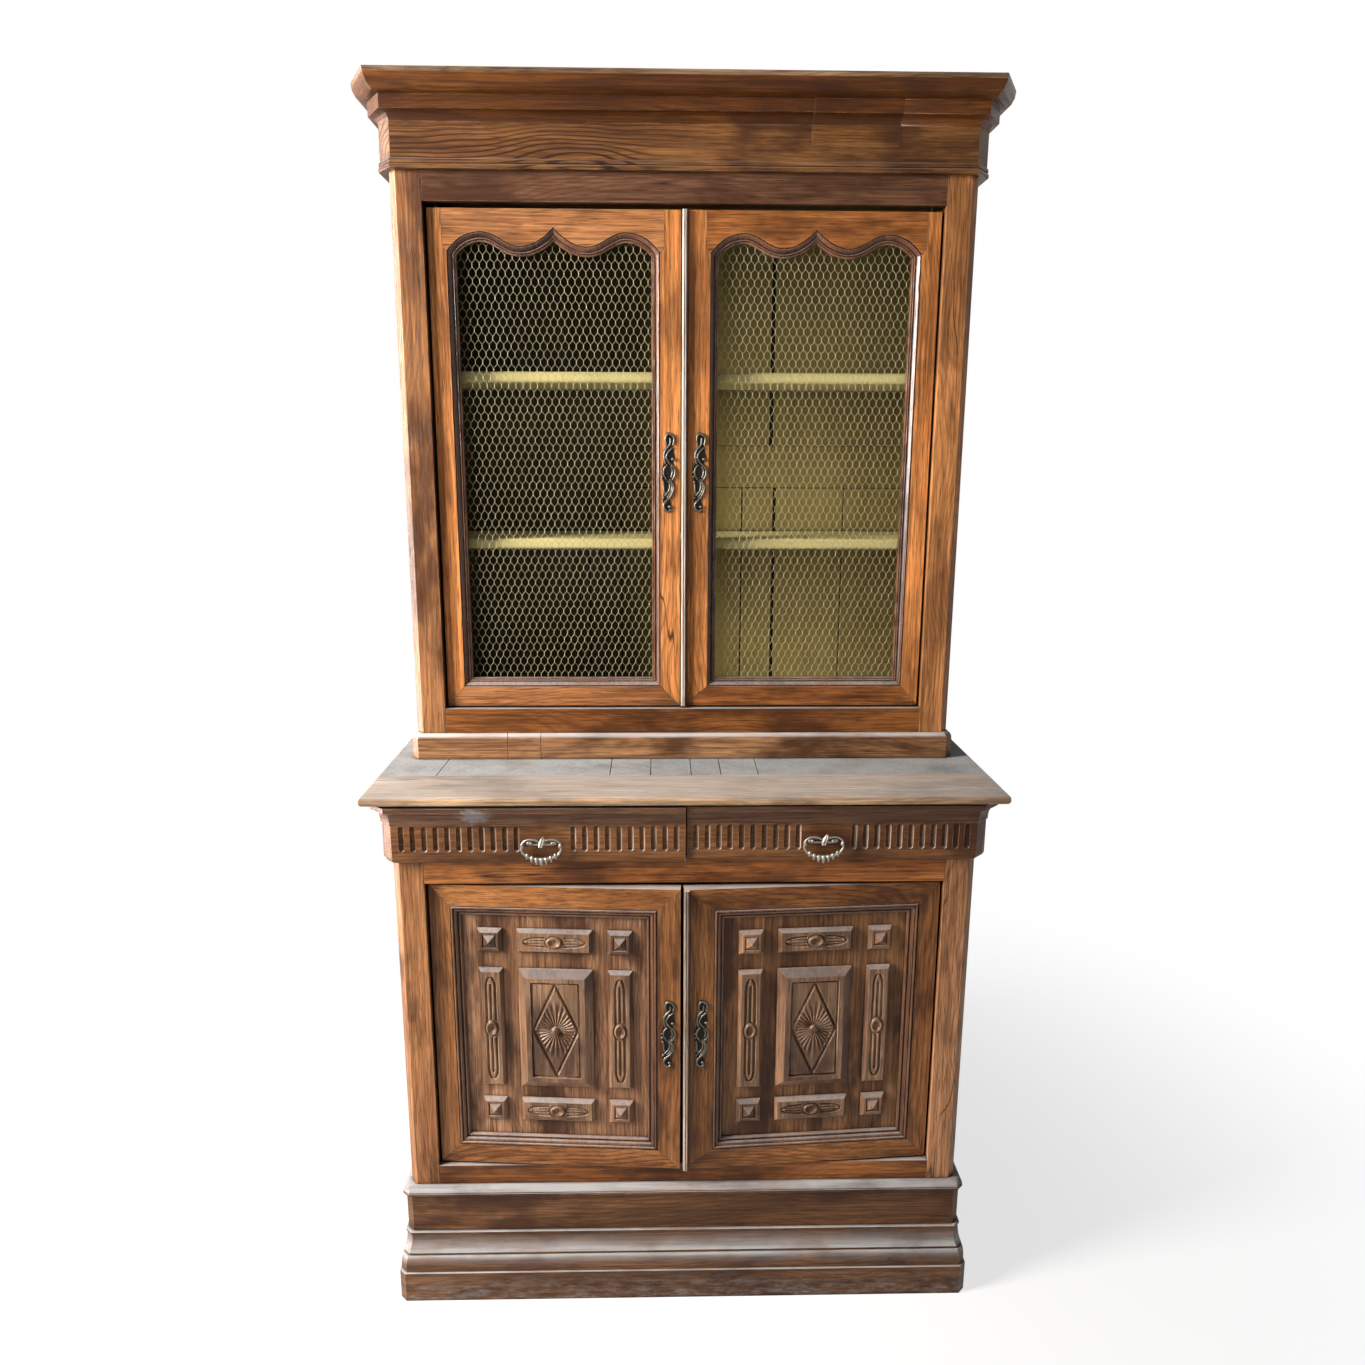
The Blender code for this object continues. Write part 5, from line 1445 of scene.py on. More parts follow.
@dataclass
class BaseMouldings:
    """Plinth and base frieze: rings round the front and both sides, open at the back."""

    finishes: Palette
    half_face: float = CASE.lower_half_face
    cant: float = 0.0135
    wall: float = 0.035

    def plinth(self) -> list[Point2]:
        """Block, torus, quirk, fillet, cove and bead, as (out, height).

        Returns:
            The profile.
        """
        points = [(0.0286, 0.0), (0.0286, 0.0635), (0.0281, 0.0645), (0.0266, 0.0652), (0.0256, 0.0656)]
        points += arc((0.0256, 0.0656), (0.0212, 0.1005), True)
        points += [(0.0186, 0.1010), (0.0186, 0.1028), (0.0202, 0.1034), (0.0202, 0.1060), (0.0196, 0.1066)]
        points += bezier((0.0196, 0.1066), (0.0166, 0.1125), (0.0136, 0.1270), (0.0128, 0.1448), 10)
        points += [(0.0142, 0.1452), (0.0150, 0.1464), (0.0150, 0.1500), (0.0142, 0.1512), (0.0125, 0.1517)]
        return points

    def frieze(self) -> list[Point2]:
        """Plain face under a cap with a quirk, as (out, height).

        Returns:
            The profile.
        """
        points = [(0.0100, 0.1520), (0.0100, 0.2346), (0.0160, 0.2354), (0.0160, 0.2396), (0.0156, 0.2402)]
        points += [(0.0146, 0.2404), (0.0146, 0.2416), (0.0156, 0.2420)]
        return points + arc((0.0156, 0.2420), (0.0003, 0.2525), True)

    def plan(self, out: float) -> list[Point2]:
        """Canted outline grown outwards, closed by the inner path.

        Args:
            out: how far it stands out.

        Returns:
            The plan.
        """
        face_x, side_x = self.half_face + out, self.half_face + self.cant + out
        face_y, side_y = CASE.front - out, CASE.front + self.cant - out
        inner_x, inner_y = self.half_face + self.cant - self.wall, CASE.front + self.wall
        outer = [(-side_x, CASE.back), (-side_x, side_y), (-face_x, face_y), (face_x, face_y),
                 (side_x, side_y), (side_x, CASE.back)]
        return outer + [(inner_x, CASE.back), (inner_x, inner_y), (-inner_x, inner_y), (-inner_x, CASE.back)]

    def dress(self) -> None:
        """Build both rings."""
        for node, profile in (("base_plinth", self.plinth()), ("base_frieze", self.frieze())):
            shape = bmesh.new()
            add_loft(shape, [[(x, y, z) for x, y in self.plan(out)] for out, z in profile])
            name = node + "_moulded"
            add_piece(name, to_mesh(shape, name, 30.0), [self.finishes[Look.BASE]], "case", [node])


@dataclass
class Sticking:
    """Moulded inner edge of a door frame, as (distance inwards, rise from the face) points."""

    points: list[Point2]

    @staticmethod
    def bead(near: float, far: float, foot: float, crown: float, steps: int = 6) -> list[Point2]:
        """A round bead between two distances.

        Args:
            near: its first edge.
            far: its last edge.
            foot: rise at the edges.
            crown: rise at the middle.
            steps: number of spans.

        Returns:
            Its points.
        """
        middle, half = (near + far) / 2, (far - near) / 2
        turns = [math.pi * i / steps for i in range(steps + 1)]
        return [(middle - half * math.cos(t), foot + (crown - foot) * math.sin(t)) for t in turns]

    @staticmethod
    def swell(near: Point2, far: Point2, steps: int = 6) -> list[Point2]:
        """A round that falls away from near to far.

        Args:
            near: first end.
            far: last end.
            steps: number of spans.

        Returns:
            Its points.
        """
        points = []
        for i in range(steps + 1):
            turn = math.pi / 2 * i / steps
            points.append((near[0] + (far[0] - near[0]) * math.sin(turn),
                           near[1] + (far[1] - near[1]) * (1 - math.cos(turn))))
        return points

    @staticmethod
    def splay(near: Point2, far: Point2, belly: float, steps: int = 5) -> list[Point2]:
        """A slope from near to far with a slight belly.

        Args:
            near: first end.
            far: last end.
            belly: rise of the middle.
            steps: number of spans.

        Returns:
            Its points.
        """
        points = []
        for i in range(steps + 1):
            t = i / steps
            rise = near[1] + (far[1] - near[1]) * t + belly * math.sin(math.pi * t)
            points.append((near[0] + (far[0] - near[0]) * t, rise))
        return points

    @classmethod
    def netted(cls) -> Sticking:
        """A quirk, an arris, a broad splay, a bead and a fillet between quirks, as on the netted doors.

        Returns:
            The profile.
        """
        points = [(0.0, -0.0012), (0.0003, -0.0044), (0.0013, -0.0044), (0.0015, -0.0019), (0.0023, -0.0016),
                  (0.0031, -0.0019), *cls.splay((0.0033, -0.0022), (0.0088, -0.0078), 0.0005)]
        points += [(0.0090, -0.0096), (0.0096, -0.0096), *cls.bead(0.0098, 0.0127, -0.0082, -0.0062)]
        return cls([*points, (0.0129, -0.0101), (0.0137, -0.0101), (0.0139, -0.0090), (0.0153, -0.0092),
                    (0.0155, -0.0101), (0.0165, -0.0104)])

    @classmethod
    def carved(cls) -> Sticking:
        """Three beads stepping down to the panel between deep quirks, as on the carved doors.

        Returns:
            The profile.
        """
        points = [(0.0, -0.0012), (0.0003, -0.0036), (0.0013, -0.0036),
                  *cls.bead(0.0015, 0.0068, -0.0014, 0.0018)]
        points += [(0.0070, -0.0058), (0.0081, -0.0058), *cls.swell((0.0083, -0.0010), (0.0140, -0.0060))]
        points += [(0.0142, -0.0086), (0.0153, -0.0086), *cls.bead(0.0155, 0.0200, -0.0076, -0.0050)]
        return cls([*points, (0.0210, -0.0086), (0.0210, -0.0100)])


@dataclass
class DoorLeaf:
    """One door: its frame members, key plate and fittings. Subclasses add the opening and the infill."""

    side: Side
    finishes: Palette
    case: str = ""
    face: float = 0.0
    board: float = 0.024
    foot: float = 0.0
    top: float = 0.0
    hinge_edge: float = 0.0
    meeting_half: float = 0.00575
    meeting_gap: float = 0.0025
    seam: float = 0.0003
    hinge_stile: float = 0.0
    lock_reach: float = 0.0
    low_rail: float = 0.040
    stick: float = 0.0165
    rebate: float = 0.009
    rebate_depth: float = 0.006
    pivot: Point2 = (0.0, 0.0)
    ajar: float = 0.0
    key_z: float = 0.0
    key_height: float = 0.15
    key_inset: float = 0.0235
    beyond: float = 0.02

    @property
    def body(self) -> str:
        """Body that the door rides on."""
        return f"{self.case}_{self.side.word}_door"

    @property
    def place(self) -> Matrix:
        """From closed to the door's place at rest.

        Returns:
            The turn about the pivot.
        """
        axis = Vector((self.side.value * self.pivot[0], self.pivot[1], 0.0))
        turn = Matrix.Rotation(self.side.value * self.ajar, 4, "Z")
        return Matrix.Translation(axis) @ turn @ Matrix.Translation(-axis)

    @property
    def span(self) -> Point2:
        """Low and high x of the leaf, closed.

        Returns:
            The two ends.
        """
        if self.side is Side.LEFT:
            return -self.hinge_edge, -self.meeting_half - self.meeting_gap
        return -self.meeting_half, self.hinge_edge

    @property
    def opening_span(self) -> Point2:
        """Low and high x of the moulded edge's outer loop."""
        ends = sorted((self.side.value * (self.hinge_edge - self.hinge_stile),
                       self.side.value * self.lock_reach))
        return ends[0], ends[1]

    def opening(self) -> list[Point2]:
        """Outer loop of the moulded edge, counter-clockwise."""
        raise NotImplementedError

    def profile(self) -> Sticking:
        """Profile of the moulded edge."""
        raise NotImplementedError

    def members(self) -> dict[str, list[Point2]]:
        """Outlines of the frame's members by name."""
        raise NotImplementedError

    def frame_mesh(self) -> Mesh:
        """The whole frame as one closed mesh, closed and in place.

        Returns:
            The mesh.
        """
        x0, x1 = self.span
        outer = [(x0, self.foot), (x1, self.foot), (x1, self.top), (x0, self.top)]
        opening = self.opening()
        back = self.face + self.board
        floor = back - self.rebate_depth
        sight = inset(opening, self.stick)
        low = (min(p[0] for p in sight) - self.rebate, min(p[1] for p in sight) - self.rebate)
        high = (max(p[0] for p in sight) + self.rebate, max(p[1] for p in opening) - self.stick + self.rebate)
        rebate = [low, (high[0], low[1]), high, (low[0], high[1])]
        shape = bmesh.new()
        rim = ring(shape, outer, self.face)
        edge = ring(shape, opening, self.face)
        fill(shape, [rim, edge])
        for inward, rise in self.profile().points:
            following = ring(shape, inset(opening, inward) if inward else opening, self.face - rise)
            bridge(shape, edge, following)
            edge = following
        throat = ring(shape, sight, floor)
        bridge(shape, edge, throat)
        rebate_floor = ring(shape, rebate, floor)
        fill(shape, [rebate_floor, throat])
        rebate_back = ring(shape, rebate, back)
        bridge(shape, rebate_floor, rebate_back)
        rim_back = ring(shape, outer, back)
        bridge(shape, rebate_back, rim_back)
        bridge(shape, rim_back, rim)
        return to_mesh(shape, "frame_source")

    def build_frame(self, rail: Look, stile: Look, beads: Look) -> None:
        """Cut the frame into its members, each with its own grain and with dark beads.

        Args:
            rail: finish of the rails.
            stile: finish of the stiles.
            beads: finish of the moulded edge.
        """
        source = self.frame_mesh()
        node = f"{self.case}_{self.side.word}_door_frame"
        opening = self.opening()
        for index, (member, outline) in enumerate(self.members().items()):
            depths = (self.face - self.beyond, self.face + self.board + self.beyond)
            prism = prism_mesh(inset(outline, self.seam), *depths)
            mesh = to_mesh(cut_member(source, prism, 0.0), f"{self.body}_{member}", 30.0)
            for face in mesh.polygons:
                face.material_index = int(inside(opening, (face.center.x, face.center.z)))
            mesh.transform(self.place)
            looks = [self.finishes[rail if "rail" in member else stile], self.finishes[beads]]
            add_piece(f"{self.body}_{member}", mesh, looks, self.body, [node] if index == 0 else [])
        bpy.data.meshes.remove(source)

    def build_astragal(self, edge: Look) -> None:
        """Meeting bead of the right leaf: two rounds with a quirk between, pale as a painted highlight on the
        faces that look front and left, dark as painted shade on the faces that look right.

        Args:
            edge: finish of the rounds, a painted highlight.
        """
        node = self.case + "_astragal"
        low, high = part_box(node)
        half, foot = self.meeting_half, self.face - CASE.clearance
        plan = [(half, 0.0), (-half, 0.0), (-half, 0.0050), (-half + 0.0006, 0.0064),
                (-half + 0.0020, 0.0074), (-0.0022, 0.0078), (-0.0019, 0.0056), (-0.0007, 0.0056),
                (-0.0004, 0.0082), (0.0012, 0.0087), (0.0030, 0.0080), (half - 0.0010, 0.0062),
                (half, 0.0042)]
        shape = bmesh.new()
        add_loft(shape, [[(x, foot - out, z) for x, out in plan] for z in (low.z, high.z)])
        mesh = to_mesh(shape, node + "_moulded", 32.0)
        # Painted highlight on the faces that look front and left; the faces that look right take the dark
        # bead finish as painted shade.
        for face in mesh.polygons:
            face.material_index = int(face.normal.x < 0.6)
        mesh.transform(self.place)
        looks = [self.finishes[Look.LOW_STICKING], self.finishes[edge]]
        add_piece(node + "_moulded", mesh, looks, self.body, [node])

    def build_key_plate(self) -> None:
        """Openwork key plate beside the meeting edge."""
        hand = self.side.value
        free_edge = -self.meeting_half - self.meeting_gap if self.side is Side.LEFT else self.meeting_half
        plate = KeyPlate(Vector((free_edge + hand * self.key_inset, self.face, self.key_z)), self.key_height)
        mesh = to_mesh(plate.shape(), f"{self.case}_{self.side.word}_key_plate_scroll", 50.0, self.place)
        add_piece(f"{self.case}_{self.side.word}_key_plate_scroll", mesh,
                  [self.finishes[Look.BRONZE], self.finishes[Look.IRON]], self.body,
                  [f"{self.case}_{self.side.word}_key_plate"])


def smooth_line(points: Sequence[Point2], steps: int, closed: bool = False) -> list[Point2]:
    """A curve through points that rounds its corners.

    Args:
        points: points that it passes.
        steps: points of the curve for each span.
        closed: whether it returns to its start.

    Returns:
        The points of the curve; a closed one ends at its start, left out at the beginning.
    """
    ends = [points[-1], *points, points[0], points[1]] if closed else [points[0], *points, points[-1]]
    line = [] if closed else [points[0]]
    for before, start, end, after in zip(ends, ends[1:], ends[2:], ends[3:]):
        pull = tuple(s + (e - b) / 6 for b, s, e in zip(before, start, end))
        push = tuple(e - (a - s) / 6 for s, e, a in zip(start, end, after))
        line += bezier(start, pull, push, end, steps)
    return line


@dataclass
class KeyPlate:
    """Cast openwork plate: strap and leaf scrolls that cross, two screws and a keyhole."""

    centre: Vector
    height: float
    half_width: float = 0.0138
    outline: tuple[Point2, ...] = (
        (0.0, 1.0), (-0.41, 0.95), (-0.52, 0.84), (-0.38, 0.72), (-0.30, 0.62), (-0.70, 0.48), (-0.68, 0.32),
        (-0.86, 0.18), (-1.06, 0.02), (-0.95, -0.14), (-0.84, -0.30), (-0.72, -0.48), (-0.88, -0.62),
        (-0.78, -0.78), (-0.58, -0.93), (0.05, -1.0), (0.50, -0.90), (0.45, -0.76), (0.30, -0.64),
        (0.72, -0.48), (0.86, -0.34), (0.74, -0.21), (1.06, -0.08), (1.06, 0.08), (0.72, 0.23), (1.0, 0.34),
        (0.84, 0.53), (0.70, 0.68), (0.95, 0.81), (0.70, 0.94))
    bands: tuple[tuple[float, tuple[Point2, ...]], ...] = (
        (0.0016, ((-0.27, 0.69), (-0.42, 0.83), (-0.05, 0.95), (0.56, 0.91), (0.82, 0.82), (0.66, 0.68))),
        (0.0015, ((0.27, 0.84), (0.23, 0.70), (-0.45, 0.54), (-0.60, 0.38), (-0.44, 0.22))),
        (0.0013, ((0.62, 0.62), (0.02, 0.51), (-0.30, 0.38), (0.02, 0.26), (0.42, 0.19))),
        (0.0015, ((0.52, 0.18), (0.90, 0.08), (0.93, -0.05), (0.55, -0.18), (0.05, -0.17))),
        (0.0012, ((0.34, 0.15), (0.60, 0.02), (0.38, -0.12))),
        (0.0013, ((-0.18, 0.19), (-0.60, 0.09), (-0.66, -0.05), (-0.24, -0.18))),
        (0.0013, ((-0.77, -0.20), (-0.66, -0.32), (-0.60, -0.47), (-0.23, -0.53))),
        (0.0012, ((-0.09, -0.20), (0.20, -0.29), (0.10, -0.44), (-0.52, -0.58))),
        (0.0012, ((0.14, -0.20), (0.48, -0.32), (0.40, -0.46), (-0.18, -0.62))),
        (0.0014, ((0.36, -0.21), (0.74, -0.35), (0.58, -0.50), (0.04, -0.65), (-0.58, -0.72))),
        (0.0016, ((-0.20, -0.69), (-0.62, -0.79), (-0.52, -0.91), (0.0, -0.97), (0.34, -0.92))))
    bosses: tuple[tuple[Point2, float], ...] = (
        ((0.66, 0.33), 0.0036), ((0.20, -0.85), 0.0034), ((-0.88, 0.02), 0.0024), ((-0.86, -0.10), 0.0024),
        ((-0.74, -0.22), 0.0022), ((-0.70, -0.62), 0.0026))
    keyhole: tuple[Point2, Point2] = ((-0.12, 0.03), (0.25, 0.115))
    fullness: float = 1.35

    def at(self, point: Point2, lift: float) -> Point3:
        """A point of the drawing in place, at a height over the door's face."""
        return (self.centre.x + point[0] * self.half_width, self.centre.y - lift,
                self.centre.z + point[1] * self.height / 2)

    def add_band(self, shape: BMesh, points: Sequence[Point2], wide: float, lift: float) -> None:
        """A rounded band that thins to its ends.

        Args:
            shape: bmesh that takes the band.
            points: points of the drawing.
            wide: half width.
            lift: height over the door.
        """
        line = smooth_line(points, 6)
        last = len(line) - 1
        turns = [math.pi * min(1.0, 0.12 + i / last * 0.76) for i in range(last + 1)]
        radii = [wide * (0.55 + 0.45 * math.sin(turn)) for turn in turns]
        add_tube(shape, [self.at(point, lift) for point in line], radii, 8, 0.8)

    def slab(self, shape: BMesh, loop: Sequence[Point2],
             stages: Sequence[Point2]) -> list[bmesh.types.BMFace]:
        """A flat plate over a counter-clockwise loop of the drawing.

        Args:
            shape: bmesh that takes the plate.
            loop: its outline.
            stages: distance inwards and height over the door for each section.

        Returns:
            Its faces.
        """
        plane = [(x, z) for x, _, z in (self.at(point, 0.0) for point in loop)]
        before = set(shape.faces)
        sections = []
        for inward, lift in stages:
            moved = inset(plane, inward) if inward else plane
            sections.append([(x, self.centre.y - lift, z) for x, z in moved])
        add_loft(shape, sections)
        return [face for face in shape.faces if face not in before]

    def shape(self) -> BMesh:
        """All parts of the plate: ground, scrolls, screws and keyhole.

        Returns:
            The bmesh.
        """
        shape = bmesh.new()
        # Painted shade: the ground under the scrolls takes the near-black iron finish, standing for the shade
        # in the openwork's hollows.
        for face in self.slab(shape, smooth_line(self.outline, 4, True), ((0.0010, 0.0002), (0.0010, 0.0006),
                                                                          (0.0016, 0.0010))):
            face.material_index = 1
        for wide, points in self.bands:
            self.add_band(shape, points, wide * self.fullness, 0.0022)
        for spot, radius in self.bosses:
            profile = [(1.0, 0.0), (1.0, 0.45), (0.8, 0.85), (0.4, 1.08), (0.0, 1.12)]
            add_turned(shape, Vector(self.at(spot, 0.0012)), Vector((0.0, -1.0, 0.0)),
                       [(radius * r, radius * h) for r, h in profile], 12)
        (x, z), (wide, tall) = self.keyhole
        turns = [2 * math.pi * i / 20 for i in range(20)]
        eye = [(x + wide * math.cos(t), z + tall * math.sin(t)) for t in turns]
        # Painted shade: the keyhole is a near-black slab on the plate, standing for the shade in the hole.
        for face in self.slab(shape, eye, ((0.0, 0.0008), (0.0, 0.0014))):
            face.material_index = 1
        return shape


@dataclass
class NettedDoor(DoorLeaf):
    """Upper door: a frame with a shaped head over a wire net."""

    case: str = "upper"
    face: float = -0.00305
    foot: float = 1.1984
    top: float = 2.149
    hinge_edge: float = 0.4818
    hinge_stile: float = 0.034
    lock_reach: float = 0.04755
    pivot: Point2 = (0.4658, 0.00695)
    key_z: float = 1.6684
    key_height: float = 0.156
    shoulder_drop: float = 0.0757
    cusp: float = 0.0438
    valley: Point2 = (0.0626, 0.010)
    crest: Point2 = (0.135, 0.0357)
    ear: float = 0.0078
    mesh_wide: float = 0.0139
    mesh_rise: float = 0.0147
    twist: float = 0.0068
    strand: float = 0.00042
    waver: float = 0.00012

    def profile(self) -> Sticking:
        """A splay, a bead and a fillet between quirks."""
        return Sticking.netted()

    def head(self) -> list[Point2]:
        """Shaped head of the opening, right to left.

        Returns:
            The points.
        """
        x0, x1 = self.opening_span
        half, middle = (x1 - x0) / 2, (x0 + x1) / 2
        shoulder = self.top - self.shoulder_drop
        steps = 14
        tip = (0.0, self.cusp)
        points = [tip]
        points += bezier(tip, (self.valley[0] * 0.26, self.cusp * 0.6),
                         (self.valley[0] * 0.62, self.valley[1]), self.valley, steps)
        flat = (self.crest[0] - self.valley[0]) * 0.38
        points += bezier(self.valley, (self.valley[0] + flat, self.valley[1]),
                         (self.crest[0] - flat, self.crest[1]), self.crest, steps)
        over = (half - self.crest[0]) * 0.5
        points += bezier(self.crest, (self.crest[0] + over, self.crest[1]),
                         (half - 0.011, self.crest[1] * 0.46), (half, 0.0), steps)
        right = [(middle + x, shoulder + z) for x, z in reversed(points)]
        left = [(middle - x, shoulder + z) for x, z in points[1:]]
        return right + left

    def opening(self) -> list[Point2]:
        """Outer loop of the moulded edge.

        Returns:
            The loop.
        """
        x0, x1 = self.opening_span
        sill = self.foot + self.low_rail
        return [(x0, sill), (x1, sill), *self.head()]

    def members(self) -> dict[str, list[Point2]]:
        """Mitred at the foot; the head rail runs between the stiles and curls in to its shoulders.

        Returns:
            The outlines by name.
        """
        x0, x1 = self.span
        o0, o1 = self.opening_span
        reach = 0.01
        sill = self.foot + self.low_rail
        in0, in1, in_low = o0 + self.stick + reach, o1 - self.stick - reach, sill + self.stick + reach
        shoulder = self.top - self.shoulder_drop
        high = self.top + reach
        bend = (o0 - self.ear, shoulder + 0.014)
        left_ear = [(o0 - self.ear, high), bend,
                    *bezier(bend, (bend[0], shoulder + 0.009), (o0 - 0.005, shoulder + 0.005),
                            (o0, shoulder), 6),
                    (in0, shoulder - 0.012)]
        right_ear = [(o0 + o1 - x, z) for x, z in left_ear]
        left_stile = [(x0 - reach, self.foot - reach), (o0, sill), (in0, in_low), *left_ear[::-1],
                      (x0 - reach, high)]
        right_stile = [(x1 + reach, self.foot - reach), (x1 + reach, high), *right_ear, (in1, in_low),
                       (o1, sill)]
        head_rail = [*left_ear, *right_ear[::-1]]
        foot_rail = [(x0 - reach, self.foot - reach), (x1 + reach, self.foot - reach), (o1, sill),
                     (in1, in_low), (in0, in_low), (o0, sill)]
        return {"low_x_stile": left_stile, "high_x_stile": right_stile, "head_rail": head_rail,
                "foot_rail": foot_rail}

    def wire_unit(self) -> bpy.types.Object:
        """Two staggered meshes of the net: twisted uprights and the slanting wires between them.

        Returns:
            The unit, to be removed after use.
        """
        half, rise, twist = self.mesh_wide / 2, self.mesh_rise, self.twist
        shape = bmesh.new()
        for x, low in ((0.0, -twist / 2), (half, rise - twist / 2)):
            for phase in (0.0, math.pi):
                path = []
                for i in range(5):
                    turn = phase + 1.5 * math.pi * i / 4
                    path.append((x + self.strand * 0.9 * math.cos(turn), self.strand * 0.9 * math.sin(turn),
                                 low + twist * i / 4))
                add_tube(shape, path, [self.strand] * 5, 3)
        for x, foot in ((0.0, twist / 2), (half, rise + twist / 2)):
            for way in (-1, 1):
                add_tube(shape, [(x, 0.0, foot), (x + way * half, 0.0, foot + rise - twist)],
                         [self.strand] * 2, 4)
        return put("net_unit", to_mesh(shape, "net_unit", 70.0))

    def build_net(self, tree: GeometryTree) -> None:
        """Net stapled into the rebate, on a lattice that wavers as wire does.

        Args:
            tree: the lattice.
        """
        node = f"upper_{self.side.word}_door_net"
        low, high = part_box(node)
        rise = 2 * self.mesh_rise
        columns = int((high.x - low.x) / self.mesh_wide)
        rows = int((high.z - low.z) / rise)
        unit = self.wire_unit()
        place = ((low.x + high.x) / 2 - self.mesh_wide / 4, (low.y + high.y) / 2,
                 (low.z + high.z) / 2 - rise / 4)
        mesh = tree.make({"Unit": unit, "Material": self.finishes[Look.WIRE],
                          "Width": (columns - 1) * self.mesh_wide, "Height": (rows - 1) * rise,
                          "Columns": columns, "Rows": rows, "Place": place, "Waver": self.waver,
                          "Seed": 2.0 + self.side.value})
        bpy.data.objects.remove(unit)
        mesh.shade_smooth()
        add_piece(f"upper_{self.side.word}_wire_net", mesh, [self.finishes[Look.WIRE]], self.body,
                  [node])

    def dress(self, tree: GeometryTree) -> None:
        """Build the frame, the net and the key plate.

        Args:
            tree: the lattice.
        """
        rail = Look.DOOR_RAIL if self.side is Side.LEFT else Look.DARK_DOOR_RAIL
        self.build_frame(rail, Look.DOOR_STILE, Look.STICKING)
        if self.side is Side.RIGHT:
            self.build_astragal(Look.WORN_EDGE)
        self.build_net(tree)
        self.build_key_plate()


@dataclass
class CarvedField:
    """A raised block whose top is carved by a height function of (x, z) from its middle."""

    centre: Point2
    size: Point2
    base: float
    edge: float = 0.0045
    rise: float = 0.0105
    bevel: float = 0.0055
    step: float = 0.0010
    lit_slope: float = 0.74

    def add(self, shape: BMesh, carve: Callable[[float, float], float]) -> None:
        """Add the block to a bmesh.

        Args:
            shape: bmesh that takes the block.
            carve: height of the carving over the block's top, in metres.
        """
        width, height = self.size[0] - 2 * self.bevel, self.size[1] - 2 * self.bevel
        columns, rows = max(2, round(width / self.step)), max(2, round(height / self.step))
        x0, z0 = self.centre
        grid = []
        for j in range(rows + 1):
            v = height * (j / rows - 0.5)
            line = []
            for i in range(columns + 1):
                u = width * (i / columns - 0.5)
                on_rim = i in (0, columns) or j in (0, rows)
                lift = 0.0 if on_rim else carve(u, v)
                line.append(shape.verts.new((x0 + u, self.base - self.rise - lift, z0 + v)))
            grid.append(line)
        for j in range(rows):
            for i in range(columns):
                face = shape.faces.new((grid[j][i], grid[j][i + 1], grid[j + 1][i + 1], grid[j + 1][i]))
                face.normal_update()
                # Painted highlight: sunk faces that look up and left take the pale finish in slot 2.
                sunk = face.calc_center_median().y > self.base - self.rise + 0.0004
                face.material_index = 2 if sunk and face.normal.z - face.normal.x > self.lit_slope else 0
        rim = grid[0][:-1] + [line[-1] for line in grid[:-1]] + grid[-1][:0:-1]
        rim += [line[0] for line in grid[:0:-1]]
        stretch_x, stretch_z = self.size[0] / width, self.size[1] / height
        last = rim
        for depth in (self.base - self.edge, self.base):
            spread = [(x0 + (v.co.x - x0) * stretch_x, z0 + (v.co.z - z0) * stretch_z) for v in rim]
            loop = ring(shape, spread, depth)
            for face in bridge(shape, last, loop):
                face.material_index = 1
            last = loop
        shape.faces.new(last)


def groove(distance: float, half_width: float, depth: float) -> float:
    """Height of a round-bottomed groove at a distance from its middle."""
    share = abs(distance) / half_width
    return -depth * (1 - share * share) if share < 1 else 0.0


def vee(distance: float, half_width: float, depth: float) -> float:
    """Height of a V-shaped cut at a distance from its middle."""
    return -depth * max(0.0, 1 - abs(distance) / half_width)


def button(radius: float, size: float) -> float:
    """Height of a dished button with a quirk round it.

    Args:
        radius: distance from its middle.
        size: its own radius.

    Returns:
        The height.
    """
    if radius > size * 1.25:
        return 0.0
    if radius > size:
        return groove(radius - size * 1.12, size * 0.13, 0.0026)
    share = radius / size
    if share > 0.56:
        return 0.0028 * math.sin(math.pi * (1 - share) / 0.44)
    return -0.0034 * (1 - (share / 0.56) ** 2)


def plaque_carving(u: float, v: float) -> float:
    """A button between two pointed cartouches lying level.

    Args:
        u: distance right of the middle.
        v: distance over the middle.

    Returns:
        The height.
    """
    radius = math.hypot(u / 1.4, v)
    if radius < 0.0140:
        return button(radius, 0.0112)
    reach = (abs(u) - 0.0180) / 0.0420
    if reach < 0:
        return 0.0
    taper = math.sqrt(max(0.0, 1 - reach ** 2.4)) if reach < 1 else 0.0
    outline = vee(abs(v) - 0.0092 * taper, 0.0027, 0.0042) if reach < 1.02 else 0.0
    rib = vee(abs(v) - 0.0034 * taper, 0.0020, 0.0032) if reach < 0.82 else 0.0
    return min(outline, rib)


def upright_carving(u: float, v: float) -> float:
    """A button between two long pointed flutes.

    Args:
        u: distance right of the middle.
        v: distance over the middle.

    Returns:
        The height.
    """
    radius = math.hypot(u, v / 1.4)
    if radius < 0.0145:
        return button(radius, 0.0116)
    length = abs(v)
    if length > 0.1110:
        return 0.0
    taper = 1.0 if length < 0.088 else math.sqrt(max(0.0, 1 - ((length - 0.088) / 0.023) ** 1.6))
    outline = vee(abs(u) - 0.0088 * taper, 0.0031, 0.0046)
    rib = vee(u, 0.0029, 0.0044) if length < 0.096 else 0.0
    return min(outline, rib)


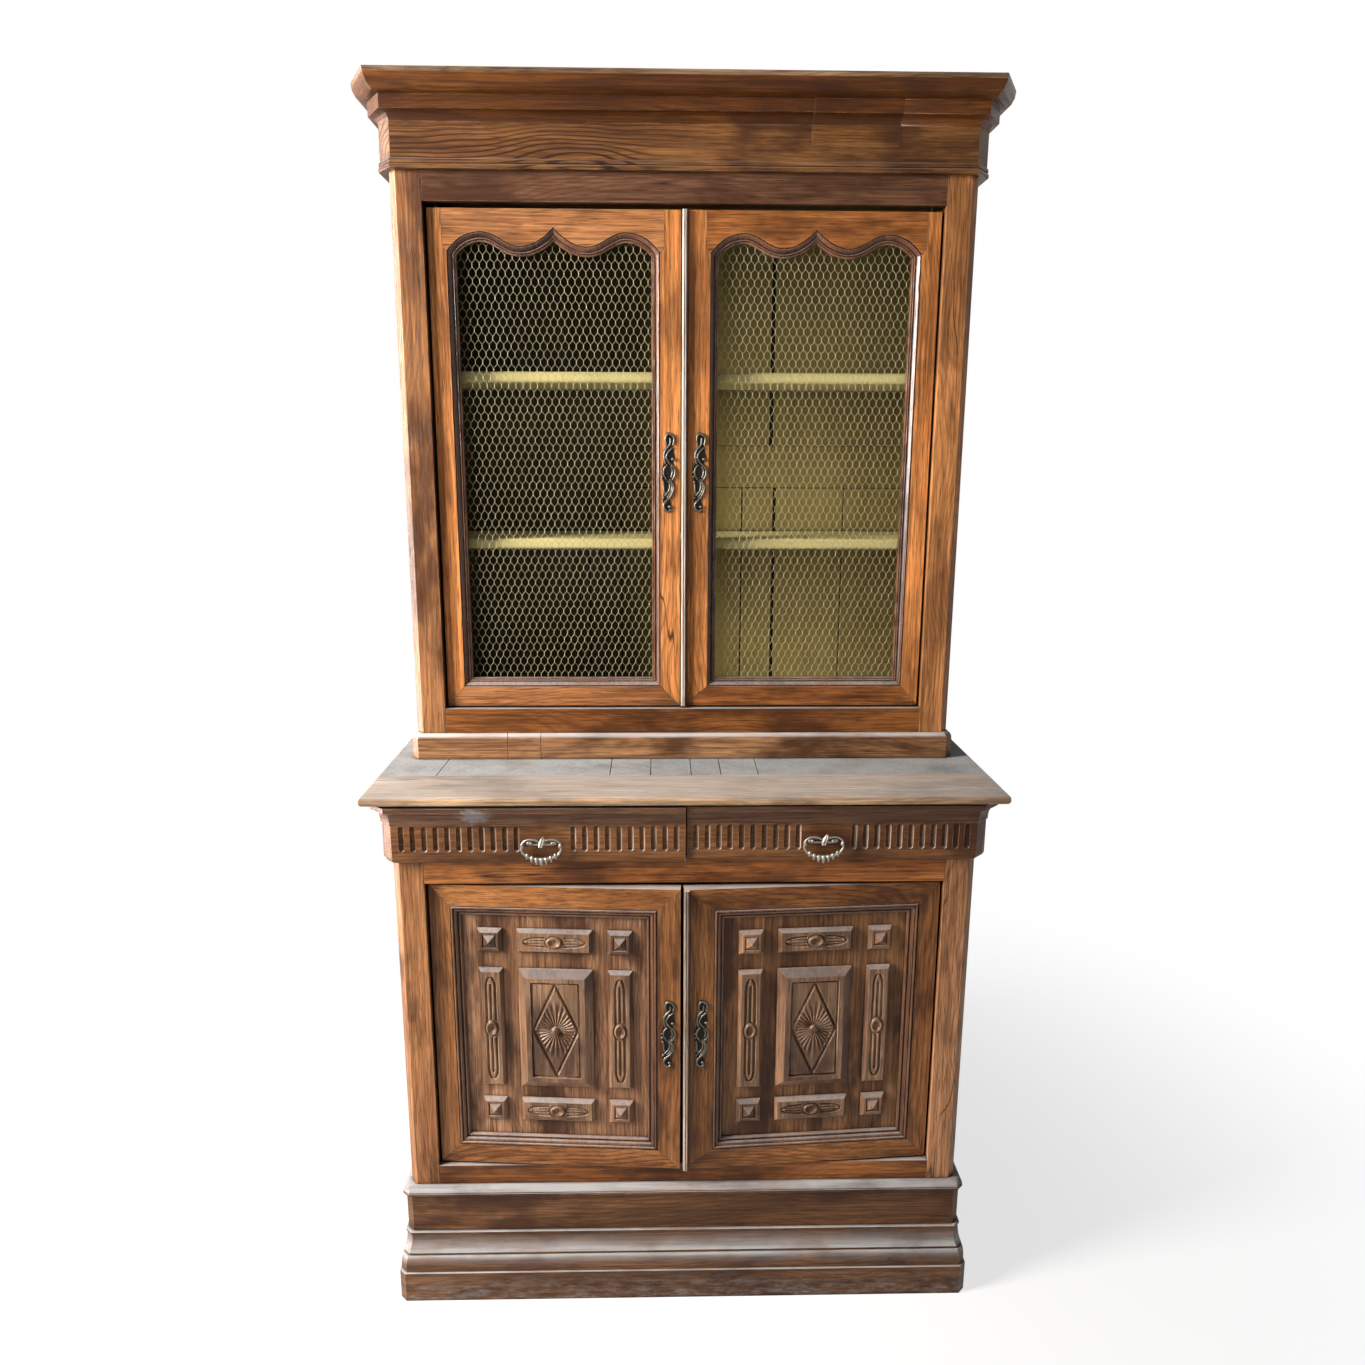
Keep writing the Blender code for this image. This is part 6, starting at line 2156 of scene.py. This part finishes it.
def lozenge_carving(u: float, v: float) -> float:
    """A sunk field edged by a trench, with a lozenge, a boss and a sunburst.

    Args:
        u: distance right of the middle.
        v: distance over the middle.

    Returns:
        The height.
    """
    depth_in = min(0.0473 - abs(u), 0.1022 - abs(v))
    if depth_in < 0:
        return 0.0
    sunk = -0.0026
    if depth_in < 0.0034:
        return sunk - 0.0036
    across = (abs(u) / 0.0441 + abs(v) / 0.0976 - 1) * 0.0402
    line = vee(across, 0.0036, 0.0046)
    if across > 0:
        return sunk + line
    radius = math.hypot(u, v)
    if radius < 0.0072:
        return sunk + 0.0050 * math.sqrt(max(0.0, 1 - (radius / 0.0072) ** 2)) + 0.0002
    spread = math.hypot(u / 0.0430, v / 0.0640)
    window = min(1.0, (radius - 0.0072) / 0.003) * max(0.0, min(1.0, (1.0 - spread) / 0.25))
    window *= max(0.0, min(1.0, (-across - 0.0036) / 0.002))
    ray = math.cos(28 * math.atan2(v, u))
    return sunk + line + window * (0.0014 * ray - 0.0008)


@dataclass
class CarvedDoor(DoorLeaf):
    """Lower door: a mitred frame round a panel with applied carved blocks."""

    case: str = "lower"
    face: float = -0.21805
    foot: float = 0.2982
    top: float = 0.8987
    hinge_edge: float = 0.4919
    hinge_stile: float = 0.039
    lock_reach: float = 0.05255
    stick: float = 0.021
    rebate_depth: float = 0.012
    pivot: Point2 = (0.4759, -0.20805)
    ajar: float = math.radians(3.9)
    key_z: float = 0.5972
    key_height: float = 0.145
    top_rail: float = 0.0427
    block: Point2 = (0.0475, 0.049)
    plaque: Point2 = (0.146, 0.254)
    gaps: Point2 = (0.030, 0.028)
    top_lift: float = 0.0065

    def profile(self) -> Sticking:
        """Three beads stepping down."""
        return Sticking.carved()

    def opening(self) -> list[Point2]:
        """Outer loop of the moulded edge.

        Returns:
            The loop.
        """
        x0, x1 = self.opening_span
        low, high = self.foot + self.low_rail, self.top - self.top_rail
        return [(x0, low), (x1, low), (x1, high), (x0, high)]

    def members(self) -> dict[str, list[Point2]]:
        """Four members mitred at the corners.

        Returns:
            The outlines by name.
        """
        x0, x1 = self.span
        inner = inset(self.opening(), self.stick + 0.01)
        corners = [(x0, self.foot), (x1, self.foot), (x1, self.top), (x0, self.top)]
        mitres = self.opening()
        reach = 0.01
        outer = []
        for corner, mitre in zip(corners, mitres):
            way = (Vector(corner) - Vector(mitre)).normalized() * reach
            outer.append((corner[0] + way.x, corner[1] + way.y))
        names = ("foot_rail", "high_x_stile", "head_rail", "low_x_stile")
        outlines = {}
        for i, name in enumerate(names):
            j = (i + 1) % 4
            outlines[name] = [outer[i], outer[j], mitres[j], inner[j], inner[i], mitres[i]]
        return outlines

    @property
    def panel_face(self) -> float:
        """Depth of the panel's face."""
        return self.face + self.board - self.rebate_depth + CASE.clearance

    def build_panel(self) -> None:
        """Flat panel held in the rebate."""
        sight = inset(self.opening(), self.stick - self.rebate + 0.0005)
        shape = bmesh.new()
        add_box(shape, (sight[0][0], self.panel_face, sight[0][1]),
                (sight[2][0], self.face + self.board - CASE.clearance, sight[2][1]))
        ease_edges(shape, 0.0006)
        name = f"lower_{self.side.word}_panel_board"
        # Painted light: the left panel takes a brighter copy of the panel finish.
        look = Look.LEFT_PANEL if self.side is Side.LEFT else Look.PANEL
        add_piece(name, to_mesh(shape, name, 40.0, self.place), [self.finishes[look]], self.body,
                  [f"lower_{self.side.word}_door_panel"])

    def build_blocks(self) -> None:
        """Four stepped pyramids, four plaques and the lozenge block."""
        x0, x1 = self.opening_span
        sight = inset(self.opening(), self.stick)
        middle = ((x0 + x1) / 2, (sight[0][1] + sight[2][1]) / 2)
        across = self.plaque[0] / 2 + self.gaps[0] + self.block[0] / 2
        along = self.plaque[1] / 2 + self.gaps[1] + self.block[1] / 2
        base = self.panel_face - CASE.clearance
        carved = bmesh.new()
        corners = bmesh.new()
        for column in (-1, 0, 1):
            for row in (-1, 0, 1):
                lift = self.top_lift if row > 0 else 0.0
                centre = (middle[0] + column * across, middle[1] + row * along + lift)
                size = (self.block[0] if column else self.plaque[0], self.block[1] if row else self.plaque[1])
                if column and row:
                    self.add_pyramid(corners, centre, size, base)
                elif column:
                    CarvedField(centre, size, base).add(carved, upright_carving)
                elif row:
                    CarvedField(centre, size, base).add(carved, plaque_carving)
                else:
                    middle_block = CarvedField(centre, size, base, rise=0.0145, bevel=0.0150, step=0.0009)
                    middle_block.add(carved, lozenge_carving)
        edge, lit = self.finishes[Look.BLOCK_EDGE], self.finishes[Look.CUT_EDGE]
        for shape, name, looks in ((carved, "carved_blocks", [self.finishes[Look.CARVING], edge, lit]),
                                   (corners, "corner_blocks", [edge])):
            title = f"lower_{self.side.word}_{name}"
            mesh = to_mesh(shape, title, 32.0, self.place)
            add_piece(title, mesh, looks, self.body)

    def add_pyramid(self, shape: BMesh, centre: Point2, size: Point2, base: float) -> None:
        """Square block with a bevelled edge and a pyramid in a sunk square.

        Args:
            shape: bmesh that takes the block.
            centre: its middle.
            size: width and height.
            base: depth of the panel.
        """
        half = [(-size[0] / 2, -size[1] / 2), (size[0] / 2, -size[1] / 2), (size[0] / 2, size[1] / 2),
                (-size[0] / 2, size[1] / 2)]
        outline = [(centre[0] + x, centre[1] + z) for x, z in half]
        stages = ((0.0, 0.0), (0.0, 0.0045), (0.0062, 0.0105), (0.0102, 0.0105), (0.0109, 0.0075))
        loops = [ring(shape, inset(outline, inward) if inward else outline, base - rise)
                 for inward, rise in stages]
        shape.faces.new(loops[0])
        for near, far in zip(loops, loops[1:]):
            bridge(shape, near, far)
        apex = shape.verts.new((centre[0], base - 0.0182, centre[1]))
        last = loops[-1]
        for i, vertex in enumerate(last):
            shape.faces.new((vertex, last[(i + 1) % 4], apex))

    def dress(self) -> None:
        """Build the frame, the panel, its blocks and the key plate."""
        self.build_frame(Look.LOW_RAIL, Look.LOW_STILE, Look.LOW_STICKING)
        if self.side is Side.RIGHT:
            self.build_astragal(Look.LOW_EDGE)
        self.build_panel()
        self.build_blocks()
        self.build_key_plate()


@dataclass
class FriezeDrawer:
    """Drawer front with its roll, fluted band and cove, and its drop pull."""

    side: Side
    finishes: Palette
    height: float = 0.115
    half_face: float = CASE.lower_half_face
    seat: float = 0.0006
    middle_gap: float = 0.00125
    toe: Point2 = (0.006, 0.0108)
    band: Point2 = (0.016, 0.0655)
    lip: Point2 = (0.0185, 0.004)
    cove: Point2 = (0.031, 0.024)
    crown: float = 0.034
    flute_pitch: float = 0.0214
    flute_width: float = 0.0106
    flute_height: float = 0.0505
    flute_clear: float = 0.0528
    flute_margin: float = 0.010
    flute_lift: float = 0.0055
    pull_out: float = 0.011
    pull_at: float = 0.2637
    pull_shift: float = -0.006
    pull_drop: float = 0.0325
    left_out: float = 0.006
    bail_width: float = 0.0368
    bail_drop: float = 0.030
    bail_rise: float = 0.0085
    bail_wire: float = 0.0019
    grip_swell: float = 0.0012
    bead_pitch: float = 0.0086

    @property
    def body(self) -> str:
        """Body that the drawer rides on."""
        return f"{self.side.word}_drawer"

    @property
    def place(self) -> Matrix:
        """From closed to the drawer's place at rest: the left one stands a little out."""
        return Matrix.Translation((0.0, -self.left_out if self.side is Side.LEFT else 0.0, 0.0))

    @property
    def band_middle(self) -> float:
        """Height of the middle of the fluted band."""
        return CASE.drawer_foot + self.toe[1] + self.band[1] / 2

    @property
    def pull_axis(self) -> Vector:
        """Where the bail hangs, closed."""
        z = CASE.drawer_foot + self.toe[1] + self.band[1] - self.pull_drop
        return Vector((self.side.value * self.pull_at + self.pull_shift,
                       CASE.front - self.band[0] - self.pull_out, z))

    def profile(self) -> list[Point2]:
        """Profile as (out, height) from the foot up.

        Returns:
            The profile.
        """
        band_head = self.toe[1] + self.band[1]
        lip_head = band_head + self.lip[1]
        cove_head = lip_head + self.cove[1]
        points = [(self.toe[0], 0.0), *arc((self.toe[0], 0.0), self.toe_end, False)]
        points += [(self.band[0], band_head - 0.0008), (self.lip[0], band_head), (self.lip[0], lip_head)]
        points += arc((self.lip[0], lip_head), (self.cove[0], cove_head), True, 10)
        points += [(self.crown, cove_head + 0.0008), (self.crown, self.height)]
        return points

    @property
    def toe_end(self) -> Point2:
        """Where the roll meets the band."""
        return self.band[0], self.toe[1]

    def front_mesh(self) -> Mesh:
        """Plain moulded front with its canted end.

        Returns:
            The mesh.
        """
        hand = self.side.value
        back = CASE.front - self.seat
        shape = bmesh.new()
        sections = []
        for out, height in self.profile():
            face_x = self.half_face + CANT_SLANT * out
            plan = [(self.middle_gap, back), (self.middle_gap, CASE.front - out), (face_x, CASE.front - out),
                    (face_x + out - self.seat, back)]
            sections.append([(hand * x, y, CASE.drawer_foot + height) for x, y in plan])
        add_loft(shape, sections)
        return to_mesh(shape, "drawer_source")

    def flute_unit(self) -> bpy.types.Object:
        """Round-ended and round-bottomed cutter of one flute.

        Returns:
            The cutter, to be removed after use.
        """
        radius = self.flute_width / 2
        straight = self.flute_height / 2 - radius
        shape = bmesh.new()
        profile = []
        for i in range(7):
            turn = math.pi / 2 * i / 6
            profile.append((radius * math.sin(turn), -straight - radius * math.cos(turn)))
        profile += [(r, -z) for r, z in reversed(profile)]
        add_turned(shape, Vector((0.0, 0.0, 0.0)), Vector((0.0, 0.0, 1.0)), profile, 14)
        return put("flute_unit", to_mesh(shape, "flute_unit"))

    def build_front(self, tree: GeometryTree) -> None:
        """Cut a row of flutes each side of the pull.

        Args:
            tree: the lattice.
        """
        hand = self.side.value
        mesh = self.front_mesh()
        unit = self.flute_unit()
        face_x = self.half_face + CANT_SLANT * self.band[0]
        rooms = ((face_x - self.flute_margin - self.pull_at - self.flute_clear, 1),
                 (self.pull_at - self.flute_clear - self.middle_gap - self.flute_margin, -1))
        for room, way in rooms:
            count = int(room / self.flute_pitch) + 1
            length = (count - 1) * self.flute_pitch
            middle = hand * (self.pull_at + way * (self.flute_clear + length / 2))
            place = (middle, CASE.front - self.band[0], self.band_middle + self.flute_lift)
            cutter = tree.make({"Unit": unit, "Material": self.finishes[Look.DRAWER], "Width": length,
                                "Height": 0.0, "Columns": count, "Rows": 1, "Place": place})
            mesh = boolean_mesh(mesh, cutter, "DIFFERENCE")
        bpy.data.objects.remove(unit)
        name = f"{self.side.word}_fluted_front"
        mesh = to_mesh(opened(mesh), name, 32.0, self.place)
        plane = CASE.front - self.band[0] + self.place.translation.y
        for face in mesh.polygons:
            sunk = face.center.y > plane + 0.0002 and abs(face.center.z - self.band_middle) < self.band[1] / 2
            # Painted highlight: the sunk walls of the flutes that look left or up take the pale finish in
            # slot 1.
            lit = face.normal.x < -0.5 or face.normal.z > 0.5
            over = face.center.z > self.band_middle + self.band[1] / 2
            lit = lit and abs(face.center.x) < 0.5 and face.normal.y < 0.5
            face.material_index = 2 if over else int(sunk and lit)
        looks = [self.finishes[look] for look in (Look.DRAWER, Look.FLUTE_EDGE, Look.COVE)]
        add_piece(name, mesh, looks, self.body, [f"{self.side.word}_drawer_front"])

    def bail_line(self) -> list[Point2]:
        """Right half of the bail, from the dip over the lobe to the middle of the grip.

        Returns:
            The points.
        """
        width, drop, rise = self.bail_width, self.bail_drop, self.bail_rise
        lobe = (width * 0.54, rise)
        widest, grip = (width, -drop * 0.28), (0.0, -drop)
        points = [(0.0, 0.0)]
        points += bezier((0.0, 0.0), (lobe[0] * 0.3, rise * 0.8), (lobe[0] * 0.6, rise), lobe, 10)
        points += bezier(lobe, (lobe[0] * 1.4, rise), (width, rise * 0.5), widest, 10)
        points += bezier(widest, (width, -drop * 0.75), (width * 0.6, -drop), grip, 12)
        return points

    def build_pull(self) -> None:
        """Bail with a row of drops, hung behind a leaf on a scrolled back plate."""
        axis = self.pull_axis
        half = self.bail_line()
        line = half + [(-x, z) for x, z in half[-2:0:-1]]
        radii = []
        for _, z in line:
            grip = max(0.0, min(1.0, -z / self.bail_drop)) ** 2
            radii.append(self.bail_wire + self.grip_swell * grip)
        shape = bmesh.new()
        add_tube(shape, [(axis.x + x, axis.y, axis.z + z) for x, z in line], radii, 10, closed=True)
        for i in range(-3, 4):
            x = i * self.bead_pitch
            z = -self.bail_drop + 0.0090 * (i / 3) ** 2
            drop = Vector((axis.x + x, axis.y - 0.0006, axis.z + z + 0.0015))
            size = 1.0 - 0.09 * abs(i)
            down = Vector((i * 0.05, 0.0, -1.0))
            profile = [(0.0, -0.002), (0.0034, 0.0), (0.0046, 0.0028), (0.0045, 0.0062), (0.0034, 0.0094),
                       (0.0021, 0.0112), (0.0024, 0.0126), (0.0018, 0.0142), (0.0, 0.0148)]
            add_turned(shape, drop, down, [(r * size, h * size) for r, h in profile], 12)
        for way in (-1, 1):
            knot = Vector((axis.x + way * 0.0350, axis.y - 0.0004, axis.z - 0.004))
            add_turned(shape, knot, Vector((way * 0.35, 0.0, 1.0)),
                       [(0.0, -0.0060), (0.0027, -0.0030), (0.0033, 0.0), (0.0027, 0.0030), (0.0, 0.0060)],
                       10)
        name = f"{self.side.word}_bail_cast"
        add_piece(name, to_mesh(shape, name, 60.0, self.place), [self.finishes[Look.PEWTER]],
                  f"{self.side.word}_bail", [f"{self.side.word}_pull_bail"])
        self.build_back_plate(axis)

    def build_back_plate(self, axis: Vector) -> None:
        """Slim scrolled plate with two studs and the leaf that holds the bail.

        Args:
            axis: where the bail hangs.
        """
        face = CASE.front - self.band[0]
        shape = bmesh.new()
        for way in (-1, 1):
            path = []
            for i in range(15):
                t = i / 14
                turn = 1.9 * math.pi * max(0.0, t - 0.35) / 0.65
                reach = 0.0056 * (1 - 0.5 * t)
                x = 0.002 + 0.021 * min(1.0, t / 0.5) + (reach * math.sin(turn) if t > 0.35 else 0.0)
                z = -0.0052 + (reach * (1 - math.cos(turn)) * 0.6 if t > 0.35 else 0.0)
                path.append((axis.x + way * x, face - 0.0018, axis.z + z))
            add_tube(shape, path, [0.0022 - 0.0007 * i / 14 for i in range(15)], 8, 0.8)
            stud = Vector((axis.x + way * 0.0195, face - 0.0002, axis.z - 0.0030))
            add_turned(shape, stud, Vector((0.0, -1.0, 0.0)),
                       [(0.0036, 0.0), (0.0036, 0.0014), (0.0026, 0.0034), (0.0012, 0.0042), (0.0, 0.0044)],
                       12)
        peg_top = axis.z - 0.0021
        add_box(shape, (axis.x - 0.0026, axis.y - 0.0048, peg_top - 0.0026),
                (axis.x + 0.0026, face - 0.0003, peg_top))
        sections = []
        for t in (0.0, 0.15, 0.35, 0.55, 0.75, 0.9, 1.0):
            width = 0.0010 + 0.0044 * math.sin(math.pi * min(1.0, 0.18 + t * 0.82)) ** 0.8
            z = axis.z - 0.0056 + 0.0216 * t
            lean = 0.0062 * t - 0.0010
            near = axis.y - 0.0047 - 0.0006 * math.sin(math.pi * t)
            plan = [(-width, near), (-width * 0.5, near - 0.0022), (0.0, near - 0.0007),
                    (width * 0.5, near - 0.0022), (width, near), (0.0, near + 0.0014)]
            sections.append([(axis.x + lean + x, y, z) for x, y in plan])
        add_loft(shape, sections)
        name = f"{self.side.word}_pull_plate"
        add_piece(name, to_mesh(shape, name, 50.0, self.place), [self.finishes[Look.PEWTER]], self.body,
                  [f"{self.side.word}_pull_hook"])

    def dress(self, tree: GeometryTree) -> None:
        """Build the front and the pull."""
        self.build_front(tree)
        self.build_pull()


@dataclass
class Ironwork:
    """Pivots, locks and bolts, mostly hidden."""

    finishes: Palette

    def dress(self) -> None:
        """Give every solid of iron its finish."""
        for name, piece in list(bpy.data.objects.items()):
            if name.endswith("_pivot") or "_lock_" in name:
                piece.data.materials.clear()
                piece.data.materials.append(self.finishes[Look.IRON])


@dataclass
class Studio:
    """Camera, lamps, floor and white surround."""

    eye: Point3 = (-0.0503, -2.07795, 1.7008)
    yaw: float = math.radians(1.32)
    pitch: float = math.radians(12.35)
    roll: float = math.radians(0.21)
    focal_px: float = 1035.5
    frame_px: float = 1365.0
    sensor: float = 36.0
    ambient: float = 0.11
    floor_reach: float = 9.0

    def camera(self) -> None:
        """Camera at the photograph's place."""
        forward = Vector((math.sin(self.yaw) * math.cos(self.pitch),
                          math.cos(self.yaw) * math.cos(self.pitch), -math.sin(self.pitch)))
        right = Vector((math.cos(self.yaw), -math.sin(self.yaw), 0.0))
        up = right.cross(forward)
        turned_right = right * math.cos(self.roll) + up * math.sin(self.roll)
        turned_up = up * math.cos(self.roll) - right * math.sin(self.roll)
        data = bpy.data.cameras.new("front_camera")
        data.sensor_width = self.sensor
        data.lens = self.focal_px * self.sensor / self.frame_px
        camera = put("front_camera", data)
        turn = Matrix((turned_right, turned_up, -forward)).transposed()
        camera.matrix_world = Matrix.Translation(self.eye) @ turn.to_4x4()
        bpy.context.scene.camera = camera

    def lamp(self, name: str, place: Point3, aim: Point3, size: Point2, power: float,
             colour: Colour) -> bpy.types.Object:
        """A soft rectangular lamp.

        Args:
            name: name of the lamp.
            place: where it stands.
            aim: what it points at.
            size: width and height.
            power: in watts.
            colour: its colour.

        Returns:
            The lamp.
        """
        data = bpy.data.lights.new(name, "AREA")
        data.shape = "RECTANGLE"
        data.size, data.size_y = size
        data.energy = power
        data.color = colour
        lamp = put(name, data)
        lamp.location = place
        lamp.rotation_mode = "QUATERNION"
        lamp.rotation_quaternion = (Vector(aim) - Vector(place)).to_track_quat("-Z", "Y")
        return lamp

    def white_to_camera(self, tree: NodeTree, shader: Socket, white: Socket, share: object) -> Socket:
        """Mix white over a shader for the rays that only look.

        Args:
            tree: tree of the surface.
            shader: what the lamps see.
            white: what the eye sees.
            share: how much of the white.

        Returns:
            The mixed surface.
        """
        path = tree.node("ShaderNodeLightPath")
        looks = tree.number("MAXIMUM", path.outputs["Is Camera Ray"], path.outputs["Is Glossy Ray"])
        looks = tree.number("MAXIMUM", looks, path.outputs["Is Transmission Ray"])
        mix = tree.node("ShaderNodeMixShader")
        tree.feed(mix.inputs[0], tree.times(looks, share))
        tree.feed(mix.inputs[1], shader)
        tree.feed(mix.inputs[2], white)
        return mix.outputs[0]

    def surround(self) -> None:
        """White world and pale floor."""
        world = bpy.data.worlds.new("white_room")
        world.use_nodes = True
        bpy.context.scene.world = world
        tree = NodeTree(world.node_tree)
        soft = world.node_tree.nodes["Background"]
        soft.inputs["Color"].default_value = (0.97, 0.98, 1.0, 1.0)
        soft.inputs["Strength"].default_value = self.ambient
        white = tree.node("ShaderNodeBackground")
        white.inputs["Color"].default_value = (1.0, 1.0, 1.0, 1.0)
        surface = self.white_to_camera(tree, soft.outputs[0], white.outputs[0], 1.0)
        tree.feed(world.node_tree.nodes["World Output"].inputs["Surface"], surface)
        shape = bmesh.new()
        far = self.floor_reach
        corners = [(-far, -far), (far, -far), (far, far), (-far, far)]
        shape.faces.new([shape.verts.new((x, y, 0.0)) for x, y in corners])
        mesh = bpy.data.meshes.new("pale_floor")
        shape.to_mesh(mesh)
        shape.free()
        material = bpy.data.materials.new("pale_floor")
        material.use_nodes = True
        tree = NodeTree(material.node_tree)
        shader = material.node_tree.nodes["Principled BSDF"]
        shader.inputs["Base Color"].default_value = (0.86, 0.86, 0.86, 1.0)
        shader.inputs["Roughness"].default_value = 0.9
        glow = tree.node("ShaderNodeEmission")
        share = tree.span(tree.vector("LENGTH", tree.here()), 0.7, 2.2, 0.72, 1.0)
        surface = self.white_to_camera(tree, shader.outputs[0], glow.outputs[0], share)
        tree.feed(material.node_tree.nodes["Material Output"].inputs["Surface"], surface)
        mesh.materials.append(material)
        floor = put("pale_floor", mesh)

    def set_up(self) -> None:
        """Everything that isn't the cupboard."""
        bpy.context.scene.view_settings.view_transform = "Standard"
        self.camera()
        self.lamp("window", (-2.75, -1.10, 2.25), (0.0, 0.0, 1.15), (0.9, 1.6), 312.0, (1.0, 0.97, 0.93))
        card = self.lamp("reflector", (-3.0, 0.2, 1.5), (-0.5, -0.05, 1.4), (1.4, 3.0), 320.0,
                         (1.0, 0.96, 0.96))
        card.visible_diffuse = False
        self.lamp("room_fill", (-0.9, -3.6, 3.3), (0.0, 0.0, 1.1), (2.5, 2.0), 8.0, (1.0, 0.98, 0.95))
        self.surround()


def main() -> None:
    """Build the cupboard piece by piece."""
    logging.basicConfig(level=logging.INFO, format="%(message)s")
    for leftover in list(bpy.data.objects):
        bpy.data.objects.remove(leftover, do_unlink=True)
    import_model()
    Studio().set_up()
    finishes = build_palette()
    lattice = lattice_tree("upright_lattice")
    Carcase(finishes).dress()
    BaseMouldings(finishes).dress()
    for side in Side:
        NettedDoor(side, finishes).dress(lattice)
        CarvedDoor(side, finishes).dress()
        FriezeDrawer(side, finishes).dress(lattice)
    Ironwork(finishes).dress()


if __name__ == "__main__":
    main()
